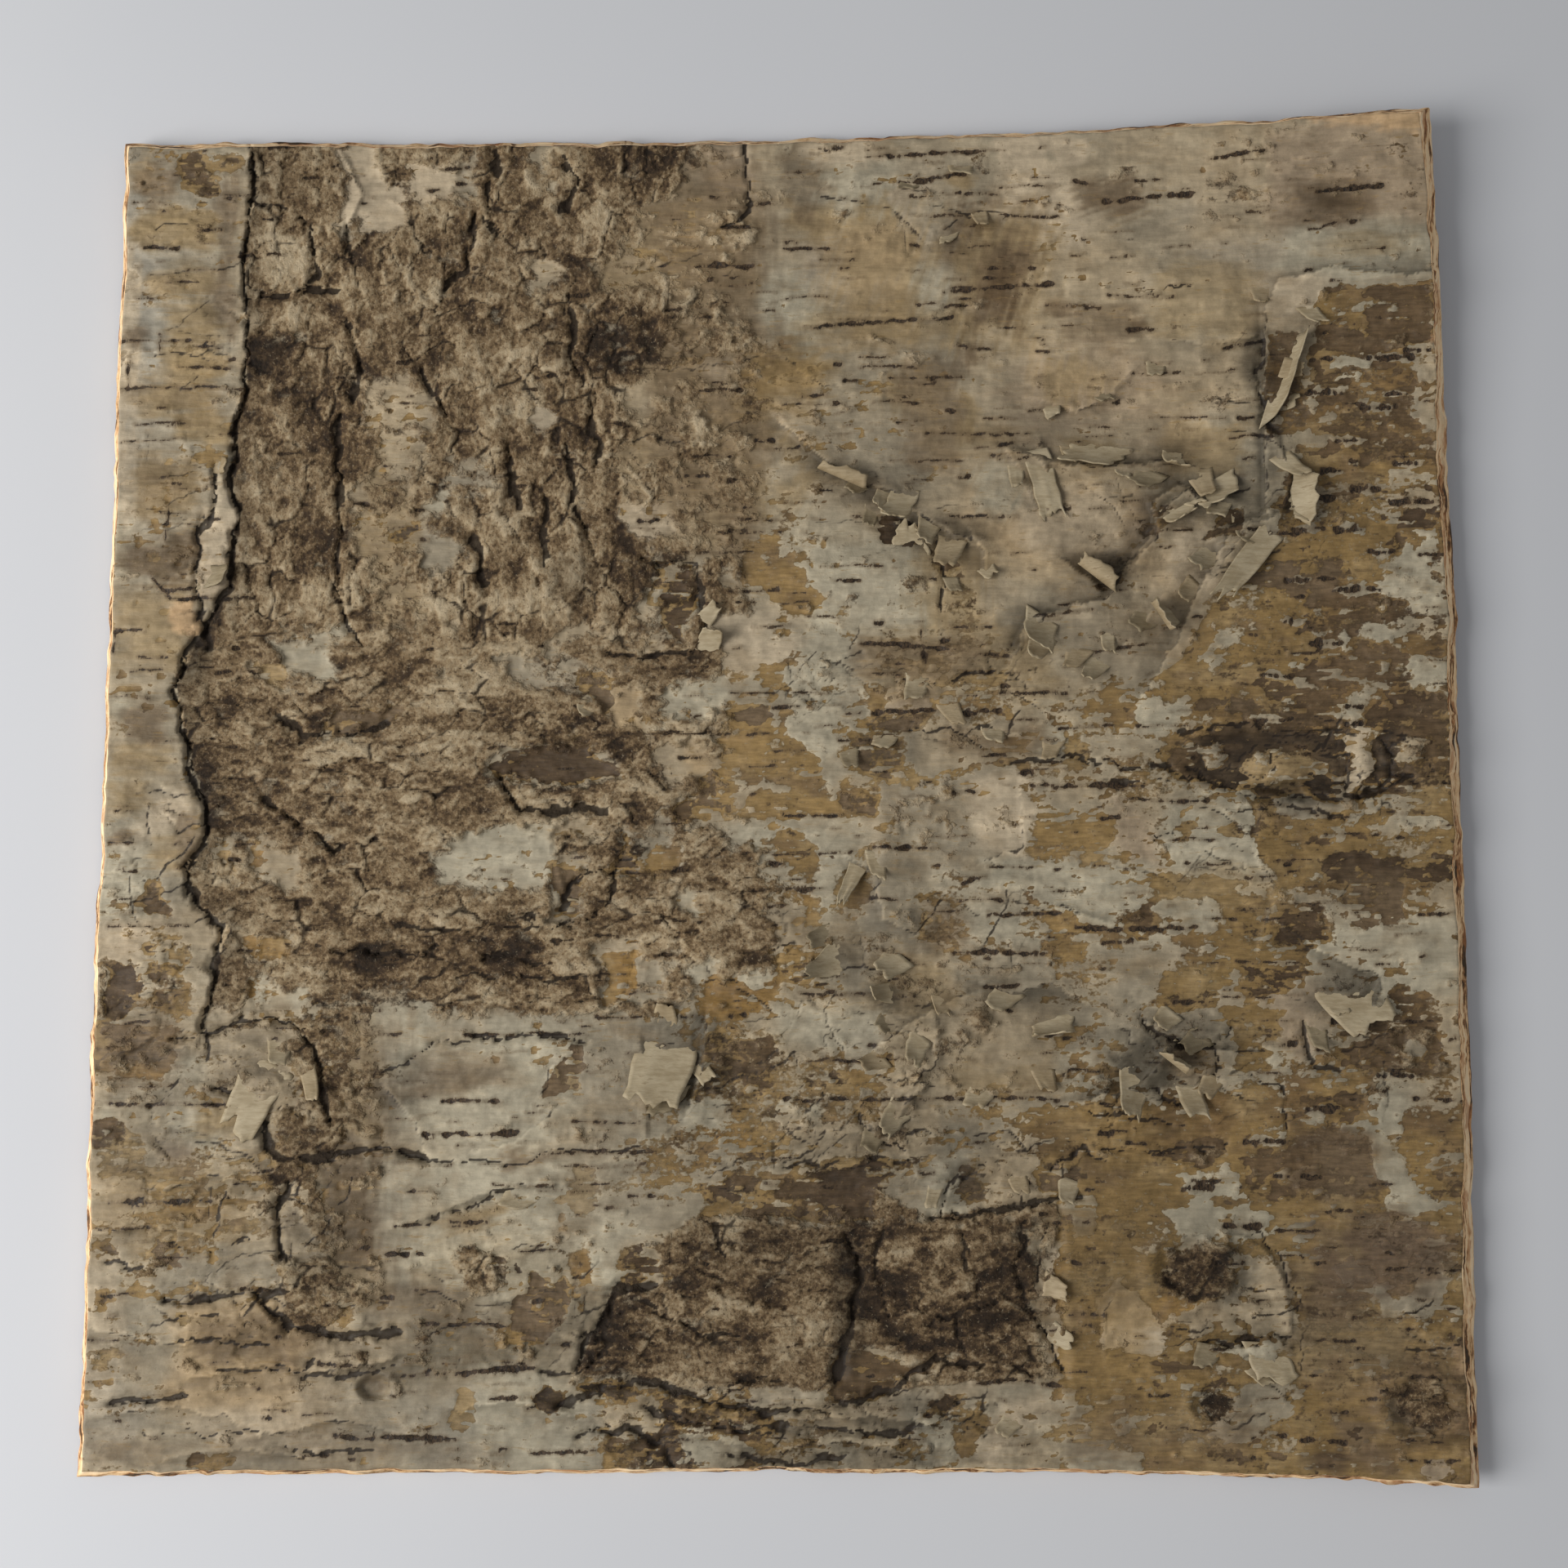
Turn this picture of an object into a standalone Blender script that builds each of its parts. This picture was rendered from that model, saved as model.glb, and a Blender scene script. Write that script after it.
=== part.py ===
"""A square piece of birch bark, peeled from the trunk and laid flat with its outer face up.

It is one sheet. The rough grown-over crust is on the left, the smooth papery skin on the upper right,
and the peeled layers between them. Lengths in the lists below are millimetres.
"""

import math

import bmesh
import bpy
import numpy as np
from mathutils import Matrix, Vector

# Driving dimensions
MM = 0.001
THICKNESS = 3.4
THINNEST = 1.3
RIGHT_BEVEL = 3.0
OTHER_BEVEL = 0.7
EDGE_WAVE = 0.45
CELLS = 150
RIM_CUTS = 2
SHEET_TRIANGLES = 7600
BLADE_THICKNESS = 0.8
BLADE_SINK = 0.9
BLADE_STEPS = 4
LATTICE = 257

# The outline and the marks are drawn on a plane at DRAWN_AT, as seen from VIEWPOINT, and each point
# is then moved along its line of sight to its own height.
DRAWN_AT = 3.0
VIEWPOINT = (0.0, -26.5, 349.0)

# Edges of the sheet: the other coordinate at a few places along each side
LEFT_EDGE = ((-149.0, -150.6), (-60.0, -150.8), (20.0, -150.2), (147.0, -149.8))
RIGHT_EDGE = ((-151.0, 148.2), (-60.0, 149.4), (40.0, 149.2), (155.0, 147.6))
BOTTOM_EDGE = ((-151.0, -148.2), (-40.0, -147.6), (60.0, -147.4), (110.0, -148.6), (149.0, -150.6))
TOP_EDGE = ((-150.0, 145.8), (-60.0, 146.0), (0.0, 146.8), (60.0, 148.6), (110.0, 151.2), (148.0, 154.6))

# How far the underside rises off the table towards each side, and where each rise begins,
# as a share of half the sheet
HALF = 150.0
RIGHT_LIFT, RIGHT_FROM = 4.6, 0.42
LEFT_LIFT, LEFT_FROM = 1.5, 0.5
TOP_LIFT, TOP_FROM = 2.0, 0.5
BOTTOM_LIFT, BOTTOM_FROM = 0.8, 0.55
CORNER_LIFT, CORNER_FROM = 4.4, 1.05

# Long torn edge between the outer strip on the left and the crust beside it
STRIP_TEAR = (
    (-122, 152), (-120.5, 131), (-123, 121), (-122, 112), (-121, 101), (-121, 91), (-124, 80), (-123, 75),
    (-124.5, 69), (-122, 60), (-124, 50), (-124, 43), (-128, 36), (-131, 30), (-135, 23), (-133, 13),
    (-131, 4), (-128, -5), (-127, -13), (-131, -20), (-129, -27), (-122, -31), (-124, -40), (-127, -53),
)
STRIP_STEP = 0.9

# Cracks and fissures: points, half width, depth
CRACKS = (
    (STRIP_TEAR, 1.4, 1.9),
    (((-128, 72), (-128, 62), (-131, 54), (-131.5, 44), (-130, 38), (-127.5, 31)), 0.9, 1.1),
    (((-121, 132), (-113, 130.5)), 1.0, 1.4),
    (((-121, 110.5), (-113, 110.5), (-101, 112)), 1.0, 1.2),
    (((-110, 128), (-107, 122), (-105, 115), (-108, 112)), 0.9, 1.0),
    (((-100, 126), (-99, 120)), 1.0, 1.2),
    (((-98, 104), (-96, 94), (-97, 86)), 1.2, 1.3),
    (((-100, 82), (-99.5, 60), (-99, 44), (-98, 36), (-93, 31)), 1.0, 1.2),
    (((-81, 93), (-78, 87), (-76, 83)), 1.0, 1.3),
    (((-70, 130), (-70, 124), (-72, 118), (-76, 112)), 1.1, 1.4),
    (((-67, 136), (-67.5, 129), (-65, 125)), 0.9, 1.1),
    (((-66, 145), (-65, 138)), 1.6, 1.2),
    (((-50, 142), (-47, 137), (-50, 130)), 0.9, 1.0),
    (((-49, 108), (-48, 98), (-46, 90)), 1.0, 1.2),
    (((-43, 88), (-42.5, 79), (-42, 72)), 1.1, 1.3),
    (((-62, 76), (-61.5, 68), (-60, 61)), 1.3, 1.5),
    (((-48, 76), (-48.5, 70), (-47.5, 63)), 1.0, 1.2),
    (((-53, 64), (-54, 56), (-53.5, 49)), 0.8, 1.0),
    (((-46, 62), (-44, 57), (-43, 51)), 1.1, 1.3),
    (((-70, 55), (-68, 50), (-66.5, 45)), 1.4, 1.6),
    (((-8, 146), (-8.5, 138), (-7.5, 129), (-14, 127)), 0.8, 0.9),
    (((-31, 50), (-20, 49), (-18.5, 42), (-18, 33)), 1.0, 1.2),
    (((-40, 29), (-33, 28), (-18, 29.5)), 0.9, 1.0),
    (((-115, -4), (-109, -8), (-104, -11), (-97, -15)), 1.2, 1.4),
    (((-112, 14), (-106, 10), (-88, 13)), 1.2, 1.2),
    (((-63, 1), (-58, -6), (-50, -6), (-40, -6)), 1.3, 1.5),
    (((-133, -57), (-126, -54), (-118, -52), (-107, -52), (-103, -57), (-101, -64), (-98, -75)), 1.1, 1.4),
    (((-123, -67), (-118, -69), (-113, -74), (-110, -81), (-100, -81), (-88, -80), (-78, -81)), 1.2, 1.3),
    (((-108, -86), (-110, -96), (-108, -102)), 1.3, 1.5),
    (((-133, -112), (-121, -111), (-108, -110)), 1.2, 1.3),
    (((-112, -112), (-106, -118), (-96, -119), (-83, -118.5)), 1.3, 1.4),
    (((-145, -133), (-129, -131.5)), 0.9, 1.0),
    (((-68, -55), (-55, -55.5), (-43, -56)), 0.9, 1.1),
    (((-48, -134), (-42, -131), (-34, -129), (-27, -129), (-20, -132), (-9, -134.5)), 1.6, 1.6),
    (((-9, -134.5), (0, -135), (12, -133), (22, -131), (33, -124), (43, -125)), 1.2, 1.3),
    (((-45, -126), (-40, -117), (-36, -110), (-28, -109)), 1.3, 1.3),
    (((14, -98), (16, -108), (14, -119), (12, -128)), 1.4, 1.5),
    (((32, -94), (45, -93), (56, -90.5), (64, -90)), 1.0, 1.2),
    (((90, -121), (97, -120), (109, -120)), 0.9, 1.2),
    (((80, 112), (92, 112.5)), 0.5, 0.4),
)

# Where a papery layer ends and the one under it shows: the edge, and how high it stands.
# The higher side is on the left hand of the line.
TORN_EDGES = (
    (((0, 81), (5, 76), (11, 71.5), (19, 67), (24, 66), (31, 60), (40, 55)), 1.3, 16),
    (((148, 116), (135, 115.5), (123, 117), (112, 114), (108.5, 108), (108.5, 84), (108, 62)), 1.1, 26),
    (((108, 61), (99, 57), (97, 50), (92, 42), (87, 31), (80, 20)), 1.1, 22),
    (((96, 63), (88, 67), (82, 63), (84, 56), (79, 50)), 1.2, 10),
    (((88, 73), (78, 71.5), (64, 71.5), (52, 75)), 1.0, 10),
    (((76, 48), (72, 41), (64, 40), (55, 37), (52, 31)), 1.1, 10),
    (((110, -32), (119, -38), (131, -43), (128, -50)), 1.2, 10),
    (((96, -58), (84, -58), (78, -66), (66, -69)), 1.3, 12),
    (((-17, -53), (-17.5, -62), (-20, -69)), 1.2, 9),
    (((-80, -95), (-70, -91), (-60, -88), (-50, -87)), 0.8, 12),
)

# Sunk scars: corners of each, depth, and width of the slope round it
SCARS = (
    (((-46, -129), (-37, -109), (-20, -94), (10, -84), (30, -93), (60, -91), (61, -128), (20, -131)), 0.9, 3.0),
    (((-53, 101), (-48, 94), (-33, 93), (-25, 99), (-30, 106), (-42, 107)), 0.9, 3.0),
    (((-64, 2), (-58, -7), (-42, -7), (-38, 3), (-44, 12), (-52, 9)), 1.1, 3.0),
    (((-31, 50), (-20, 49), (-18, 40), (-31, 41)), 0.8, 1.5),
    (((-150, -40), (-143, -41), (-143, -51), (-150, -51)), 0.6, 2.0),
)

# Knots: place, half length, half height, how far the heart sinks and how far the rim stands
KNOTS = (
    (88, -105, 8.5, 6.5, 1.3, 0.9),
    (137, -134, 8.0, 6.5, 1.0, 1.1),
    (92, -133.5, 5.0, 4.0, 0.8, 0.6),
    (-88, -130, 4.0, 3.0, 1.3, 0.4),
)
EYE = (112, 5, 28, 9)
EYE_DEPTH = 1.5
EYE_LUMPS = ((110, 4, 9, 3.2, 1.7), (127.5, 6, 3.2, 6.5, 2.0), (139, 6, 3.0, 4.0, 1.2), (94, 6, 3.5, 3.0, 1.0))

# Peeled flaps and curls: middle of the root, heading in degrees, width, length,
# first slope and total bend in degrees, and how much narrower the tip is
CURLS = (
    (13.5, 69.5, 246, 11.5, 4.6, 38, 150, 0.1),
    (23.5, 66.5, 236, 4.6, 6.0, 25, 40, 0.1),
    (27.5, 66.0, 262, 6.0, 6.6, 22, 34, 0.0),
    (28.5, 52.0, 75, 9.0, 4.4, 40, -20, 0.5),
    (56.5, 75.0, 281, 5.6, 12.5, 14, -10, 0.0),
    (72.0, 76.0, 262, 14.0, 4.6, 26, 26, 0.2),
    (87.0, 75.5, 256, 5.0, 6.4, 30, 60, 0.1),
    (96.0, 68.0, 300, 11.0, 5.2, 25, 46, 0.2),
    (71.5, 46.5, 232, 12.5, 5.6, 30, 150, 0.3),
    (57.5, 37.5, 235, 9.0, 7.0, 30, 36, 0.3),
    (70.5, 28.0, 250, 6.0, 6.4, 28, 40, 0.5),
    (86.0, 39.0, 214, 8.0, 6.4, 34, 80, 0.1),
    (110.0, 90.0, 342, 22.0, 4.6, 42, 60, 0.3),
    (109.0, 68.0, 356, 13.0, 7.6, 28, 26, 0.2),
    (109.5, 57.0, 226, 6.0, 16.0, 20, -8, 0.3),
    (86.5, 62.5, 300, 8.0, 5.4, 34, 60, 0.3),
    (17.0, -17.0, 250, 4.6, 8.6, 20, 14, 0.6),
    (13.0, -37.5, 180, 9.6, 7.4, 28, 22, 0.7),
    (-24.0, -54.0, 262, 12.5, 13.0, 16, 10, 0.0),
    (58.5, -51.0, 276, 9.6, 5.6, 40, 70, 0.1),
    (77.0, -62.0, 236, 9.0, 8.0, 28, 18, 0.5),
    (88.0, -58.0, 232, 7.0, 8.6, 30, 90, 0.1),
    (122.0, -43.0, 290, 14.0, 9.0, 22, 10, 0.2),
    (-112.0, -60.5, 238, 12.0, 12.0, 12, -12, 0.4),
    (24.5, -46.0, 200, 5.0, 4.6, 30, 30, 0.4),
    (103.0, -120.5, 268, 8.5, 6.0, 16, 10, 0.0),
    (-17.5, 29.0, 70, 5.5, 5.6, 34, 46, 0.2),
)


def field(u, v, cell_u, cell_v, seed):
    """Smooth random values from -1 to 1, on a lattice with cells of cell_u by cell_v."""
    lattice = np.random.default_rng(seed).uniform(-1.0, 1.0, (LATTICE, LATTICE))
    across, along = u / cell_u + LATTICE, v / cell_v + LATTICE
    column, row = np.floor(across).astype(int), np.floor(along).astype(int)
    part_u, part_v = across - column, along - row
    part_u, part_v = part_u * part_u * (3 - 2 * part_u), part_v * part_v * (3 - 2 * part_v)
    column, row = column % LATTICE, row % LATTICE
    after_c, after_r = (column + 1) % LATTICE, (row + 1) % LATTICE
    low = lattice[row, column] * (1 - part_u) + lattice[row, after_c] * part_u
    high = lattice[after_r, column] * (1 - part_u) + lattice[after_r, after_c] * part_u
    return low * (1 - part_v) + high * part_v


def ease(value):
    """0 below 0, 1 above 1, and a smooth step between them."""
    value = np.clip(value, 0.0, 1.0)
    return value * value * (3 - 2 * value)


def to_line(u, v, points):
    """Distance to a line of points, and which side: positive on the left hand of its direction."""
    nearest = np.full(u.shape, np.inf)
    side = np.ones(u.shape)
    for (u0, v0), (u1, v1) in zip(points, points[1:]):
        du, dv = u1 - u0, v1 - v0
        share = np.clip(((u - u0) * du + (v - v0) * dv) / (du * du + dv * dv), 0.0, 1.0)
        distance = np.hypot(u - u0 - share * du, v - v0 - share * dv)
        closer = distance < nearest
        nearest = np.where(closer, distance, nearest)
        side = np.where(closer, np.sign(du * (v - v0) - dv * (u - u0)), side)
    return nearest, side


def inside(u, v, corners):
    """Distance to the border of a closed outline, positive inside it."""
    ring = tuple(corners) + (corners[0],)
    distance, _ = to_line(u, v, ring)
    crossings = np.zeros(u.shape, int)
    for (u0, v0), (u1, v1) in zip(ring, ring[1:]):
        spans = (v0 > v) != (v1 > v)
        reach = u0 + (v - v0) * (u1 - u0) / (v1 - v0 if v1 != v0 else 1.0)
        crossings += spans & (u < reach)
    return np.where(crossings % 2 == 1, distance, -distance)


def underside(u, v):
    """Height of the underside: flat round the weight, rising towards the sides and most at one corner."""
    a, b = u / HALF, v / HALF
    lift = RIGHT_LIFT * np.clip((a - RIGHT_FROM) / (1 - RIGHT_FROM), 0, None) ** 2
    lift += LEFT_LIFT * np.clip((-a - LEFT_FROM) / (1 - LEFT_FROM), 0, None) ** 2
    lift += TOP_LIFT * np.clip((b - TOP_FROM) / (1 - TOP_FROM), 0, None) ** 2
    lift += BOTTOM_LIFT * np.clip((-b - BOTTOM_FROM) / (1 - BOTTOM_FROM), 0, None) ** 2
    lift += CORNER_LIFT * np.clip((a + b - CORNER_FROM) / (2 - CORNER_FROM), 0, None) ** 1.5
    return lift


def crust_share(u, v):
    """1 on the rough crust at the left and in the scars, 0 on the smooth layers."""
    strip, side = to_line(u, v, STRIP_TEAR)
    right_of_strip = ease(side * strip / 2.0 + 0.5)
    fades_right = ease((2.0 - u - 0.12 * v + 8 * field(u, v, 14, 18, 3)) / 18.0)
    above = ease((v + 52.0 + 5 * field(u, v, 16, 9, 4)) / 6.0)
    scars = np.zeros(u.shape)
    for corners, _, slope in SCARS:
        scars = np.maximum(scars, ease(inside(u, v, corners) / slope + 0.5))
    return np.maximum(right_of_strip * fades_right * above, scars)


def crust_relief(u, v):
    """Lumps and furrows of the crust: upright in its upper part, level in its lower part."""
    upright = ease((v - 22.0) / 20.0)
    grain = upright * field(u, v, 3.4, 8.0, 11) + (1 - upright) * field(u, v, 9.0, 3.2, 12)
    lumps = upright * field(u, v, 8.0, 14.0, 13) + (1 - upright) * field(u, v, 18.0, 6.0, 14)
    return 0.75 + 0.6 * lumps + 0.5 * grain


def knot_relief(u, v):
    relief = np.zeros(u.shape)
    for knot_u, knot_v, half_u, half_v, sink, rim in KNOTS:
        reach = np.hypot((u - knot_u) / half_u, (v - knot_v) / half_v)
        relief += rim * np.exp(-(((reach - 1.1) / 0.28) ** 2)) - sink * ease((1.0 - reach) / 0.4)
    eye_u, eye_v, half_u, half_v = EYE
    reach = np.hypot((u - eye_u) / half_u, (v - eye_v) / half_v)
    relief += 0.8 * np.exp(-(((reach - 1.15) / 0.22) ** 2)) - EYE_DEPTH * ease((1.0 - reach) / 0.45)
    for lump_u, lump_v, half_u, half_v, height in EYE_LUMPS:
        reach = np.hypot((u - lump_u) / half_u, (v - lump_v) / half_v)
        relief += height * ease(1.25 - reach)
    return relief


def layer_relief(u, v):
    """Steps where one papery layer ends over the next. Each step dies out behind its edge."""
    strip, side = to_line(u, v, STRIP_TEAR)
    relief = STRIP_STEP * ease(0.5 - side * strip / 1.2)
    for points, height, reach in TORN_EDGES:
        distance, side = to_line(u, v, points)
        behind = np.clip(1 - distance / reach, 0.0, 1.0)
        relief += height * behind * behind * np.where(side > 0, 1.0, ease(1 - distance / 0.9))
    return relief


def relief(u, v):
    crust = crust_share(u, v)
    height = crust * crust_relief(u, v)
    height += (1 - crust) * (0.35 * field(u, v, 34, 24, 21) + 0.16 * field(u, v, 9, 4, 22))
    height += layer_relief(u, v) + knot_relief(u, v)
    for corners, depth, slope in SCARS:
        height -= depth * ease(inside(u, v, corners) / slope + 0.5)
    for points, half_width, depth in CRACKS:
        distance, _ = to_line(u, v, points)
        height -= depth * np.exp(-((distance / half_width) ** 2))
    return height


def top_of(u, v):
    bottom = underside(u, v)
    return bottom + np.maximum(THICKNESS + relief(u, v), THINNEST)


def along(edge, where):
    places, values = zip(*edge)
    return np.interp(where, places, values)


def outline(s, t, level):
    """Drawn place of a point: s runs left to right, t bottom to top, level from underside to top."""
    u, v = -HALF + 2 * HALF * s, -HALF + 2 * HALF * t
    wave = EDGE_WAVE * (field(u, v, 7, 7, 31) + 0.6 * field(u, v, 2.6, 2.6, 32 + 7))
    steps = 0.5 * np.sin(level * math.pi) * field(u + 90 * level, v - 70 * level, 9, 9, 33)
    bevel = level * (1 + 0.35 * field(u, v, 11, 11, 34))
    left = along(LEFT_EDGE, v) + OTHER_BEVEL * bevel - steps - wave
    right = along(RIGHT_EDGE, v) - RIGHT_BEVEL * bevel + steps + wave
    bottom = along(BOTTOM_EDGE, u) + OTHER_BEVEL * bevel - steps - wave
    top = along(TOP_EDGE, u) - OTHER_BEVEL * bevel + steps + wave
    return left + (right - left) * s, bottom + (top - bottom) * t


def placed(u, v, z):
    """Moves drawn points along their lines of sight to their heights. Returns metres."""
    eye_x, eye_y, eye_z = VIEWPOINT
    share = (eye_z - z) / (eye_z - DRAWN_AT)
    return np.stack([eye_x + (u - eye_x) * share, eye_y + (v - eye_y) * share, z], axis=-1) * MM


def read_points(mesh):
    points = np.empty(len(mesh.vertices) * 3)
    mesh.vertices.foreach_get("co", points)
    return points.reshape(-1, 3)


def write_points(mesh, points):
    mesh.vertices.foreach_set("co", points.reshape(-1))
    mesh.update()


def apply_modifiers(obj):
    """Replaces the object's mesh by the one that its modifiers make."""
    graph = bpy.context.evaluated_depsgraph_get()
    made = bpy.data.meshes.new_from_object(obj.evaluated_get(graph))
    obj.modifiers.clear()
    obj.data = made


def move_to(obj, collection):
    for owner in list(obj.users_collection):
        owner.objects.unlink(obj)
    collection.objects.link(obj)


def make_block(name):
    """A closed block of grid cells one unit high, with RIM_CUTS rows of cuts round its sides."""
    bpy.ops.mesh.primitive_grid_add(x_subdivisions=CELLS, y_subdivisions=CELLS, size=1)
    block = bpy.context.object
    block.name = block.data.name = name
    work = bmesh.new()
    work.from_mesh(block.data)
    grown = bmesh.ops.extrude_face_region(work, geom=work.faces[:], use_keep_orig=True)["geom"]
    raised = [item for item in grown if isinstance(item, bmesh.types.BMVert)]
    bmesh.ops.translate(work, verts=raised, vec=Vector((0, 0, 1)))
    upright = [e for e in work.edges if abs(e.verts[0].co.z - e.verts[1].co.z) > 0.5]
    bmesh.ops.subdivide_edges(work, edges=upright, cuts=RIM_CUTS)
    bmesh.ops.recalc_face_normals(work, faces=work.faces[:])
    bmesh.ops.triangulate(work, faces=work.faces[:])
    work.to_mesh(block.data)
    work.free()
    return block


def make_sheet(name):
    sheet = make_block(name)
    s, t, level = (read_points(sheet.data) + np.array([0.5, 0.5, 0.0])).T
    u, v = outline(s, t, level)
    low = underside(u, v)
    write_points(sheet.data, placed(u, v, low + level * (top_of(u, v) - low)))
    thin_out = sheet.modifiers.new("Fewer triangles", "DECIMATE")
    thin_out.ratio = SHEET_TRIANGLES / len(sheet.data.polygons)
    apply_modifiers(sheet)
    flatten_rest_spot(sheet.data)
    return sheet


def flatten_rest_spot(mesh):
    """Makes the middle of the underside exactly level, as it lies on the table."""
    points = read_points(mesh)
    points[points[:, 2] < 0.02 * MM, 2] = 0.0
    write_points(mesh, points)


def make_curl(number, root_u, root_v, heading, width, length, slope, bend, taper):
    """One peeled flap: a strip that leaves the surface at a slope and goes on bending."""
    bpy.ops.mesh.primitive_grid_add(x_subdivisions=1, y_subdivisions=BLADE_STEPS, size=1)
    flap = bpy.context.object
    flap.name = f"curl_{number:02d}"
    across, run = (read_points(flap.data)[:, :2] + np.array([0.0, 0.5])).T
    turn = np.radians(slope + bend * run)
    start, rate = math.radians(slope), math.radians(bend)
    reach = length * (np.sin(turn) - math.sin(start)) / rate
    rise = length * (math.cos(start) - np.cos(turn)) / rate
    side = across * width * (1 - taper * run)
    write_points(flap.data, np.stack([reach, side, rise], axis=-1) * MM)
    flap.data.transform(Matrix.Rotation(math.radians(heading), 4, "Z"))
    root_z = top_of(np.array([float(root_u)]), np.array([float(root_v)])) - BLADE_SINK
    place = placed(np.array([float(root_u)]), np.array([float(root_v)]), root_z)[0]
    flap.data.transform(Matrix.Translation(Vector(place)))
    solid = flap.modifiers.new("Thickness", "SOLIDIFY")
    solid.thickness = BLADE_THICKNESS * MM
    solid.offset = 0.0
    apply_modifiers(flap)
    return flap


def join_all(body, pieces):
    """One Boolean union of a collection with the body, applied. The collection's objects then go."""
    union = body.modifiers.new("Joined", "BOOLEAN")
    union.operation = "UNION"
    union.solver = "EXACT"
    union.operand_type = "COLLECTION"
    union.collection = pieces
    bpy.context.view_layer.update()
    apply_modifiers(body)
    for piece in list(pieces.objects):
        bpy.data.objects.remove(piece)
    bpy.data.collections.remove(pieces)


def bark_material():
    material = bpy.data.materials.new("birch_bark")
    material.use_nodes = True
    shader = material.node_tree.nodes["Principled BSDF"]
    shader.inputs["Base Color"].default_value = (0.17, 0.13, 0.08, 1.0)
    shader.inputs["Roughness"].default_value = 0.85
    shader.inputs["Metallic"].default_value = 0.0
    return material


def main():
    for old in list(bpy.data.objects):
        bpy.data.objects.remove(old)
    bark = bpy.data.collections.new("piece_of_bark")
    flaps = bpy.data.collections.new("flaps")
    bpy.context.scene.collection.children.link(bark)
    bpy.context.scene.collection.children.link(flaps)
    sheet = make_sheet("bark_sheet")
    move_to(sheet, bark)
    for number, curl in enumerate(CURLS):
        move_to(make_curl(number, *curl), flaps)
    join_all(sheet, flaps)
    sheet.data.materials.clear()
    sheet.data.materials.append(bark_material())
    sheet.data.shade_smooth()
    sheet.data.set_sharp_from_angle(angle=math.radians(40))


main()
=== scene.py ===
"""Dresses the piece of bark and sets it on a pale floor as in the photograph.

The sheet's four quarters replace the CAD sheet. They follow the same outline, lift and marks on a finer
grid, and carry the papery layers, crust, lenticels and cut edges. A fifth piece holds the peeled flaps
and curls. The lists of places were read from the photograph, so each has its own numbers.
Lengths in the lists are millimetres, drawn as seen on a plane 3 mm above the floor.
"""

import math

import bpy
import numpy as np
from mathutils import Matrix, Vector

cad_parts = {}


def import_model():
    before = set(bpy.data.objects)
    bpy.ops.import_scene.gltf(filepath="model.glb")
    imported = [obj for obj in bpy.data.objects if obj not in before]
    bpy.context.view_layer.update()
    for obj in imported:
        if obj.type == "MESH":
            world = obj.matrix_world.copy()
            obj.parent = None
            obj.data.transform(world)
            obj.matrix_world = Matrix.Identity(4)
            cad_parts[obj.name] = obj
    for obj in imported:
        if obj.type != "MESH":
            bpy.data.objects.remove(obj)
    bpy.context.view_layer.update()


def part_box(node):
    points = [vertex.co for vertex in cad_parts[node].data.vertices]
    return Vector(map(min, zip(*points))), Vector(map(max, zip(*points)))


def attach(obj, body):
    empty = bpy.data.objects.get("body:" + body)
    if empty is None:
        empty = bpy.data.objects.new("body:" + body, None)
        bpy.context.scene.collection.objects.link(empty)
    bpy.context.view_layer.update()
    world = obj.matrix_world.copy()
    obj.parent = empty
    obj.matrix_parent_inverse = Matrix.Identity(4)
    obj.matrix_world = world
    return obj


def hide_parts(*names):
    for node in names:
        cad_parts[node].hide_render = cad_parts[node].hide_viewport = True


# Sheet: outline, lift and thickness are those of the CAD part
MM = 0.001
THICKNESS = 3.4
THINNEST = 1.3
RIGHT_BEVEL = 2.0
OTHER_BEVEL = 0.7
EDGE_WAVE = 0.4
LATTICE = 257
DRAWN_AT = 3.0
VIEWPOINT = (0.0, -26.5, 349.0)
LEFT_EDGE = ((-149.0, -150.6), (-60.0, -150.8), (20.0, -150.2), (147.0, -149.8))
RIGHT_EDGE = ((-151.0, 148.2), (-60.0, 149.4), (40.0, 149.2), (155.0, 147.6))
BOTTOM_EDGE = ((-151.0, -148.2), (-40.0, -147.6), (60.0, -147.4), (110.0, -148.6), (149.0, -150.6))
TOP_EDGE = ((-150.0, 145.8), (-60.0, 146.0), (0.0, 146.8), (60.0, 148.6), (110.0, 151.2), (148.0, 154.6))
HALF = 150.0
RIGHT_LIFT, RIGHT_FROM = 4.6, 0.42
LEFT_LIFT, LEFT_FROM = 1.5, 0.5
TOP_LIFT, TOP_FROM = 2.0, 0.5
BOTTOM_LIFT, BOTTOM_FROM = 0.8, 0.55
CORNER_LIFT, CORNER_FROM = 4.4, 1.05

# Fineness of the pieces: cells of a quarter along each side, fine cells to one cell of the underside,
# and rows down the cut edge
QUARTER_CELLS = 294
CELLS_BELOW = 6
RIM_ROWS = 9
RIM_FLAKE = 0.4

# Material slots of a quarter, and the values and colours that its points carry for the materials
FACE_SLOT, EDGE_SLOT, INNER_SLOT = range(3)
FLOATS = ("tan", "brown", "lines", "crust", "grain", "dirt_and_shadow", "paper", "shade")
COLOURS = ("skin", "under", "deep")
SHADE_RANGE = (-0.35, 0.7)

# Bake map of a quarter, as shares of its side: margin and width of the top face, start, pitch and height
# of the walls, start and width of the underside
MAP_MARGIN, MAP_TOP = 0.005, 0.855
MAP_WALL, MAP_PITCH, MAP_DROP = 0.898, 0.03, 0.028
MAP_BELOW, MAP_BELOW_WIDE = 0.87, 0.125

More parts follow.
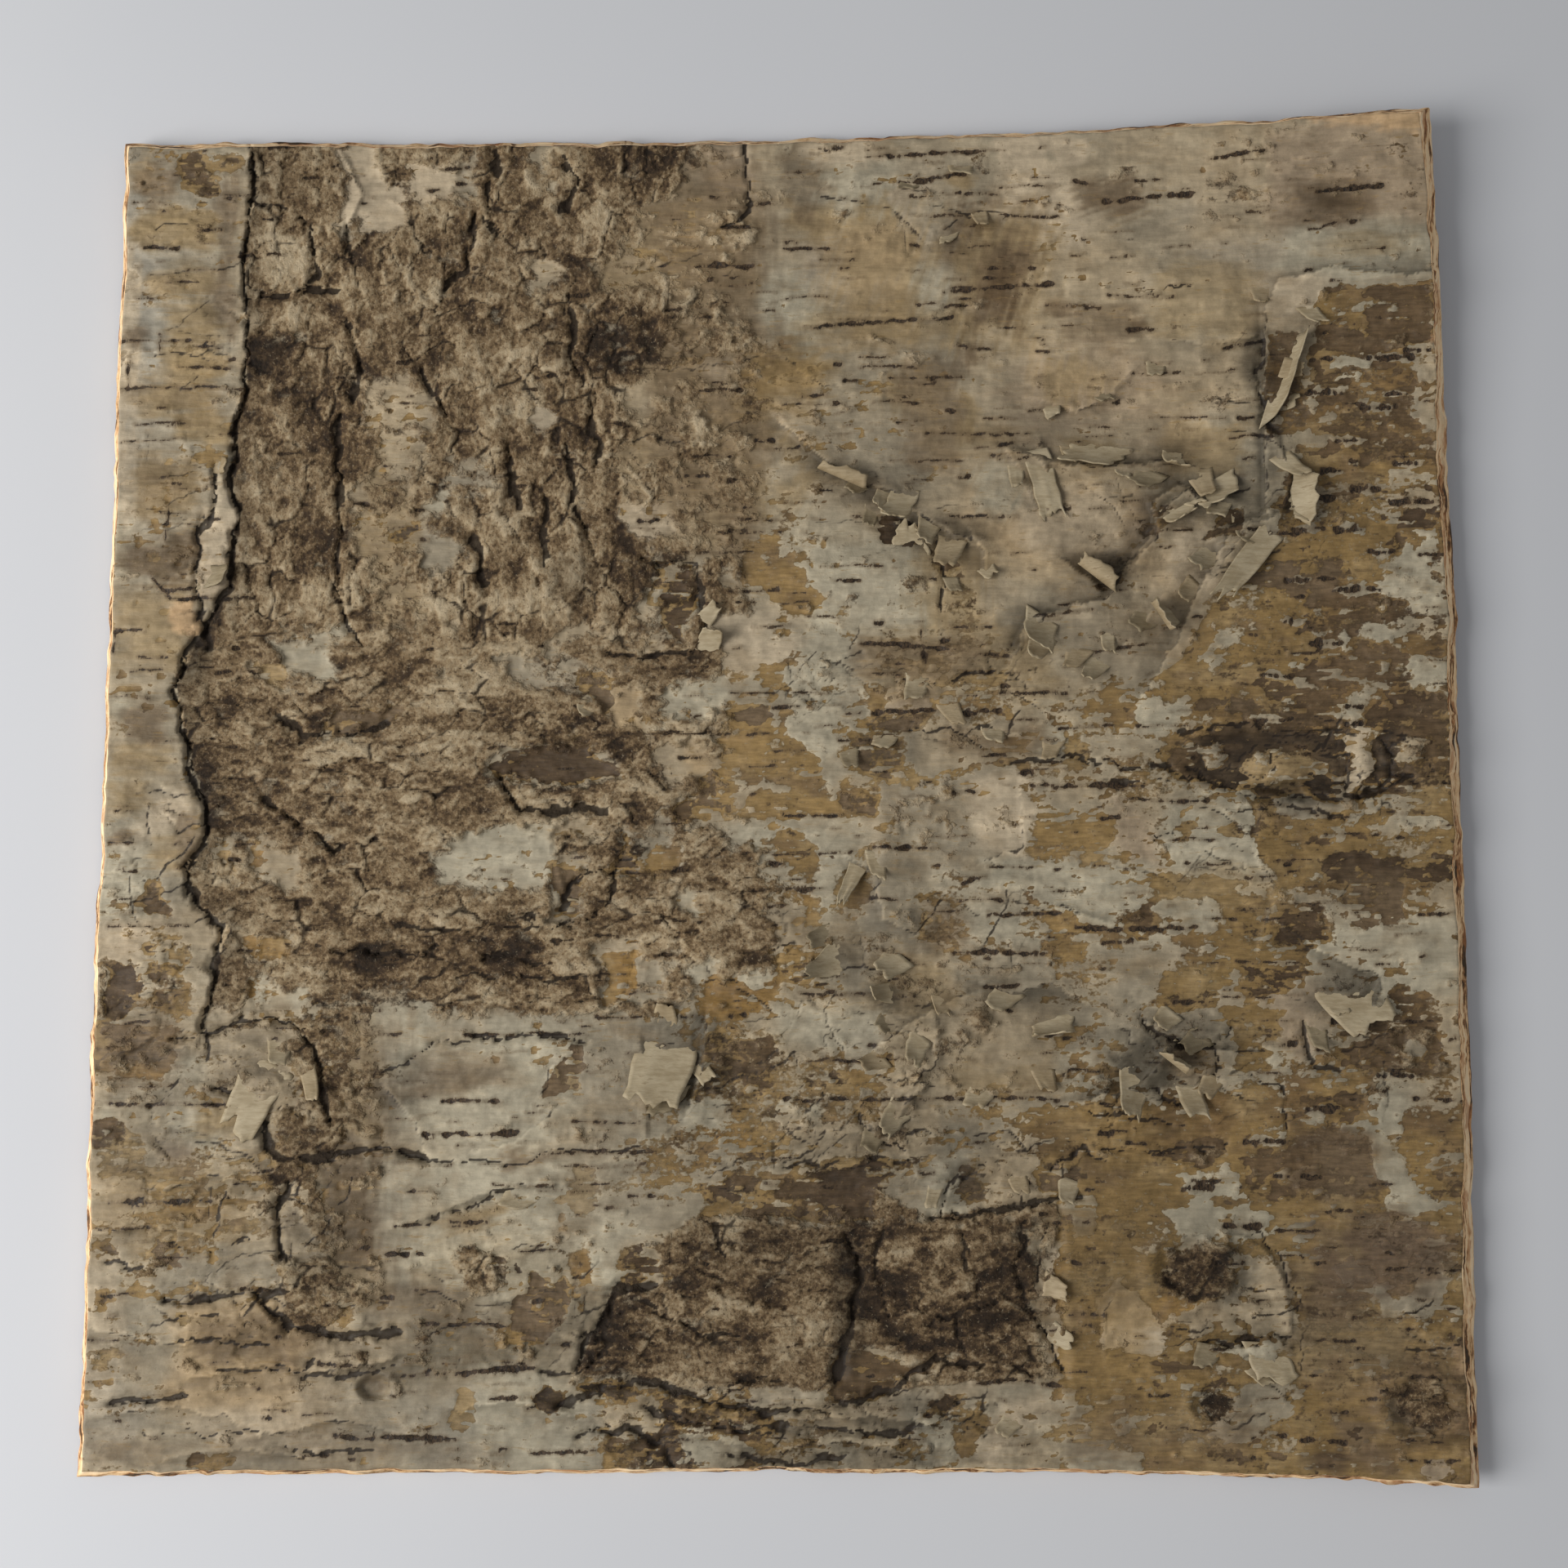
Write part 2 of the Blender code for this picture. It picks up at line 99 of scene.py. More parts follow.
# Camera, light and floor
SENSOR, LENS = 36.0, 36.09
ROOM_COLOUR, ROOM_STRENGTH = (0.98, 0.99, 1.0, 1.0), 0.26
LAMP_PLACE, LAMP_SIZE = (-0.72, -0.18, 0.58), 0.5
LAMP_POWER, LAMP_COLOUR = 7.4, (1.0, 0.99, 0.97)
FLOOR_SIZE = 6.0
FLOOR_PAINTS = ((0.70, 0.712, 0.745, 1.0), (0.725, 0.737, 0.767, 1.0))

# Colours as they are seen, 0 to 255, and the share of a white level surface's red, green and blue light
# that is seen
SEEN_SHARE = (0.755, 0.78, 0.83)
WHITE = (163, 156, 138)
GREY = (139, 130, 113)
CREAM = (156, 142, 119)
BRIGHT = (176, 162, 140)
WARM = (160, 139, 108)
OCHRE = (133, 110, 72)
DEEP_OCHRE = (108, 87, 57)
BROWN = (92, 75, 54)
DARK_BROWN = (70, 56, 41)
BLACK = (34, 27, 21)
PINK = (146, 130, 110)
PURPLE = (104, 90, 82)
RUST = (134, 98, 66)
TAN = (143, 124, 92)
UMBER = (104, 88, 68)
PEACH = (190, 160, 124)
SMUDGE = (124, 106, 80)
FADED = (145, 125, 91)
DIRTY = (98, 81, 62)
FLECK = (52, 41, 30)
RUSTY = (168, 112, 70)
INNER_MARK = (96, 66, 44)
CRUST_STOPS = (
    (0.0, BLACK), (0.14, (62, 49, 36)), (0.34, (94, 77, 56)), (0.52, (117, 99, 75)), (0.68, (136, 119, 94)),
    (0.84, (154, 138, 113)), (1.0, (172, 158, 134)),
)
EDGE_STOPS = (
    (0.38, DARK_BROWN), (0.43, (140, 98, 62)), (0.47, (212, 174, 130)), (0.54, (238, 208, 168)),
    (0.7, (234, 216, 188)),
)
INNER_STOPS = ((0.3, (122, 84, 52)), (0.5, (150, 108, 70)), (0.7, (172, 132, 92)))

# Flaps: light and dark tones and marks
FLAP_PAINTS = {
    "flap_cream": ((158, 144, 119), (132, 117, 92), (108, 91, 66)),
    "flap_grey": ((142, 131, 109), (116, 105, 84), (94, 80, 60)),
    "flap_brown": ((122, 104, 78), (96, 80, 58), (78, 62, 44)),
    "flap_white": ((166, 155, 132), (140, 127, 103), (116, 99, 74)),
}

# Long torn edge between the outer strip on the left and the crust beside it

STRIP_TEAR = (
    (-122, 152), (-120.5, 131), (-123, 121), (-122, 112), (-121, 101), (-121, 91), (-124, 80), (-123, 75),
    (-124.5, 69), (-122, 60), (-124, 50), (-124, 43), (-128, 36), (-131, 30), (-135, 23), (-133, 13),
    (-131, 4), (-128, -5), (-127, -13), (-131, -20), (-129, -27), (-122, -31), (-124, -40), (-127, -53),
)
STRIP_STEP = 0.9

# Cracks and fissures: points, half width, depth
CRACKS = (
    (STRIP_TEAR[:8], 0.7, 1.5), (STRIP_TEAR[7:], 1.05, 1.7),
    (((-90, -37), (-82, -38), (-76, -36.5)), 0.8, 0.9), (((-66, -39), (-60, -38), (-53, -39.5)), 1.0, 1.1),
    (((-100, -37), (-92, -36), (-88, -37.5)), 1.1, 1.2),
    (((-84, -31), (-70, -32.5), (-56, -31.5), (-46, -32)), 0.6, 0.7),
    (((-72, -43), (-60, -42), (-46, -43.5)), 0.6, 0.7), (((-62, -29), (-55, -30)), 0.9, 0.9),
    (((-49, -28), (-46, -22), (-40, -19)), 0.9, 1.0),
    (((-49, -31), (-43, -30), (-39, -27), (-37, -20)), 0.7, 0.8),
    (((-88, -64), (-80, -60), (-73, -56), (-66, -55.5)), 0.6, 0.7),
    (((-88, -80), (-74, -82), (-60, -82.5), (-50, -80.5), (-30, -80)), 0.5, 0.6),
    (((-76, -94), (-68, -92), (-62, -88.5), (-54, -87.5)), 0.5, 0.6), (((-30, -61), (-28, -67)), 0.4, 0.4),
    (((-130, -121), (-120, -120), (-110, -122)), 0.5, 0.6),
    (((-126, -126), (-112, -127), (-100, -125)), 0.5, 0.6),
    (((-104, -127), (-92, -128), (-84, -125)), 0.6, 0.6), (((-132, -116), (-122, -115)), 0.5, 0.5),
    (((-138, -139), (-124, -140), (-112, -138.5)), 0.5, 0.5),
    (((-110, -143), (-98, -144), (-88, -143)), 0.5, 0.5), (((-146, -104), (-138, -105)), 0.5, 0.5),
    (((-132, -100), (-122, -101), (-116, -99)), 0.5, 0.5),
    (((-44, -140), (-34, -138), (-26, -141), (-24, -146)), 1.1, 1.1),
    (((-30, -134), (-22, -137), (-10, -139), (0, -138)), 0.9, 1.0),
    (((-16, -131), (-8, -128), (0, -129)), 0.8, 0.9), (((-12, -144), (2, -146), (14, -144)), 0.9, 0.9),
    (((4, -139), (12, -138), (24, -140), (30, -138)), 0.8, 0.9),
    (((-52, -127), (-44, -127), (-38, -122), (-40, -114)), 1.0, 1.1),
    (((-30, -113), (-20, -118), (-10, -120)), 0.8, 0.8), (((-15, -96), (-13, -104)), 0.7, 0.7),
    (((52, -96), (50, -106), (54, -114), (60, -126)), 0.8, 0.9), (((56, -97), (55, -108)), 0.4, 0.5),
    (((26, -120), (34, -116), (46, -112)), 0.7, 0.7), (((22, -94), (20, -104), (22, -116)), 0.6, 0.6),
    (((38, -96), (40, -106)), 0.6, 0.6), (((0, -84), (14, -82), (30, -82)), 0.7, 0.8),
    (((34, -94), (37, -86), (44, -83)), 0.6, 0.7), (((58, -84), (64, -80), (70, -82)), 0.7, 0.8),
    (((70, -79), (84, -80), (97, -79)), 0.5, 0.6), (((78, -52), (84, -57), (92, -58), (97, -54)), 1.0, 1.1),
    (((80, -67), (86, -70), (92, -68)), 1.0, 1.0), (((92, -56), (95, -62), (92, -66)), 0.8, 0.9),
    (((98, -98), (103, -97), (108, -104), (111, -114)), 0.4, 0.4),
    (((102, -64), (108, -66), (109, -76)), 0.6, 0.7), (((113, -52), (114, -60), (120, -63)), 0.7, 0.8),
    (((86, -11), (78, -13)), 0.4, 0.4), (((60, -70), (72, -72), (84, -74)), 0.6, 0.6),
    (((16, -72), (20, -78), (28, -79)), 0.7, 0.7), (((24, 24), (34, 22), (46, 25)), 0.7, 0.7),
    (((26, 12), (36, 12), (44, 8)), 0.6, 0.6), (((34, 54), (36, 46), (35, 38)), 0.6, 0.7),
    (((50, 4), (62, 6), (74, 4), (86, 3)), 0.8, 0.8),
    (((88, 12), (98, 13), (112, 11), (126, 12)), 0.7, 0.7),
    (((104, 0), (112, -3), (122, -4), (132, -2), (139, 2)), 0.9, 1.0),
    (((-128, 72), (-128, 62), (-131, 54), (-131.5, 44), (-130, 38), (-127.5, 31)), 0.9, 1.1),
    (((-121, 132), (-113, 130.5)), 1.0, 1.4), (((-121, 110.5), (-113, 110.5), (-101, 112)), 1.0, 1.2),
    (((-110, 128), (-107, 122), (-105, 115), (-108, 112)), 0.9, 1.0), (((-100, 126), (-99, 120)), 1.0, 1.2),
    (((-98, 104), (-96, 94), (-97, 86)), 1.2, 1.3),
    (((-100, 82), (-99.5, 60), (-99, 44), (-98, 36), (-93, 31)), 1.0, 1.2),
    (((-81, 93), (-78, 87), (-76, 83)), 1.0, 1.3),
    (((-70, 130), (-70, 124), (-72, 118), (-76, 112)), 1.1, 1.4),
    (((-67, 136), (-67.5, 129), (-65, 125)), 0.9, 1.1), (((-66, 145), (-65, 138)), 1.6, 1.2),
    (((-50, 142), (-47, 137), (-50, 130)), 0.9, 1.0), (((-49, 108), (-48, 98), (-46, 90)), 1.0, 1.2),
    (((-43, 88), (-42.5, 79), (-42, 72)), 1.1, 1.3), (((-62, 76), (-61.5, 68), (-60, 61)), 1.3, 1.5),
    (((-48, 76), (-48.5, 70), (-47.5, 63)), 1.0, 1.2), (((-53, 64), (-54, 56), (-53.5, 49)), 0.8, 1.0),
    (((-46, 62), (-44, 57), (-43, 51)), 1.1, 1.3), (((-70, 55), (-68, 50), (-66.5, 45)), 1.4, 1.6),
    (((-8, 146), (-8.5, 138), (-7.5, 129), (-14, 127)), 0.8, 0.9),
    (((-31, 50), (-20, 49), (-18.5, 42), (-18, 33)), 1.0, 1.2),
    (((-40, 29), (-33, 28), (-18, 29.5)), 0.9, 1.0),
    (((-115, -4), (-109, -8), (-104, -11), (-97, -15)), 1.2, 1.4),
    (((-112, 14), (-106, 10), (-88, 13)), 1.2, 1.2),
    (((-63, 1), (-58, -6), (-50, -6), (-40, -6)), 1.3, 1.5),
    (((-133, -57), (-126, -54), (-118, -52), (-107, -52), (-103, -57), (-101, -64), (-98, -75)), 1.1, 1.4),
    (((-123, -67), (-118, -69), (-113, -74), (-110, -81), (-100, -81), (-88, -80), (-78, -81)), 1.2, 1.3),
    (((-108, -86), (-110, -96), (-108, -102)), 1.3, 1.5),
    (((-133, -112), (-121, -111), (-108, -110)), 1.2, 1.3),
    (((-112, -112), (-106, -118), (-96, -119), (-83, -118.5)), 1.3, 1.4),
    (((-145, -133), (-129, -131.5)), 0.9, 1.0), (((-68, -55), (-55, -55.5), (-43, -56)), 0.9, 1.1),
    (((-48, -134), (-42, -131), (-34, -129), (-27, -129), (-20, -132), (-9, -134.5)), 1.6, 1.6),
    (((-9, -134.5), (0, -135), (12, -133), (22, -131), (33, -124), (43, -125)), 1.2, 1.3),
    (((-45, -126), (-40, -117), (-36, -110), (-28, -109)), 1.3, 1.3),
    (((14, -98), (16, -108), (14, -119), (12, -128)), 1.4, 1.5),
    (((32, -94), (45, -93), (56, -90.5), (64, -90)), 1.0, 1.2),
    (((90, -121), (97, -120), (109, -120)), 0.9, 1.2), (((80, 112), (92, 112.5)), 0.5, 0.4),
    (((108, 99), (107, 92), (108, 84), (109.5, 80)), 1.1, 1.0),
    (((90, 4), (97, -1), (106, -4), (114, -6.5), (123, -7.5)), 0.6, 0.8),
    (((132, 10), (135, 6), (134, 1), (128, -3)), 0.6, 0.9), (((106, 8), (107.5, 4), (105, 0)), 0.5, 0.7),
    (((100, 4), (104, 8), (110, 9), (116, 7), (119, 10)), 0.6, 0.8),
    (((124, 10), (125, 4), (123.5, -2)), 0.6, 0.9), (((72, 1), (82, 0), (90, 1)), 0.7, 0.7),
    (((126, -3), (136, 0), (146, 2)), 0.5, 0.7),
)

# Edges where a papery layer ends, with its height and reach; the higher side is on the left hand
TORN_EDGES = (
    (((0, 81), (5, 76), (11, 71.5), (19, 67), (24, 66), (31, 60), (40, 55)), 1.3, 16),
    (((148, 116), (135, 115.5), (123, 117), (112, 114), (108.5, 108), (108.5, 84), (108, 62)), 1.1, 26),
    (((108, 61), (99, 57), (97, 50), (92, 42), (87, 31), (80, 20)), 1.1, 22),
    (((96, 63), (88, 67), (82, 63), (84, 56), (79, 50)), 1.2, 10),
    (((88, 73), (78, 71.5), (64, 71.5), (52, 75)), 1.0, 10),
    (((76, 48), (72, 41), (64, 40), (55, 37), (52, 31)), 1.1, 10),
    (((110, -32), (119, -38), (131, -43), (128, -50)), 1.2, 10),
    (((96, -58), (84, -58), (78, -66), (66, -69)), 1.3, 12),
    (((-17, -53), (-17.5, -62), (-20, -69)), 1.2, 9),
    (((-80, -95), (-70, -91), (-60, -88), (-50, -87)), 0.8, 12), (((50, 75), (54, 69), (56, 63)), 0.7, 5),
    (((60, 62), (59, 70), (58, 76)), 0.6, 4), (((58, 86), (66, 84), (74, 88), (78, 92)), 0.6, 8),
    (((44, 55), (34, 56), (28, 54)), 0.7, 5), (((36, 54), (35, 48), (33, 45)), 0.7, 5),
    (((42, 56), (45, 52), (45, 48)), 0.7, 4), (((70, 44), (66, 47), (62, 50)), 0.6, 4),
    (((100, 64), (90, 66), (84, 60), (80, 53)), 0.8, 7), (((110, 60), (104, 58), (97, 48)), 0.9, 7),
    (((83, 40), (80, 35), (76, 31)), 0.6, 4), (((68, 38), (58, 38), (52, 30)), 0.7, 5),
    (((88, 100), (98, 99), (106, 101)), 0.7, 8), (((6, 104), (20, 106), (38, 105)), 0.4, 4),
    (((0, 96), (8, 90), (16, 88)), 0.4, 5), (((112, 62), (114, 70), (110, 78)), 0.8, 5),
    (((44, -44), (50, -46), (58, -44), (64, -47)), 0.8, 6),
    (((14, -17), (20, -20), (22, -30), (30, -34)), 0.8, 6), (((40, -46), (28, -52), (20, -58)), 0.7, 6),
    (((28, -66), (34, -60), (33, -52)), 0.6, 5), (((16, -76), (24, -74), (30, -66)), 0.6, 5),
    (((-86, -67), (-80, -74), (-78, -80)), 0.7, 6), (((-50, -71), (-58, -78), (-66, -80)), 0.5, 8),
    (((-43, -57), (-49, -60), (-53, -68)), 0.5, 6), (((-30, -77), (-30, -66), (-31, -57)), 0.5, 6),
    (((78, -109), (72, -110), (69, -114), (69, -123)), 0.5, 6),
    (((109, -118), (108, -108), (104, -101), (98, -98)), 0.6, 7),
    (((52, -1), (53, -14), (44, -17)), 0.5, 6), (((80, -30), (72, -31), (60, -27)), 0.5, 6),
    (((105, -5), (104, -16), (108, -24), (104, -36)), 0.5, 8),
    (((-148, -118), (-132, -121), (-118, -119)), 0.7, 6),
    (((-126, -128), (-112, -125), (-98, -127), (-84, -124)), 0.8, 6),
    (((-146, -136), (-130, -134), (-118, -137)), 0.7, 6),
    (((-112, -140), (-96, -137), (-80, -140)), 0.7, 6), (((-70, -135), (-58, -133), (-46, -136)), 0.7, 5),
    (((-132, -145), (-116, -143), (-100, -145)), 0.6, 5), (((-36, -142), (-22, -139), (-8, -142)), 0.7, 5),
    (((4, -137), (18, -136), (32, -138)), 0.7, 5), (((0, -143), (14, -141), (28, -144)), 0.6, 5),
    (((-146, -60), (-138, -56), (-130, -58)), 0.7, 5), (((-148, -98), (-138, -96), (-126, -98)), 0.6, 5),
    (((-134, -88), (-124, -85), (-114, -87)), 0.6, 5), (((-100, 124), (-96, 134), (-100, 143)), 0.6, 6),
    (((-78, 92), (-78, 80), (-83, 68)), 0.8, 8), (((-48, -24), (-52, -12), (-50, -9)), 0.5, 8),
)

# Soft folds of the skin: points, half width, height
FOLDS = (
    (((12, 86), (30, 82), (46, 86)), 5, 0.9), (((60, 96), (76, 100), (94, 98)), 5, 1.3),
    (((46, 62), (58, 58), (70, 62)), 5, 1.4), (((84, 88), (96, 84), (106, 88)), 5, 1.2),
    (((20, 118), (34, 112), (46, 116)), 5, 0.7), (((66, 112), (82, 116), (98, 112)), 6, 1.0),
    (((48, 40), (60, 46), (74, 42)), 4, 1.2), (((86, 44), (92, 54), (100, 58)), 3, 1.1),
    (((60, 30), (70, 34), (80, 30)), 4, 0.8), (((4, 46), (14, 42), (24, 46)), 5, 0.6),
    (((110, 140), (124, 137), (140, 141)), 5, 0.7), (((16, 132), (18, 142)), 4, 0.7),
    (((24, -56), (36, -50), (50, -54)), 5, 1.3), (((22, -10), (26, -24), (24, -34)), 4, 1.2),
    (((60, -8), (74, -12)), 5, 0.6), (((70, -44), (84, -46), (92, -44)), 4, 0.8),
    (((-74, -62), (-62, -62)), 4, 0.6), (((-118, -62), (-112, -66)), 4, 1.0),
    (((-128, -118), (-110, -116)), 4, 0.8), (((-124, -130), (-104, -132)), 4, 0.7),
    (((-138, 66), (-140, 50)), 4, 0.7), (((-140, 112), (-132, 106)), 4, 0.6),
    (((84, -116), (92, -113), (102, -116)), 3, 1.0), (((126, -36), (138, -38)), 4, 0.7),
    (((-24, -64), (-22, -74)), 4, 0.8), (((32, -86), (48, -87)), 3, 0.8),
    (((64, -134), (76, -138)), 5, 0.6), (((30, 24), (44, 22)), 4, 0.7),
)

SCARS = (
    (((-46, -129), (-37, -109), (-20, -94), (10, -84), (30, -93), (60, -91), (61, -128), (20, -131)), 0.9,
     3.0),
    (((-53, 101), (-48, 94), (-33, 93), (-25, 99), (-30, 106), (-42, 107)), 0.9, 3.0),
    (((-64, 2), (-58, -7), (-42, -7), (-38, 3), (-44, 12), (-52, 9)), 1.1, 3.0),
    (((-31, 50), (-20, 49), (-18, 40), (-31, 41)), 0.8, 1.5),
    (((-150, -40), (-143, -41), (-143, -51), (-150, -51)), 0.6, 2.0),
)

KNOTS = (
    (88, -105, 8.5, 6.5, 1.3, 0.9),
    (137, -134, 8.0, 6.5, 1.0, 1.1),
    (92, -133.5, 5.0, 4.0, 0.8, 0.6),
    (-88, -130, 4.0, 3.0, 1.3, 0.4),
)
EYE = (112, 5, 28, 9)
EYE_DEPTH, EYE_RIM = 1.5, 0.8
EYE_LUMPS = (
    (109, 3.5, 7.5, 4.0, 1.9), (127.5, 4, 3.0, 6.0, 2.0), (139.5, 6.5, 2.5, 3.5, 1.2),
    (95.5, 6, 3.0, 2.5, 1.0),
)
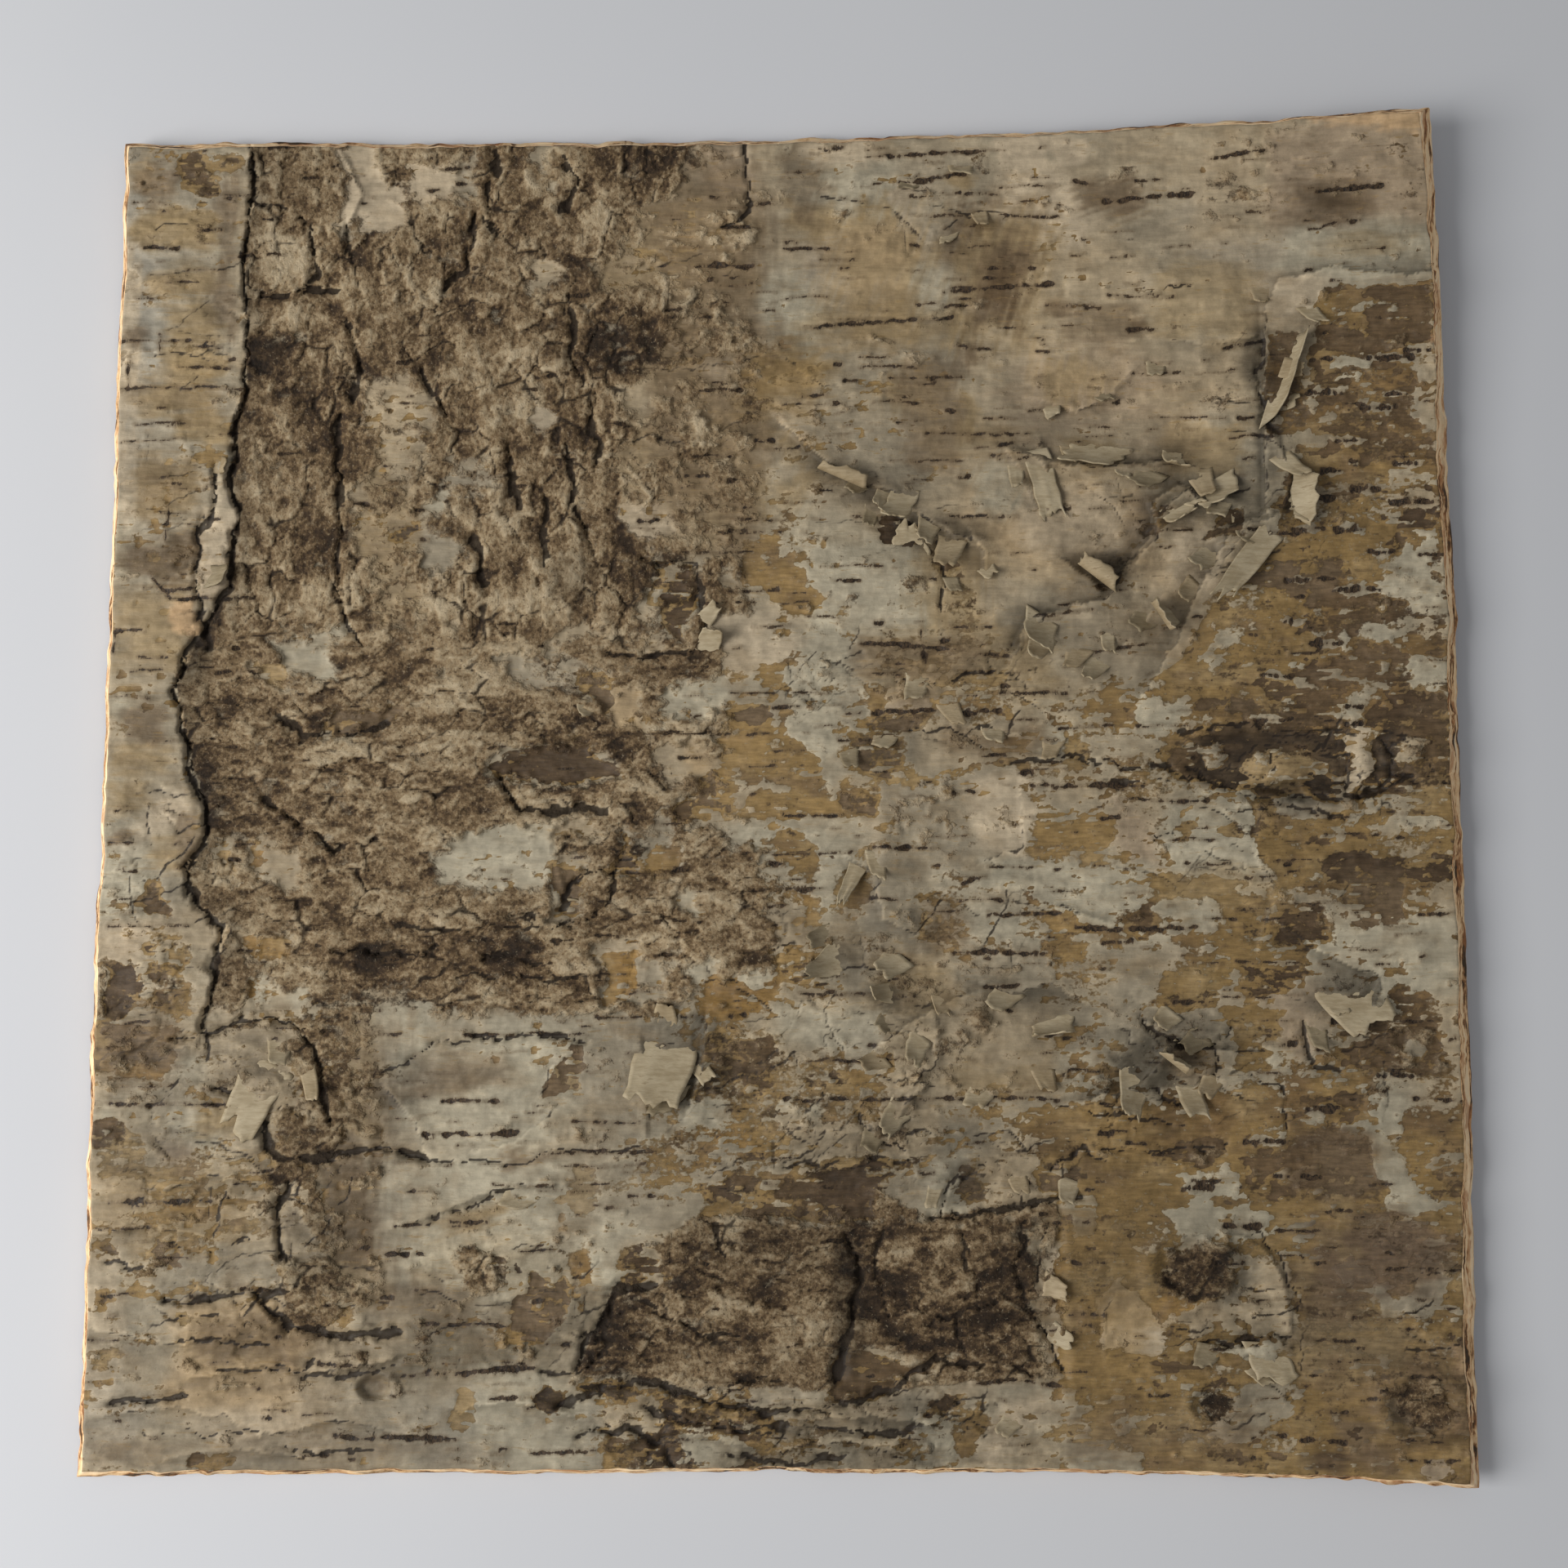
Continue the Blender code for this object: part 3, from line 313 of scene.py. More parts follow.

# Where the outer skin has stayed or come away, or crust grows, and a few dark or grey patches of painted
# shadow: kind, and two corners of a box or an outline.
# Later ones lie over earlier ones.
PATCHES = (
    # Left strip
    ("brown", (-137, 133), (-129, 145)), ("brown", (-130, 140), (-122, 145)),
    ("white", (-143, 123), (-136, 127)), ("white", (-130, 121), (-124, 127)),
    ("white", (-148, 14), (-143, 19)),
    ("bright", (-131, 60), (-124, 60), (-123.5, 52), (-124, 44), (-131, 42)),
    ("bright", (-141, -2), (-134, -1), (-133, -8), (-137, -10), (-141, -7)),
    ("bright", (-134, 8), (-132, 0)),
    ("white", (-148, -14), (-138, -14), (-139, -22), (-141, -30), (-148, -30)),
    ("brown", (-139, -20), (-136, -21), (-133, -28), (-136, -29), (-140, -26)),
    ("bright", (-149, -32), (-138, -32), (-140, -37), (-149, -39)),
    ("dark", (-149, -39), (-145, -40), (-141, -44), (-144, -52), (-149, -52)),
    ("dusky", (-139, -33), (-128, -34), (-130, -50), (-140, -50)),
    ("umber", (-151, -53), (-133, -54), (-131, -60), (-136, -65), (-151, -65)),
    ("gold", (-144, -66), (-132, -66), (-132, -61), (-138, -62)), ("white", (-131, -63.5), (-125, -59)),
    ("grey", (-145, -70), (-126, -66)), ("white", (-149, -76), (-144, -71)),
    ("white", (-132, -78), (-123, -71)),
    ("tan", (-149, -75), (-144, -75), (-138, -79), (-138, -86), (-149, -86)),
    ("pink", (-134, -82), (-128, -78)), ("tan", (-139, -90), (-125, -83)),
    ("gold", (-134, -95.5), (-125, -91)), ("umber", (-149, -105), (-143.5, -101)),
    ("brown", (-150, -73), (-141, -73), (-142, -80), (-150, -81)), ("white", (-134, -72), (-124, -78)),
    ("brown", (-132, -93), (-126, -97)), ("umber", (-124, -102), (-116, -107)),
    ("white", (-146, -88), (-139, -94)), ("white", (-122, -84), (-115, -92)),
    ("umber", (-141, -106), (-136, -110)), ("umber", (-136.5, -105), (-131.5, -99)),
    ("umber", (-149, -113), (-144, -110)), ("tan", (-149, -127), (-142, -121)),
    ("tan", (-122, -98), (-111, -94)), ("dusky", (-128, -148), (-117, -143)),
    # Smooth and pale places in the crust
    ("bright", (-100, 143), (-92, 144), (-90, 137), (-84, 134), (-86, 126), (-98, 125)),
    ("bright", (-86, 141), (-76, 141), (-74, 133), (-80, 131), (-86, 135)),
    ("grey", (-73, 146), (-70, 146), (-69.5, 131), (-73, 131)),
    ("grey", (-56, 146), (-52, 144), (-54, 133), (-57, 136)),
    ("cream", (-97, 91), (-90, 92), (-82, 88), (-79, 78), (-84, 66), (-92, 70), (-95, 80)),
    ("cream", (-98, 68), (-95, 66), (-91, 58), (-94, 52), (-98, 55)),
    ("olive", (-95, 76), (-90, 66), (-84, 66), (-80, 60), (-79, 40), (-90, 35), (-95, 50)),
    ("grey", (-75, 73), (-67, 73), (-63, 69), (-64, 66), (-69, 68), (-75, 65)),
    ("white", (-79, 61), (-73, 66)), ("grey", (-78, 55), (-72, 55), (-71, 48), (-77, 44)),
    ("cream", (-79, 35), (-72, 40)), ("cream", (-60, 119), (-50, 120), (-46, 117), (-50, 112), (-58, 113)),
    ("olive", (-36, 126), (-8, 126), (-4, 100), (-8, 52), (-24, 52), (-38, 62), (-34, 90), (-26, 108)),
    ("olive", (-40, 121), (-10, 121), (-8, 113), (-24, 110), (-40, 115)),
    ("olive", (-39, 114), (-30, 115), (-31, 111), (-39, 111)),
    ("olive", (-30, 132), (-20, 133), (-8, 134), (-8, 122), (-30, 122), (-38, 126)),
    ("pink", (-19, 146), (-9, 146), (-9, 134), (-17, 135)),
    ("olive", (-24, 104), (-10, 103), (-13, 96), (-22, 94)), ("bright", (-59, 80), (-53, 85)),
    ("cream", (-36, 90), (-31, 90), (-31, 83), (-35, 84)), ("bright", (-18, 91), (-11, 95)),
    ("bright", (-36, 60), (-34, 62), (-27, 61), (-25, 57), (-31, 52), (-34, 57)),
    ("cream", (-52, 32), (-44, 37), (-34, 34), (-27, 33), (-28, 30), (-38, 32)),
    ("cream", (-33, 37), (-27, 40)),
    ("white", (-112, 33), (-97, 34), (-95, 29), (-100, 28), (-98, 23), (-109, 23), (-111, 28)),
    ("tan", (-118, 27), (-111, 28), (-110, 21), (-115, 20)),
    ("grey", (-66, 27), (-50, 29), (-42, 27), (-44, 21), (-60, 21)),
    ("umber", (-44, 22), (-37, 26), (-38, 18), (-42, 15)),
    ("dark", (-64, 4), (-52, 9), (-43, 12), (-42, 7), (-38, 5), (-38, 2), (-62, 1)),
    ("warm", (-38, 23), (-31, 22), (-29, 12), (-39, 10)),
    ("dark", (-31, 50), (-20, 49), (-18, 40), (-23, 29), (-26, 41), (-31, 41)),
    ("umber", (-104, 16.5), (-83, 17), (-86, 12), (-104, 11)),
    ("gold", (-126, -13), (-122, -12), (-121, -22), (-124, -22)),
    ("gold", (-119, -12), (-113, -13), (-115, -22), (-118, -22)),
    ("cream", (-113, -16), (-106, -15), (-109, -23), (-113, -24)),
    ("gold", (-118, -33), (-107, -32), (-107, -39), (-117, -39)), ("gold", (-119, -49), (-112, -41)),
    ("white", (-116, -48), (-113, -40)), ("white", (-107, -49), (-103, -44)),
    ("white", (-76, -14), (-60, -10), (-50, -9.5), (-50, -20), (-48, -22), (-60, -24), (-70, -24), (-78,
     -20)),
    ("cream", (-50, -14), (-40, -8)), ("umber", (-50, -19), (-43, -19), (-42, -30), (-49, -30)),
    # Lower left
    ("crust", (-126, -52), (-100, -50), (-91, -52), (-94, -62), (-90, -72), (-94, -80), (-96, -92), (-91,
     -104), (-94, -118), (-104, -118), (-110, -108), (-112, -92), (-110, -80), (-106, -70), (-108, -56)),
    ("cream", (-126, -58), (-124, -53), (-108, -53), (-107, -57), (-114, -57)),
    ("cream", (-120, -60), (-109, -58.5), (-107, -64), (-112, -68), (-115, -70), (-122, -67.5), (-123.5,
     -65)),
    ("olive", (-96, -52), (-86, -51), (-85, -60), (-88, -70), (-86, -79), (-95, -78)),
    ("white", (-90, -50), (-78, -49), (-78, -60), (-85, -63)), ("white", (-85, -76), (-79, -70)),
    ("drab", (-100, -83), (-88, -82), (-86, -92), (-89, -100), (-99, -98)),
    ("olive", (-99, -112), (-86, -100)), ("cream", (-111, -104), (-102, -88)),
    ("bright", (-97, -83), (-91, -79)), ("white", (-87, -106), (-86, -84), (-78, -82), (-78, -106)),
    ("cream", (-101, -128), (-82, -120)),
    ("warm", (-130, -113), (-112, -112), (-104, -120), (-106, -134), (-130, -133)),
    ("white", (-71, -56), (-50, -56), (-43, -56.5), (-49, -59), (-49.5, -63), (-52.5, -66), (-53, -69),
     (-46, -71), (-43, -73), (-50, -76), (-56, -80), (-68, -80), (-78, -78), (-78, -70), (-70, -68), (-60,
     -66), (-62, -60)),
    ("umber", (-49, -59), (-43, -58), (-43, -69), (-53, -69), (-52.5, -66), (-49.5, -63)),
    ("grey", (-43, -57), (-30, -56), (-30, -77), (-43, -77)),
    ("white", (-76, -82), (-50, -83), (-49, -93), (-44, -98), (-48, -106), (-76, -108)),
    ("tan", (-48, -84), (-41, -84), (-42, -94), (-49, -93.5)), ("grey", (-49, -98), (-43, -94)),
    ("white", (-43, -99), (-31, -95)), ("gold", (-45, -110), (-40.5, -100)),
    ("white", (-41, -110), (-35.5, -100)), ("dark", (-35, -110), (-26, -102)),
    ("drab", (-46, -120), (-39, -110)),
    ("drab", (-82, -127), (-78, -111), (-67, -110), (-66, -118), (-60, -119), (-46, -119), (-48, -127)),
    ("umber", (-56, -105), (-54, -105), (-50, -109), (-48, -107), (-46, -110), (-46, -120), (-50, -121),
     (-60, -121), (-57, -115), (-58, -111)),
    ("white", (-66, -117), (-59, -109)), ("tan", (-70, -140), (-65, -130)),
    ("dusky", (-38, -128), (-38, -148), (0, -148), (0, -132)),
    ("white", (-64, -128), (-50, -127), (-44, -134), (-42, -146), (-64, -145)),
    ("cream", (-38, -139), (-24, -131)), ("white", (-22, -146), (-8, -140)),
    # Skin at the top
    ("white", (0, 128), (24, 128), (24, 142), (0, 142)),
    ("bright", (50, 142), (50, 128), (54, 127), (55, 123.5), (66, 124), (70, 128), (67, 136), (66, 141)),
    ("white", (30, 105), (37, 118)), ("white", (-2, 96), (-4, 108), (2, 112), (7, 108), (6, 97)),
    ("grey", (20, 90), (40, 90), (38, 103), (22, 102)),
    ("cream", (95, 125), (112, 127), (112, 149), (97, 147)),
    ("pink", (112, 128), (146, 128), (147, 151), (128, 150), (113, 148)),
    ("white", (114, 118), (146, 117), (146, 127), (118, 127)),
    ("bright", (109, 113), (120, 117), (122, 116), (121, 112), (118, 107), (116, 104), (111, 103), (109,
     107)),
    ("dusky", (119, 78), (149, 78), (149, 115), (122, 115)), ("clay", (121, 103), (131, 115)),
    ("clay", (130, 107), (140, 113)), ("clay", (128, 101), (136, 106)), ("brown", (131, 110), (141, 114.5)),
    ("brown", (133, 100), (147, 110)),
    ("brown", (119, 80), (128, 78), (145, 79), (143, 96), (135, 101), (121, 99)),
    ("white", (124, 93), (136, 94), (135, 96.5), (126, 96)), ("grey", (131, 84), (137, 85.5)),
    ("grey", (119, 81), (126, 85)), ("grey", (143, 78), (146, 97)), ("cream", (146, 78), (149, 116)),
    ("umber", (109, 79), (118, 80), (118, 101), (110, 101)),
    # Skin at the right
    ("grey", (3, 80), (12, 74), (24, 67), (30, 68), (30, 80)),
    ("white", (6, 36), (9, 52), (20, 56), (30, 52), (34, 44), (30, 36), (18, 34)),
    ("ochre", (-1, 51), (1, 54), (3, 50), (6, 48), (7, 42), (4, 39), (0, 39), (-3, 44)),
    ("tan", (10, 36), (14, 40)),
    ("mixed", (32, 54), (37, 53), (42, 47), (43, 36), (35, 36), (36, 45), (30, 52)),
    # Painted shadow: the dark opening under the lifted flaps
    ("dark", (24.5, 63), (28, 57), (29, 54), (24, 55), (23, 57)),
    ("mixed", (20, 34), (40, 37), (50, 29), (48, 15), (20, 15)),
    ("pink", (26, 24), (33, 24), (33.5, 16), (25, 16)),
    # Painted shade of a fold, laid as a brown patch
    ("umber", (20, 15), (33, 14.5), (29, 10), (22, 1), (18, 3), (17, 9)),
    ("umber", (45, 4), (47, 10), (53, 10), (53, 5)),
    ("cream", (33, 13), (42, 14), (44, 9), (42, 6), (31, 6)),
    ("grey", (34, 0), (48, 3), (60, 0), (58, -2), (36, -2)),
    ("ochre", (60, 6), (62, 11), (68, 10), (67, 6)), ("ochre", (71, 14), (72, 19), (77, 18), (77, 14)),
    ("ochre", (51, 1), (56, 4)), ("white", (56, 6), (58, 11), (64, 11), (60, 6)),
    ("white", (0, 12), (3, 20), (12, 19), (12, 9), (8, 3), (5, 8)),
    ("ochre", (-1, 13), (0, 0), (5, 0), (7, 5), (3, 10)),
    ("white", (2, 22), (6, 29), (14, 29), (17, 25), (8, 21)),
    ("ochre", (-3, 20), (3, 20), (3, 30), (-4, 29)), ("white", (5, 31), (6, 37), (14, 36), (15, 31)),
    ("ochre", (12, 29), (16, 34)), ("pink", (76, 52), (78, 62), (82, 63), (82, 54)),
    # Painted shadow: the first dark patch below lies inside and beside a curl
    ("dark", (70, 45), (77, 48), (76, 46), (72, 43)), ("umber", (80, 53), (82, 62), (87, 62), (86, 56)),
    ("brown", (96, 55), (97, 62), (104, 62), (104, 57)),
    ("dusky", (100, 21), (110, 44), (112, 60), (116, 77), (149, 78), (149, 20)),
    ("clay", (118, 75), (130, 77), (142, 72), (143, 68), (136, 66), (135, 60), (137, 54), (140, 50), (136,
     47), (126, 48), (119, 52), (116, 58), (117, 66)),
    ("brown", (128, 72), (145, 72), (145, 80), (126, 79)), ("dark", (138, 56), (145, 62)),
    ("cream", (136, 62), (147, 64)),
    ("white", (139, 54), (147, 56), (147, 38), (140, 39), (134, 42), (134, 47), (139, 50)),
    ("umber", (112, 40), (122, 48)), ("brown", (120, 32), (135, 32), (136, 40), (121, 41)),
    ("brown", (130, 24), (136, 33)), ("white", (129, 32), (137, 35)), ("white", (125, 28), (128, 35)),
    ("clay", (108, 27), (120, 33)), ("clay", (85, 20), (92, 34), (100, 40), (112, 40), (112, 20)),
    ("clay", (94, 38), (101, 47), (109, 57), (117, 58), (117, 38)), ("umber", (103, 42), (111, 50)),
    ("clay", (98, 35), (112, 41)), ("cream", (95.5, 33), (99, 36)),
    ("white", (93, 27), (97, 28), (104, 33), (100, 33.5), (96, 31)), ("white", (112, 24), (117, 27)),
    ("white", (139, 21), (148, 28)), ("clay", (84, 22), (92, 33), (98, 37), (92, 26)),
    ("white", (78, 12), (88, 20)), ("brown", (90, 14), (104, 20)), ("umber", (98, 13), (106, 18)),
    ("brown", (105, 10), (125, 21)), ("dark", (107, 13), (112, 18)), ("white", (124, 11), (128.5, 19)),
    ("dark", (130, 10), (147, 20)), ("clay", (84, 0), (91, 11)),
    # Centre
    ("umber", (-19, 3), (-12, 3), (-11, -9), (-17, -10)), ("ochre", (-12, 10), (0, 12), (0, 0), (-13, 0)),
    ("ochre", (-16, 26), (0, 30), (0, 22), (-5, 24), (-14, 22)), ("umber", (-12, 12), (-4, 18)),
    ("ochre", (-9, 56), (-2, 56), (-1, 45), (-8, 45)), ("white", (-15, 43), (-9, 49)),
    ("bright", (-16, 37.5), (-6, 38), (-7, 32), (0, 33), (0, 28), (-7, 26), (-13, 25), (-13, 32)),
    ("white", (-28, 23), (-15, 24), (-16, 14), (-28, 12)),
    ("cream", (-30, 9), (-20, 10), (-15, 6), (-16, 1), (-30, 1)),
    ("warm", (-19, 9), (-15, 6), (-16, 2), (-20, 3)), ("ochre", (0, -8), (0, 0), (7, 0), (11, -6), (8, -8)),
    ("ochre", (0, -22), (0, -8), (5, -13), (7, -20), (6, -23)),
    ("white", (2, -9), (12, -9), (12, -15), (9, -17), (6, -14)),
    ("white", (7, -15), (14, -15), (13, -22), (10, -30), (8, -28), (6, -23)),
    ("umber", (10, -1), (19, -1), (18, -8), (11, -7)),
    ("ochre", (12, -17), (15, -16), (20, -27), (18, -30), (14, -30), (12, -24)),
    ("gold", (3, -26), (8, -26), (8, -34), (4, -34)), ("dusky", (0, -35), (12, -36), (12, -44), (0, -44)),
    ("ochre", (0, -45), (12, -50)),
    ("grey", (20, 0), (43, 0), (43, -18), (34, -20), (30, -28), (32, -36), (22, -37)),
    ("bright", (42, 0), (52, 0), (53, -3), (55, -5), (54, -10), (53, -14), (46, -16), (43, -14)),
    ("ochre", (53, -1), (56, -4), (62, -8), (66, -14), (60, -18), (53, -14), (55, -9)),
    ("ochre", (66, -8), (73, -8), (74, -12), (70, -18), (66, -20), (62, -14)),
    ("white", (43, -16), (60, -19), (60, -24), (43, -23)),
    ("pink", (72, -4), (82, -14), (80, -20), (74, -14)),
    ("white", (60, -20), (79, -20), (79, -26), (74, -31), (66, -31), (60, -26)),
    ("brown", (74, -30), (80, -26), (80, -34), (76, -34)),
    ("white", (42, -29), (54, -30), (54, -34), (42, -34)),
    ("ochre", (54, -30), (64, -31), (64, -37), (58, -39), (54, -35)), ("ochre", (42, -35), (52, -37)),
    ("ochre", (66, -34), (80, -39)), ("mixed", (30, -27), (40, -25), (40, -36), (31, -35)),
    ("cream", (28, -38), (38, -38), (44, -46), (58, -50), (60, -66), (36, -68), (26, -76), (20, -70), (22,
     -52)),
    ("grey", (40, -40), (56, -40), (56, -46), (46, -49), (42, -46)),
    ("grey", (14, -38), (24, -38), (20, -46), (13, -46)),
    ("white", (0, -51), (18, -51), (20, -55), (8, -58), (0, -56)),
    ("mixed", (0, -59), (24, -59), (24, -69), (0, -69)), ("white", (0, -71), (8, -71), (8, -78), (0, -78)),
    ("gold", (12, -71), (18, -76)), ("gold", (-39, -34), (-31, -34), (-30, -40), (-33, -48), (-39, -50)),
    ("gold", (-20, -41), (0, -42), (0, -52), (-18, -52)), ("white", (-23, -43), (-16, -37)),
    ("white", (-9, -46), (-2, -39)), ("dark", (-34.5, -11), (-31, -19.5), (-38, -19.5)),
    ("grey", (-31, -3), (-23, -3), (-24, -13), (-30, -13)),
    ("grey", (-32, -37), (-24, -36), (-24, -50), (-32, -50)), ("brown", (-23, -10), (-18, -3)),
    ("ochre", (-30, -20), (-20, -14)), ("ochre", (-10, -8), (0, -1)), ("white", (-12, -14), (-2, -10)),
    ("white", (-20, -30), (-17, -22)), ("dusky", (-17, -56), (0, -56), (0, -70), (-17, -70)),
    ("white", (-20, -77), (-10, -71)), ("gold", (-22, -80), (-8, -76)),
    ("dusky", (-20, -84), (8, -84), (8, -94), (-20, -94)),
    # Right side below the eye
    ("white", (84, -5), (105, -4), (105, -16), (92, -22), (84, -16)), ("clay", (85, -15), (90, -4)),
    ("clay", (93, -12), (101, -7)),
    ("clay", (103, -3), (149, -3), (149, -20), (120, -19), (107, -22), (107, -16), (105, -12)),
    ("dark", (120, -23), (149, -15)), ("clay", (130, -16), (147, -10)), ("white", (135, -11), (147, -8)),
    ("umber", (125, -32), (138, -22.5)), ("white", (119, -31), (124, -28)), ("clay", (93, -38), (108, -27)),
    ("clay", (80, -27), (96, -20)),
    ("dark", (108, -26), (120, -26), (122, -33), (117, -37), (113, -38), (107, -33)),
    ("white", (78, -31), (92, -27)), ("white", (92, -22), (100, -16)),
    ("white", (112, -50), (114, -36), (124, -31), (147, -31), (147, -44), (130, -50)),
    ("grey", (116, -47), (128, -38)),
    ("dark", (98.5, -39.5), (108, -37.5), (114.5, -39), (116, -42), (112, -46), (108, -48), (104, -47),
     (101, -42)),
    ("pink", (110, -47), (116, -46), (117, -52), (116, -57), (114, -60), (112, -56), (110, -52)),
    ("brown", (131, -50), (142, -44)),
    ("brown", (120, -55), (130, -50), (145, -50), (145, -66), (124, -66)), ("grey", (133, -61), (140, -58)),
    ("clay", (96, -62), (110, -50)), ("white", (104, -61), (110, -57)), ("clay", (84, -50), (97, -38)),
    # Painted shadow: the first grey patch below stands for shadow beside the flaps
    ("grey", (78, -58), (97, -50)), ("clay", (98, -69), (106, -64)), ("brown", (113, -78), (126, -68)),
    ("white", (127, -76), (136, -69)),
    # Lower part
    ("cream", (0, -74), (30, -74), (28, -82), (0, -84)), ("dark", (8, -84), (20, -84), (20, -94), (8, -94)),
    ("brown", (20, -83), (31, -90)), ("white", (31, -82), (37, -82), (36, -93.5), (31, -93)),
    # Painted shadow of a fold
    ("umber", (37, -84), (41, -84), (42, -90), (36, -92)),
    ("cream", (41, -84), (54, -85), (54, -90), (42, -90)),
    ("umber", (52, -83), (64, -84), (64, -90), (56, -90)), ("white", (60, -80), (66, -84)),
    ("clay", (61, -149), (57, -141), (67, -134), (59, -124), (64, -112), (58, -101), (65, -91), (80, -88),
     (100, -76), (149, -76), (149, -149)),
    ("white", (62, -92), (68, -91), (70, -96), (66, -99)), ("grey", (61, -103), (67, -105)),
    ("bright", (72, -107.5), (76, -112), (80, -114), (80, -124), (69, -123), (69, -112)),
    ("drab", (50, -97), (59, -97), (57, -110), (58, -114), (60, -128), (57, -122), (51, -114), (53, -106)),
    ("bright", (57.5, -102), (59.5, -103), (59, -113), (61, -127), (58.5, -122), (56.5, -112)),
    ("gold", (58, -104), (61, -106), (62, -111), (59, -114), (58, -110)),
    ("white", (45, -129), (60, -130.5)), ("ochre", (38, -136), (46, -136), (43, -144), (34, -146)),
    ("bright", (57, -133), (52, -134), (43, -143), (46, -145), (54, -138)),
    ("white", (28, -137), (36, -138), (36, -145), (28, -146)),
    ("cream", (5, -133), (22, -132), (25, -136), (8, -137)),
    ("cream", (14, -140), (20, -141), (21, -147), (14, -147)),
    ("dark", (30, -132), (40, -132), (38, -137), (31, -136)), ("bright", (38.5, -131), (41.5, -128)),
    ("brown", (11, -131), (20, -132), (30, -127), (36, -122), (30, -124), (14, -122), (12, -126)),
    ("brown", (83, -80), (86, -77.5), (95, -78), (97, -80.5), (94, -82.5), (86, -82)),
    ("white", (86, -83), (97, -82), (100, -86), (100, -92), (104, -94), (105, -99), (92, -99), (86, -97),
     (82, -93), (88, -89), (87, -86)),
    ("umber", (91, -91.8), (97.5, -89)),
    ("brown", (99.5, -86), (103, -82), (112, -79), (120, -79), (120, -90.5), (103, -90.5)),
    ("umber", (118, -79), (126, -79), (128.5, -83), (127, -88), (120, -90.5)),
    ("white", (106, -86), (115, -88)), ("white", (116, -80), (119, -84)),
    ("clay", (104, -91), (118, -91), (118, -96), (106, -97)),
    ("white", (127, -76), (131, -78), (134, -86), (140, -92), (138, -95), (131, -92), (128, -84)),
    ("clay", (116, -97), (125, -99), (125, -103), (115, -104)),
    ("cream", (98, -103), (107, -104), (110, -110), (112, -120), (102, -119), (97, -112)),
    ("grey", (98, -97), (113, -101)), ("grey", (119, -109), (128, -105)),
    ("grey", (127, -117), (130, -108)),
    ("grey", (130, -114), (137, -117.5), (141, -112), (145, -108), (143, -105), (138, -106), (139, -111)),
    ("white", (92, -122), (105, -121), (107, -127), (98, -126)),
    ("cream", (80, -114), (88, -120), (92, -116), (98, -119), (96, -111), (88, -112)),
    ("gold", (78, -110), (82, -109), (86, -113), (83, -115), (78, -113)), ("brown", (78, -127), (86, -124)),
    ("grey", (97, -128), (108, -129), (111, -134), (107, -138), (99, -142), (92, -141), (95, -133)),
    ("brown", (88, -137), (95, -131)),
    ("clay", (108, -133), (116, -134), (124, -140), (121, -144), (108, -147), (94, -147), (103, -142)),
    ("pink", (137, -149.5), (146, -146)), ("grey", (132.5, -130), (137, -132), (137, -138), (133, -136)),
    ("white", (60, -149), (75, -143)),
    # Eye and knots
    ("brown", (87, 9), (100, 13), (118, 13), (133, 12), (146, 10), (148, 4), (140, -2), (124, -4), (106,
     -3), (94, -1), (86, 3)),
    ("black", (91, 3), (94, 9), (99, 11), (103, 9), (101, 5), (104, 0), (97, -1.5)),
    ("grey", (93, 8), (97, 8), (97.5, 4.5), (94, 4)),
    ("tan", (100.5, 4), (103, 7.5), (108, 8), (112, 7), (116, 5.5), (116, 2), (112, -0.8), (107, -1),
     (103, 1)),
    ("black", (115.5, 8.5), (124, 9), (125, 2), (124, -3), (117, -3.5), (114, -1), (116.5, 3)),
    ("bright", (124, 8), (126, 10.5), (129, 9.5), (131, 5), (130, 1), (126, -2.5), (124.5, -1.5), (126, 2)),
    ("black", (130, 9.5), (134, 10.5), (137.5, 6), (136, 1), (131, -1.5), (130, 1), (131.5, 5)),
    ("cream", (137.5, 3.5), (138, 8.5), (141, 9.5), (141, 5)),
    ("black", (106, 8.5), (105, 11), (112, 12.5), (119, 10.5)),
    ("grey", (107, -4.5), (114, -4), (124, -5), (124, -7), (110, -7)),
    ("scab", (80.5, -105), (83, -100.5), (88, -99), (94, -101), (95, -106), (92, -110), (85, -110), (81,
     -108)),
    ("grey", (94, -101), (97, -102), (98.5, -107), (96, -111), (93, -111), (95.5, -107)),
    ("scab", (132.5, -130), (142, -129), (144, -135), (141, -140), (135, -139)),
    ("scab", (88, -137), (95, -131)), ("scab", (-72, -110), (-61, -101)),
    ("black", (-64, -109), (-62, -102)), ("black", (-59.5, -108), (-58, -103)),
    ("black", (-86, 55.5), (-84, 57.5), (-80, 59), (-79, 57), (-82, 55)),
    ("black", (-53, -135), (-46, -130)), ("black", (-45, -131.5), (-30, -129)),
    ("black", (-90, -114), (-85, -110)),
)
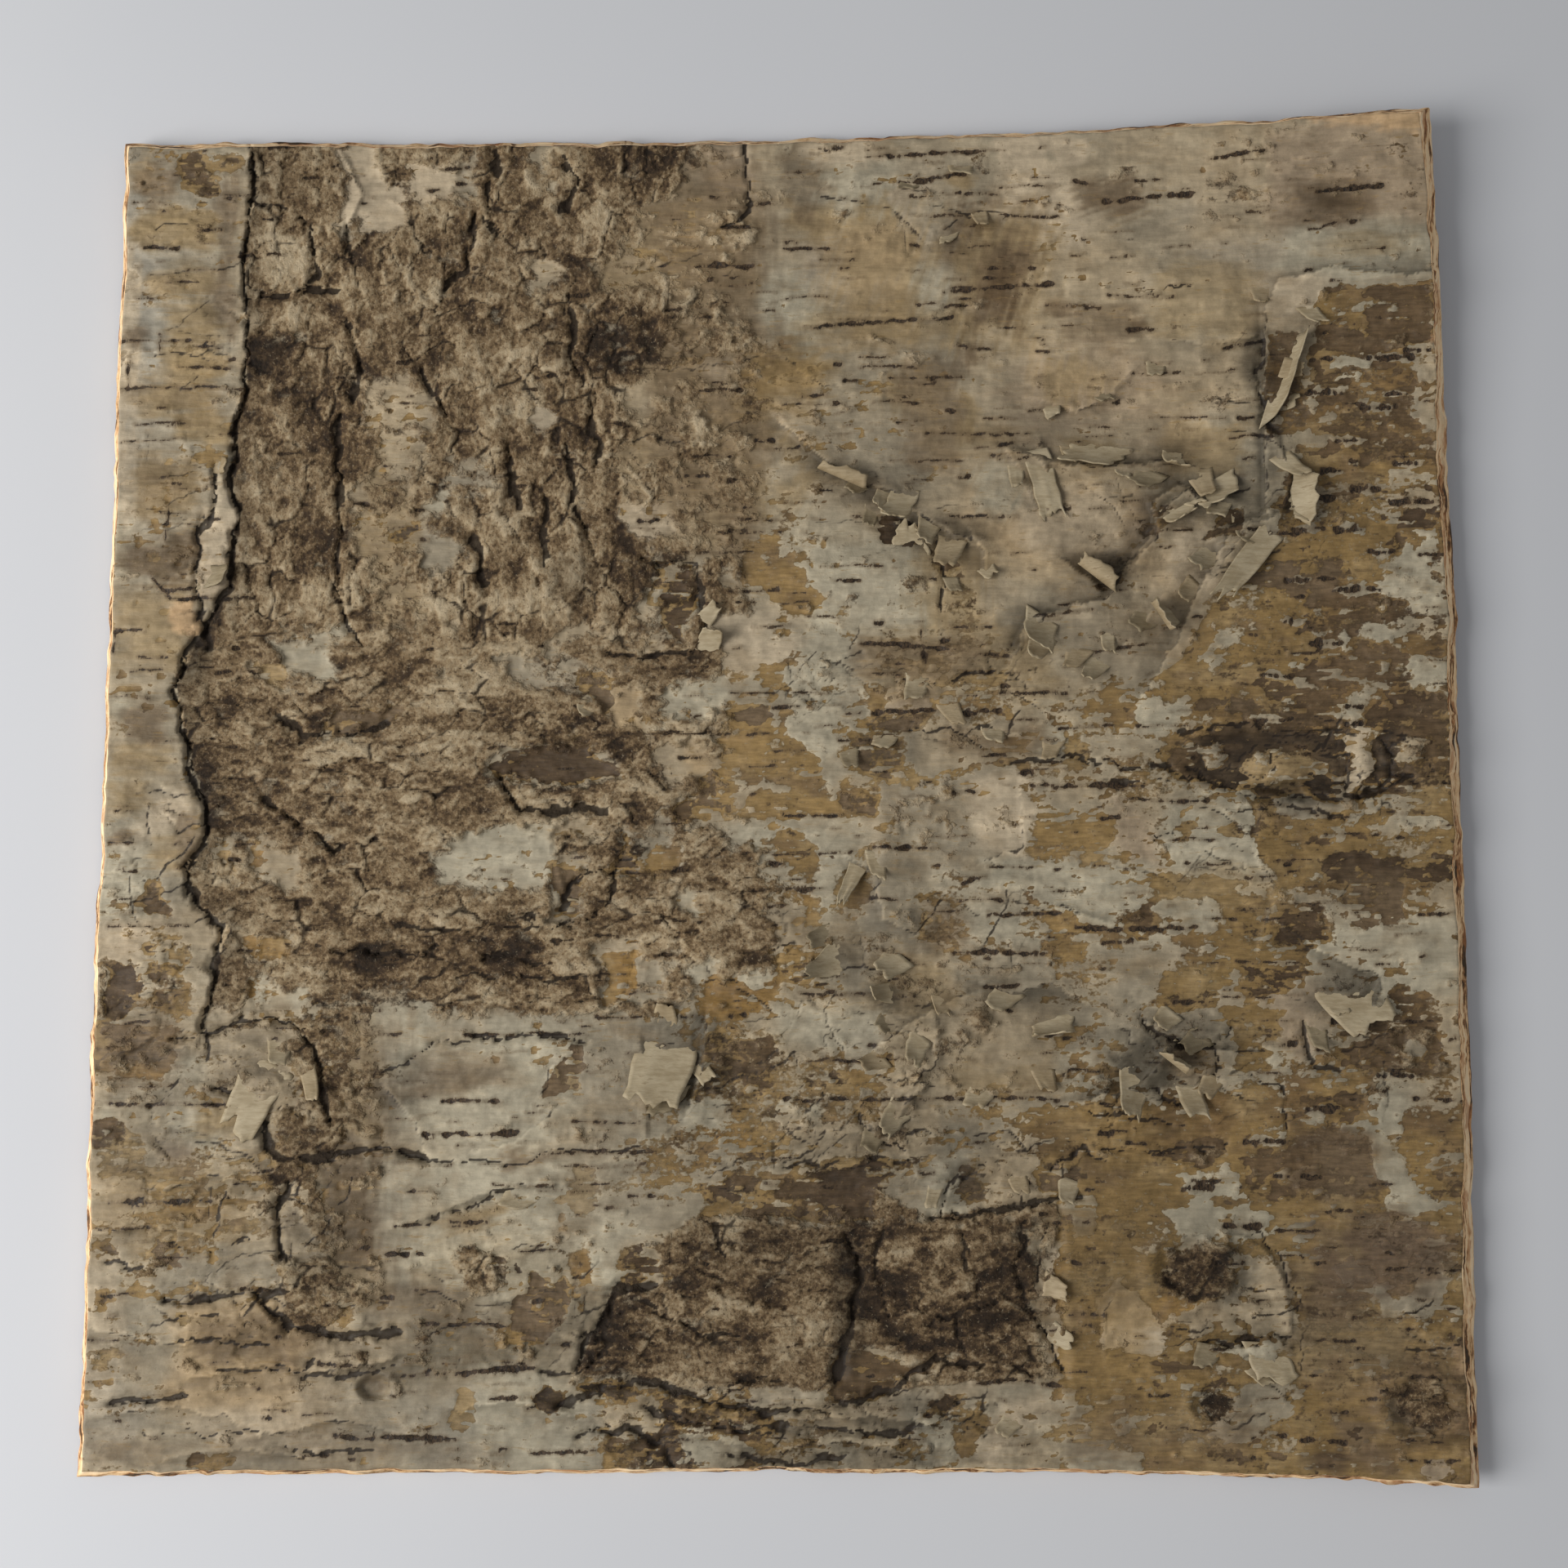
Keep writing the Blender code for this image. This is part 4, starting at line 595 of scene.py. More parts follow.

# Stains and smears on the skin, and a few stains of painted shade: colour, soft border, strength, heading of
# the streaks, outline or box
STAINS = (
    (TAN, 4, 0.7, 0, (-1, 132), (10, 132), (13, 128), (10, 124.5), (-1, 124.5)),
    (TAN, 2, 0.6, 90, (16, 127), (18.5, 136)), (TAN, 2, 0.6, 90, (22.5, 127), (24.5, 136)),
    (BRIGHT, 2, 0.8, 0, (25, 131), (31, 137)), (TAN, 3, 0.7, 0, (36, 134.5), (44, 139.5)),
    (UMBER, 4, 0.6, 0, (43, 131), (50, 135)),
    (UMBER, 8, 0.65, 75, (35, 119), (44, 119), (44, 132), (36, 132)),
    (BROWN, 4, 0.75, 0, (41, 124), (49, 128)),
    (TAN, 12, 0.75, 74, (38, 100), (44, 128), (60, 126), (56, 100)),
    (UMBER, 6, 0.8, 74, (43, 103), (47, 122), (57, 121), (53, 103)),
    (BROWN, 5, 0.7, 74, (46, 107), (48, 117), (54, 117), (52, 107)), (TAN, 5, 0.75, 30, (-1, 90), (10, 98)),
    (UMBER, 4, 0.7, 90, (40, 92), (45, 99)), (TAN, 4, 0.7, 90, (38, 78), (43, 88)),
    (PINK, 12, 0.6, 0, (50, 82), (58, 80), (80, 80), (84, 92), (76, 100), (56, 98)),
    (UMBER, 5, 0.7, 20, (66, 130), (82, 137)), (BROWN, 4, 0.8, 0, (120, 129), (130, 134)),
    (UMBER, 5, 0.6, 0, (112, 128), (134, 138)), (UMBER, 4, 0.7, 0, (117, 145), (122, 149)),
    (TAN, 7, 0.6, 60, (0, 60), (0, 78), (6, 74), (8, 68), (5, 62)),
    (TAN, 3, 0.6, 0, (63, 77), (75, 77), (76, 73), (66, 72)),
    (TAN, 10, 0.55, 90, (-14, 60), (-14, 80), (-4, 78), (-5, 62)),
    (UMBER, 10, 0.5, 90, (-28, 62), (-30, 140), (-9, 144), (-1, 128), (-7, 114), (2, 98), (-6, 86), (0,
     74), (-10, 62)),
    (OCHRE, 8, 0.7, 0, (-8, 84), (10, 96)), (UMBER, 8, 0.5, 0, (-14, 44), (-6, 64)),
    (TAN, 6, 0.7, 0, (-140, 84), (-128, 104)), (TAN, 8, 0.6, 80, (60, 86), (58, 96), (72, 97), (72, 88)),
    (TAN, 6, 0.5, 0, (28, 76), (52, 80)), (TAN, 8, 0.5, 0, (4, 100), (40, 108)),
    (TAN, 12, 0.5, 70, (8, 110), (12, 130), (36, 130), (30, 108)), (TAN, 8, 0.5, 90, (24, 84), (34, 92)),
    (WARM, 8, 0.6, 0, (50, 52), (78, 64)), (TAN, 9, 0.6, 90, (30, 34), (44, 54)),
    (TAN, 8, 0.5, 0, (20, 20), (60, 34)), (BROWN, 3, 0.6, 0, (58, 106), (66, 110)),
    (BROWN, 3, 0.7, 0, (78, 101), (83, 104)), (TAN, 6, 0.5, 0, (84, 100), (106, 118)),
    (TAN, 5, 0.5, 0, (120, 120), (142, 124)), (OCHRE, 6, 0.55, 0, (-145, 61), (-132, 73)),
    (BROWN, 6, 0.7, 0, (-147, 45), (-130, 55)), (TAN, 8, 0.6, 0, (-149, 24), (-132, 41)),
    (BROWN, 4, 0.6, 0, (-147, 8), (-138, 18)), (TAN, 6, 0.7, 0, (-149, -6), (-140, 1)),
    (BROWN, 3, 0.6, 0, (-149, -13), (-143, -8)), (TAN, 5, 0.7, 0, (-140, -18), (-133, -12)),
    (UMBER, 5, 0.6, 70, (-134, -18), (-129, -5)), (UMBER, 9, 0.65, 0, (-149, -64), (-131, -52)),
    (TAN, 6, 0.6, 0, (-148, 84), (-138, 90)), (TAN, 5, 0.7, 0, (-140, 101), (-127, 109)),
    (TAN, 5, 0.7, 0, (-144, 110), (-128, 117)),
    (PEACH, 1.5, 0.95, 0, (-136.5, 40), (-132, 40.5), (-130.5, 34), (-132, 31.5), (-135, 34)),
    (TAN, 5, 0.6, 0, (-148, 136), (-142, 141)), (BRIGHT, 4, 0.7, 90, (-150, 56), (-146, 130)),
    (BRIGHT, 4, 0.6, 0, (-128, 60), (-124, 72)), (BROWN, 4, 0.6, 0, (-112, -128), (-103, -123)),
    (BROWN, 3, 0.85, 0, (-92, -133), (-84, -128)), (GREY, 8, 0.6, 0, (-100, -142), (-84, -130)),
    (UMBER, 5, 0.55, 0, (-82, -68), (-74, -60), (-61, -58), (-62, -66)),
    (UMBER, 10, 0.45, 90, (-90, -110), (-84, -52)), (TAN, 8, 0.2, 0, (-78, -108), (-46, -98)),
    (GREY, 10, 0.3, 90, (-52, -100), (-30, -58)), (UMBER, 7, 0.4, 0, (-90, -118), (-60, -108)),
    (OCHRE, 8, 0.4, 0, (-149, -100), (-116, -84)), (UMBER, 8, 0.35, 0, (-149, -146), (-60, -141)),
    (BROWN, 5, 0.5, 20, (-128, -124), (-98, -116)),
    (TAN, 4, 0.7, 20, (-76, -97), (-68, -93), (-58, -90), (-60, -94), (-70, -98)),
    (UMBER, 3, 0.7, 20, (-62, -83), (-50, -80)), (PURPLE, 5, 0.75, 90, (-17, 0), (-11, -10)),
    (TAN, 8, 0.5, 0, (22, -50), (36, -40)), (TAN, 8, 0.5, 0, (36, -68), (60, -62)),
    (UMBER, 6, 0.6, 0, (30, -36), (40, -26)), (PEACH, 2, 0.8, 0, (144, -130), (148.5, -121)),
    (PEACH, 2, 0.8, 0, (144, -140), (149, -134)),
    (UMBER, 6, 0.75, 0, (121, -92), (134, -94), (139, -98), (137, -104), (128, -104), (120, -99)),
    (UMBER, 4, 0.75, 0, (130, -106), (139, -114)),
    (UMBER, 5, 0.75, 0, (108, -104), (118, -105), (126, -110), (125, -117), (112, -120), (110, -108)),
    (OCHRE, 6, 0.6, 0, (116, -103), (125, -97)),
    (UMBER, 5, 0.75, 0, (117, -135), (126, -137), (131, -143), (130, -147), (121, -145)),
    (DARK_BROWN, 4, 0.75, 0, (110, -148), (120, -143)), (UMBER, 8, 0.5, 0, (110, -130), (149, -120)),
    (UMBER, 8, 0.6, 0, (62, -146), (100, -136)), (OCHRE, 8, 0.6, 0, (62, -134), (80, -100)),
    ((124, 102, 66), 8, 0.7, 0, (61, -128), (60, -94), (78, -94), (70, -112), (66, -126)),
    ((126, 110, 84), 8, 0.6, 0, (74, -134), (100, -146)),
    ((92, 76, 58), 4, 0.8, 0, (112, -76), (126, -76), (128, -88), (118, -92), (108, -88)),
    ((98, 82, 66), 7, 0.75, 0, (112, -94), (146, -98), (144, -106), (126, -112), (112, -108)),
    ((92, 74, 52), 5, 0.8, 0, (80, -78), (97, -82)), ((90, 74, 54), 7, 0.7, 0, (128, -142), (149, -130)),
    ((124, 108, 82), 7, 0.6, 0, (110, -126), (134, -116)), (TAN, 3, 0.8, 0, (-148, 122), (-128, 130)),
    (UMBER, 4, 0.6, 0, (-146, 133), (-136, 140)), (TAN, 3, 0.7, 0, (-137, 92), (-126, 98)),
    (BROWN, 3, 0.6, 0, (-149, 98), (-143, 104)), (TAN, 4, 0.8, 0, (-136, 76), (-124, 84)),
    (UMBER, 3, 0.6, 90, (-128, 100), (-124, 140)), (UMBER, 4, 0.6, 0, (-148, -24), (-136, -32)),
    (TAN, 4, 0.7, 0, (-149, 2), (-134, 8)), (BROWN, 4, 0.55, 0, (-149, -88), (-138, -94)),
    (BROWN, 5, 0.6, 90, (-99, -104), (-89, -77)), (BROWN, 4, 0.5, 0, (-120, -96), (-108, -106)),
    (UMBER, 4, 0.6, 0, (-132, -86), (-116, -92)), (BROWN, 3, 0.6, 0, (-148, -116), (-134, -120)),
    (TAN, 5, 0.7, 0, (-130, -76), (-118, -70)), (UMBER, 5, 0.55, 70, (0, 128), (8, 146)),
    # Painted shade: the second stain below, a dark streak beside a fold
    (OCHRE, 5, 0.3, 70, (14, 98), (30, 128)), (UMBER, 4, 0.5, 70, (26, 70), (40, 96)),
    (UMBER, 5, 0.5, 0, (62, 100), (80, 108)), (TAN, 5, 0.6, 0, (86, 70), (104, 80)),
    # Painted shade: the first stain below darkens the zone beside the pale tongue
    (UMBER, 6, 0.2, 60, (60, 28), (96, 54)), (WHITE, 5, 0.7, 60, (44, 60), (52, 72)),
    (BRIGHT, 5, 0.6, 45, (52, 52), (76, 66)), (BRIGHT, 4, 0.6, 60, (86, 44), (98, 58)),
    (UMBER, 5, 0.5, 0, (14, 24), (44, 32)), (BROWN, 4, 0.5, 0, (34, 6), (60, 12)),
    (UMBER, 5, 0.5, 0, (0, -64), (30, -78)), (BROWN, 4, 0.55, 0, (6, -82), (60, -90)),
    (UMBER, 5, 0.5, 0, (62, -70), (96, -78)), (BROWN, 4, 0.5, 0, (84, -66), (96, -58)),
    (RUST, 2, 0.7, 0, (144, 99.5), (149, 103)), (PEACH, 3, 0.7, 0, (118, 150), (149, 155)),
    (BRIGHT, 3, 0.7, 0, (4, 142), (24, 146)), (BRIGHT, 2, 0.8, 0, (46, 142), (70, 148)),
    (TAN, 6, 0.6, 0, (34, -12), (40, -22)), (TAN, 9, 0.5, 0, (84, -26), (110, -20)),
)

# What a kind of patch sets: how bare the tan and the brown layer are, how much crust, and a layer's colour
KINDS = {
    "white": (-1.9, -2.4, -1.7, "skin", WHITE), "bright": (-2.2, -2.6, -1.9, "skin", BRIGHT),
    "cream": (-1.8, -2.4, -1.1, "skin", CREAM), "warm": (-1.8, -2.4, -1.2, "skin", WARM),
    "grey": (-1.8, -2.4, -1.2, "skin", GREY), "pink": (-1.7, -2.2, -1.4, "skin", PINK),
    "drab": (-1.3, -2.0, -0.9, "skin", (110, 101, 84)), "olive": (-1.4, -2.2, -0.2, "skin", (138, 121, 94)),
    "tan": (1.2, -1.6, -2.0, "under", TAN), "ochre": (1.3, -1.5, -2.2, "under", OCHRE),
    "gold": (1.3, -1.3, -1.6, "under", (130, 103, 60)), "brown": (1.8, 0.9, -2.0, "deep", BROWN),
    "umber": (1.7, 0.9, -1.8, "deep", UMBER), "dark": (2.0, 1.3, -1.8, "deep", DARK_BROWN),
    "mixed": (0.0, -0.9, -2.0, None, None), "dusky": (1.0, 0.1, -1.8, None, None),
    "clay": (1.3, -1.0, -2.2, "under", (127, 105, 68)), "black": (2.2, 1.9, -2.0, "deep", (44, 36, 28)),
    "crust": (0.0, -1.0, 1.4, None, None), "scab": (0.0, -1.0, 2.2, None, None),
}
SOFT_BORDER = 3.4

# More worn places: place, half sizes, how much more of the tan and of the brown layer shows
WORN = (
    (-60, -100, 26, 16, 0.8, 0.8), (0, -82, 30, 12, 1.6, 1.0),
    (10, -142, 50, 10, 1.6, 1.0), (-60, -140, 40, 8, 1.0, 0.5), (2, 70, 8, 40, 1.4, 0.6),
    (105, 62, 12, 10, 1.2, 0.2), (138, 0, 14, 14, 2.4, 2.2), (-125, -95, 24, 26, 0.8, 0.4),
)

# Tints of the outer skin: place, half sizes, colour, strength
SKIN_TINTS = (
    (-149, 95, 2.5, 34, BRIGHT, 0.7), (-138, 98, 12, 42, (150, 142, 126), 0.8),
    (58, 132, 9, 8, BRIGHT, 0.6), (1, 107, 6, 11, WHITE, 0.7), (126, 139, 14, 11, PINK, 0.5),
    (-87, 134, 14, 9, WARM, 0.35), (-87, 78, 9, 15, WARM, 0.35), (-63, -15, 12, 7, WHITE, 0.9),
    (47, -9, 8, 11, WHITE, 0.9), (72, -29, 12, 9, WHITE, 0.6), (-55, -64, 16, 12, WHITE, 0.7),
    (-37, -65, 8, 12, GREY, 0.5), (-62, -94, 18, 12, WHITE, 0.8), (-38, -104, 4, 6, WHITE, 0.9),
    (-110, -125, 22, 14, WARM, 0.5), (-106, -136, 20, 8, BRIGHT, 0.7), (-144, -22, 6, 8, WHITE, 0.8),
    (40, -60, 24, 18, GREY, 0.5), (-146, 62, 4, 7, WHITE, 0.8), (8, 52, 12, 12, WHITE, 0.5),
    (58, 60, 20, 12, WARM, 0.45), (50, 85, 45, 40, WARM, 0.3), (132, -40, 16, 8, WHITE, 0.6),
    (80, 30, 22, 24, WARM, 0.2), (75, 32, 16, 14, GREY, 0.6), (-147, -110, 4, 30, BRIGHT, 0.6),
    (96, -12, 12, 10, WHITE, 0.7), (-60, -140, 30, 9, (148, 143, 130), 0.7),
    (-145, -138, 8, 10, (150, 142, 128), 0.6), (-147, 110, 6, 36, (150, 146, 136), 0.7),
    (20, 120, 14, 14, (160, 149, 134), 0.6), (104, 128, 14, 14, (156, 145, 129), 0.5),
    (22, 100, 18, 30, GREY, 0.35), (100, 124, 20, 12, GREY, 0.3), (128, -112, 7, 7, GREY, 0.8),
)

# Crust, lighter or darker than around: place, half sizes, strength
CRUST_SPOTS = (
    (-38, 100, 14, 8, -0.9), (-32, 141, 14, 6, -0.5), (-105, 52, 7, 8, -0.35), (-67, 48, 2.5, 3, -0.9),
    (-25, 46, 6, 5, -0.9), (-20, 34, 2, 6, -0.7), (-51, 4, 12, 6, -0.9), (-96, 14, 9, 3, -0.6),
    (-74, 14, 5, 2, -0.5), (-34, -15, 5, 5, -0.7), (-57, -37, 5, 3, -0.8), (-92, -38, 8, 3, -0.6),
    (-115, 96, 7, 10, -0.6), (-129, -2, 5, 9, -0.8), (-46, -115, 8, 10, -0.6), (-38, -121, 6, 9, -0.8),
    (-25, -115, 8, 8, -0.3), (24, -110, 10, 18, -0.6), (45, -112, 13, 16, -0.7), (6, -108, 5, 18, 0.05),
    (-22, -102, 9, 8, -0.45), (0, -98, 9, 6, -0.35), (-7, -114, 5, 16, -0.35), (56, -114, 4, 14, 0.5),
    (14, -90, 6, 6, -0.7), (-20, -127, 10, 6, 0.5), (24, -101, 5, 3, 0.9), (24, -125, 5, 3, 0.8),
    (-50, 27, 26, 6, 0.25), (-80, 20, 26, 6, 0.25), (-25, 124, 16, 8, 0.5), (-57, 84, 4, 3, 0.8),
    (-33, 87, 4, 4, 0.7), (-79, 39, 4, 3, 0.7), (-55, 137, 3, 6, 0.6), (-114, 119, 7, 5, 0.6),
    (-112, 106, 9, 4, 0.5), (-20, 80, 12, 20, 0.1), (-110, 70, 10, 25, -0.05), (-85, -45, 30, 8, -0.15),
    (-75, -36, 32, 6, -0.3), (-120, -19, 5, 5, 0.5), (-30, -122, 6, 5, -0.2), (50, -132, 8, 3, 0.5),
    (-10, 130, 8, 14, 0.35), (-12, 60, 8, 30, 0.2),
)

# Lenticels and thin dark lines: ends and half width
LENTICELS = (
    (-131, 134, -121, 134, 0.4), (-148, 132, -142, 132, 0.4), (-150, 121.5, -137, 121.5, 0.6),
    (-135, 116.5, -127, 116.5, 0.4), (-150, 100, -134, 100, 0.6), (-141, 102, -141, 97, 0.5),
    (-132, 98.5, -127, 98.5, 0.5), (-149, 89, -121, 89, 0.5), (-147.5, 97, -147.5, 89, 0.6),
    (-146, 81, -130, 81, 0.4), (-150, 76.5, -135, 77.5, 0.4), (-142, 58, -132, 58, 0.4),
    (-138, 62, -138, 54, 0.4), (-141.5, 47, -136.5, 41, 0.5), (-136.5, 41, -118, 41, 0.6),
    (-149, 34, -142, 34, 0.5), (-149, 34, -149, 29, 0.5), (-145, 25, -138, 25, 0.4),
    (-150, 19, -141, 19, 0.4), (-126, 24.5, -118, 24.5, 0.8), (-149, -13.3, -143, -13.3, 0.4),
    (-146, -25.5, -139, -25.5, 0.4), (-148, -31.5, -131, -31.5, 0.5), (-146, -66, -133, -66, 0.4),
    (-150, -70, -118, -70, 0.7), (-146, -91, -124, -91, 0.5), (-149, -96.5, -137, -96.5, 0.4),
    (-148, -110.5, -140, -110.5, 0.4), (-150, -120.5, -143, -120.5, 0.4), (-150, -129, -143, -129, 0.4),
    (-14, 126.5, -8, 126.5, 0.7), (-19, 117.5, -7, 117.5, 1.0), (-26, 105.5, -14, 105.5, 0.6),
    (-19, 88.5, -9, 88.5, 0.6), (-25, 73.5, -12, 73.5, 0.6), (-22, 69, -17, 69, 0.7), (-12, 59, 0, 59, 0.5),
    (-15, 56.3, -1, 56.3, 0.5), (-23, 51.5, -7, 51.5, 0.5), (-15, 43, -1, 43, 0.4),
    (-18, 40.5, -7, 40.5, 0.6), (-40, 28.5, -19, 28.5, 0.7), (-30, 25.5, -17, 25.5, 0.5),
    (-12, 20, -2, 20, 0.5), (-35, 11, -12, 11, 0.6), (-8, 11, -3, 11, 0.5), (-38, -20, -24, -20, 0.6),
    (-28, -30.5, -18, -30.5, 0.6), (-70, -55, -43, -55, 0.7), (0, 139.5, 8, 139.5, 0.5),
    (24, 143, 44, 144, 0.8), (25, 136.5, 41, 138.8, 0.8), (36, 134.5, 48, 134.5, 0.6),
    (0, 121.5, 10, 121.5, 0.6), (8, 119, 16, 119, 0.5), (49, 136, 63, 136, 0.4), (49, 129, 63, 129, 0.4),
    (45, 116.8, 57, 116.8, 0.6), (36, 111.5, 61, 113, 0.8), (6, 103.2, 38, 105.5, 0.6),
    (2, 110.5, 10, 110.5, 0.4), (38, 99, 41, 99, 0.5), (41, 98, 47, 98, 0.4), (17, 94, 30, 94, 0.4),
    (24, 91.5, 40, 91.5, 0.5), (0, 85.5, 14, 85.5, 0.4), (20, 86, 30, 86, 0.4), (45, 82, 52, 82, 0.4),
    (32, 78.5, 55, 78.5, 0.5), (72, 132.5, 93, 134.5, 0.9), (73, 110.3, 88, 110.3, 0.5),
    (59, 108.3, 70, 108.3, 0.4), (97, 142.5, 110, 144.5, 0.8), (127, 144, 142, 146, 0.5),
    (121, 134.5, 136, 136.5, 0.9), (105, 130, 110, 130.5, 0.4), (119, 126, 131, 128, 0.6),
    (127, 120.5, 136, 122, 0.5), (143, 123, 149, 123.5, 0.4), (143, 119.5, 149, 120, 0.4),
    (99, 98.5, 108, 100, 0.6), (78, 92.7, 90, 92.7, 0.5), (82, 82.5, 95, 82.5, 0.4),
    (100, 78, 110, 78, 0.5), (24, 72.5, 41, 72.5, 0.5), (35, 60, 52, 60, 0.5), (15, 59.5, 22, 59.5, 0.5),
    (8, 48.5, 22, 48.5, 0.5), (5, 37, 12, 37, 0.4), (17, 31, 26, 31, 0.9), (26, 30.5, 38, 30, 0.9),
    (30.5, 34, 31.5, 27, 0.9), (37, 35, 46, 35, 0.5), (42, 28.5, 50, 28.5, 0.5), (19, 24.2, 26, 24.2, 0.5),
    (2, 20, 10, 20, 0.5), (20, 15.6, 48, 16, 0.9), (48, 20, 63, 20, 0.5), (50, 14, 56, 14, 0.4),
    (61, 12, 75, 13, 0.5), (56, 37.5, 69, 38.5, 0.5), (61, 39.8, 67, 39.8, 0.4), (69, 29, 80, 30.5, 0.5),
    (12, 9.8, 20, 9.8, 0.5), (78, 13, 90, 13, 0.5), (105, -7.5, 113, -7.5, 0.6),
    (117, -7.5, 124, -7.5, 0.6), (55, -0.5, 80, -0.5, 1.0), (74, -3.7, 93, -3.7, 0.9),
    (0, -7.3, 12, -7.3, 0.6), (20, -14.3, 34, -14.3, 0.9), (-9, -15.5, 15, -15.5, 0.5),
    (45, -18.3, 55, -18.3, 0.4), (0, -23.4, 8, -23.4, 0.5), (-9, -27.3, 0, -27.3, 0.5),
    (30, -26, 48, -26, 0.5), (45, -28.8, 61, -28.8, 0.7), (64, -32, 90, -32, 0.9),
    (37, -37.3, 58, -37.3, 0.9), (3, -46, 20, -46, 0.5), (5, -60.5, 30, -60.5, 0.6), (0, -69, 60, -69, 0.7),
    (62, -63, 73, -63, 0.5), (119, -11.3, 132, -11.3, 0.5), (85, -12.5, 95, -12.5, 0.5),
    (107, -17, 116, -17, 0.4), (88, -17.8, 98, -17.8, 0.5), (101, -20.6, 110, -20.6, 0.4),
    (108, -26.3, 122, -26.3, 0.5), (92, -30, 99, -30, 0.5), (124, -37, 130, -37, 0.4),
    (99, -39.5, 113, -39.5, 0.5), (96, -45.3, 106, -45.3, 0.4), (96, -47, 106, -47, 0.4),
    (131, -51.8, 142, -51.8, 0.6), (103, -63.5, 109, -63.5, 0.5), (137, -69, 149, -69, 0.7),
    (-41, -51.5, -31, -51.5, 0.5), (-74, -69.5, -61, -69.5, 0.8), (-46, -73.7, -31, -73.7, 0.5),
    (-78, -76.5, -58, -76.5, 1.0), (-117, -109.7, -108, -109.7, 0.7), (-100, -125, -91, -126, 0.7),
    (-96, -140.5, -70, -140.5, 0.9), (-84, -128, -76, -127, 0.7), (-52, -80.3, -28, -80.3, 0.6),
    (-50, -83.5, -38, -83.5, 0.4), (-60, -87.5, -50, -87.5, 0.5), (-47, -87.5, -38, -87.5, 0.5),
    (-72, -95.3, -64, -95.3, 0.6), (-57, -101.2, -50, -101.2, 0.5), (-78, -117, -58, -117, 0.6),
    (-53, -121, -46, -121, 0.5), (-78, -127.5, -53, -126, 0.8), (-63, -132.5, -54, -132.5, 0.6),
    (-54, -143.5, -38, -143.5, 0.6), (-84, -96, -76, -95.5, 0.8), (-86, -102, -78, -101.5, 0.8),
    (106, -97, 116, -97, 0.6), (107, -102.5, 113, -102.5, 0.5), (130, -105, 148, -105, 0.6),
    (62, -103.7, 69, -103.7, 0.6), (61, -114.8, 69, -114.8, 0.6), (56, -95.5, 66, -95.5, 0.5),
    (80, -81, 86, -81, 0.5), (115, -92.8, 123, -92.8, 0.5), (102, -111.5, 105, -111.5, 0.5),
    (112, -120, 123, -120, 0.5), (119, -124.3, 128, -124.3, 0.5), (109, -127.6, 118, -127.6, 0.5),
    (114, -135, 121, -135, 0.5), (111, -141.3, 120, -141.3, 0.8), (82, -138.8, 91, -138.8, 0.5),
    (132, -141.2, 141, -141.2, 0.6), (134, -145.5, 145, -145.5, 0.5), (95, -145, 102, -145, 0.5),
    (78, -131.5, 83, -131.5, 0.5), (45, -128.5, 60, -129.5, 0.7), (20, -36, 31, -40, 0.4),
)

# How much of a line's drawn half width is dark
LINE_SHARE = 0.56

# Rows of pale beads with dark dots between them: left end, height, right end
BEAD_ROWS = (
    (106, -85.5, 117), (122, 43.2, 133), (136, 63, 147), (124.5, 17, 129), (124.5, 13, 129), (118, 88, 127),
    (130, 84.5, 138), (132, 96, 142), (114, 57, 121), (118, 64, 124), (131, 52, 137), (117, 31, 124),
    (124, 77, 131), (106, 24, 113), (137, 72, 144), (120, 70, 125), (127, 66, 134), (112, 45, 118),
    (134, 88, 141), (123, 57, 130), (140, 98, 146), (110, 36, 117), (104, 14, 112), (104, -57, 112),
    (120, -52, 129), (129, -64, 138), (100, -78, 108), (114, -71, 121), (96, -96, 103), (86, -88, 93),
)
HAIRLINES = 900
SMALL_LINES = 1300

# Flaky zones with fine cracks: place, half sizes, strength
FLAKY = (
    (-116, -75, 34, 34, 0.8), (10, -140, 52, 12, 1.0), (4, -62, 34, 34, 0.8), (30, 22, 34, 14, 0.9),
    (110, -14, 42, 16, 0.5), (82, -64, 22, 18, 0.9), (98, -122, 16, 18, 0.7), (-138, -30, 14, 34, 0.8),
    (-22, 90, 18, 42, 0.6), (-60, -112, 22, 18, 0.7), (116, 3, 36, 12, 1.0), (142, -125, 10, 30, 0.8),
    (40, -84, 30, 9, 0.8), (-138, 60, 12, 40, 0.5), (-136, 110, 14, 30, 0.6), (28, 132, 26, 14, 0.6),
    (85, 60, 22, 16, 0.5), (-110, -112, 30, 12, 0.8), (48, -30, 22, 14, 0.6), (-30, -30, 24, 28, 0.6),
    (104, 60, 10, 44, 0.7), (20, 60, 24, 12, 0.4), (125, 45, 24, 36, 0.4), (-70, -60, 24, 14, 0.3),
    (118, -60, 20, 18, 0.5),
)
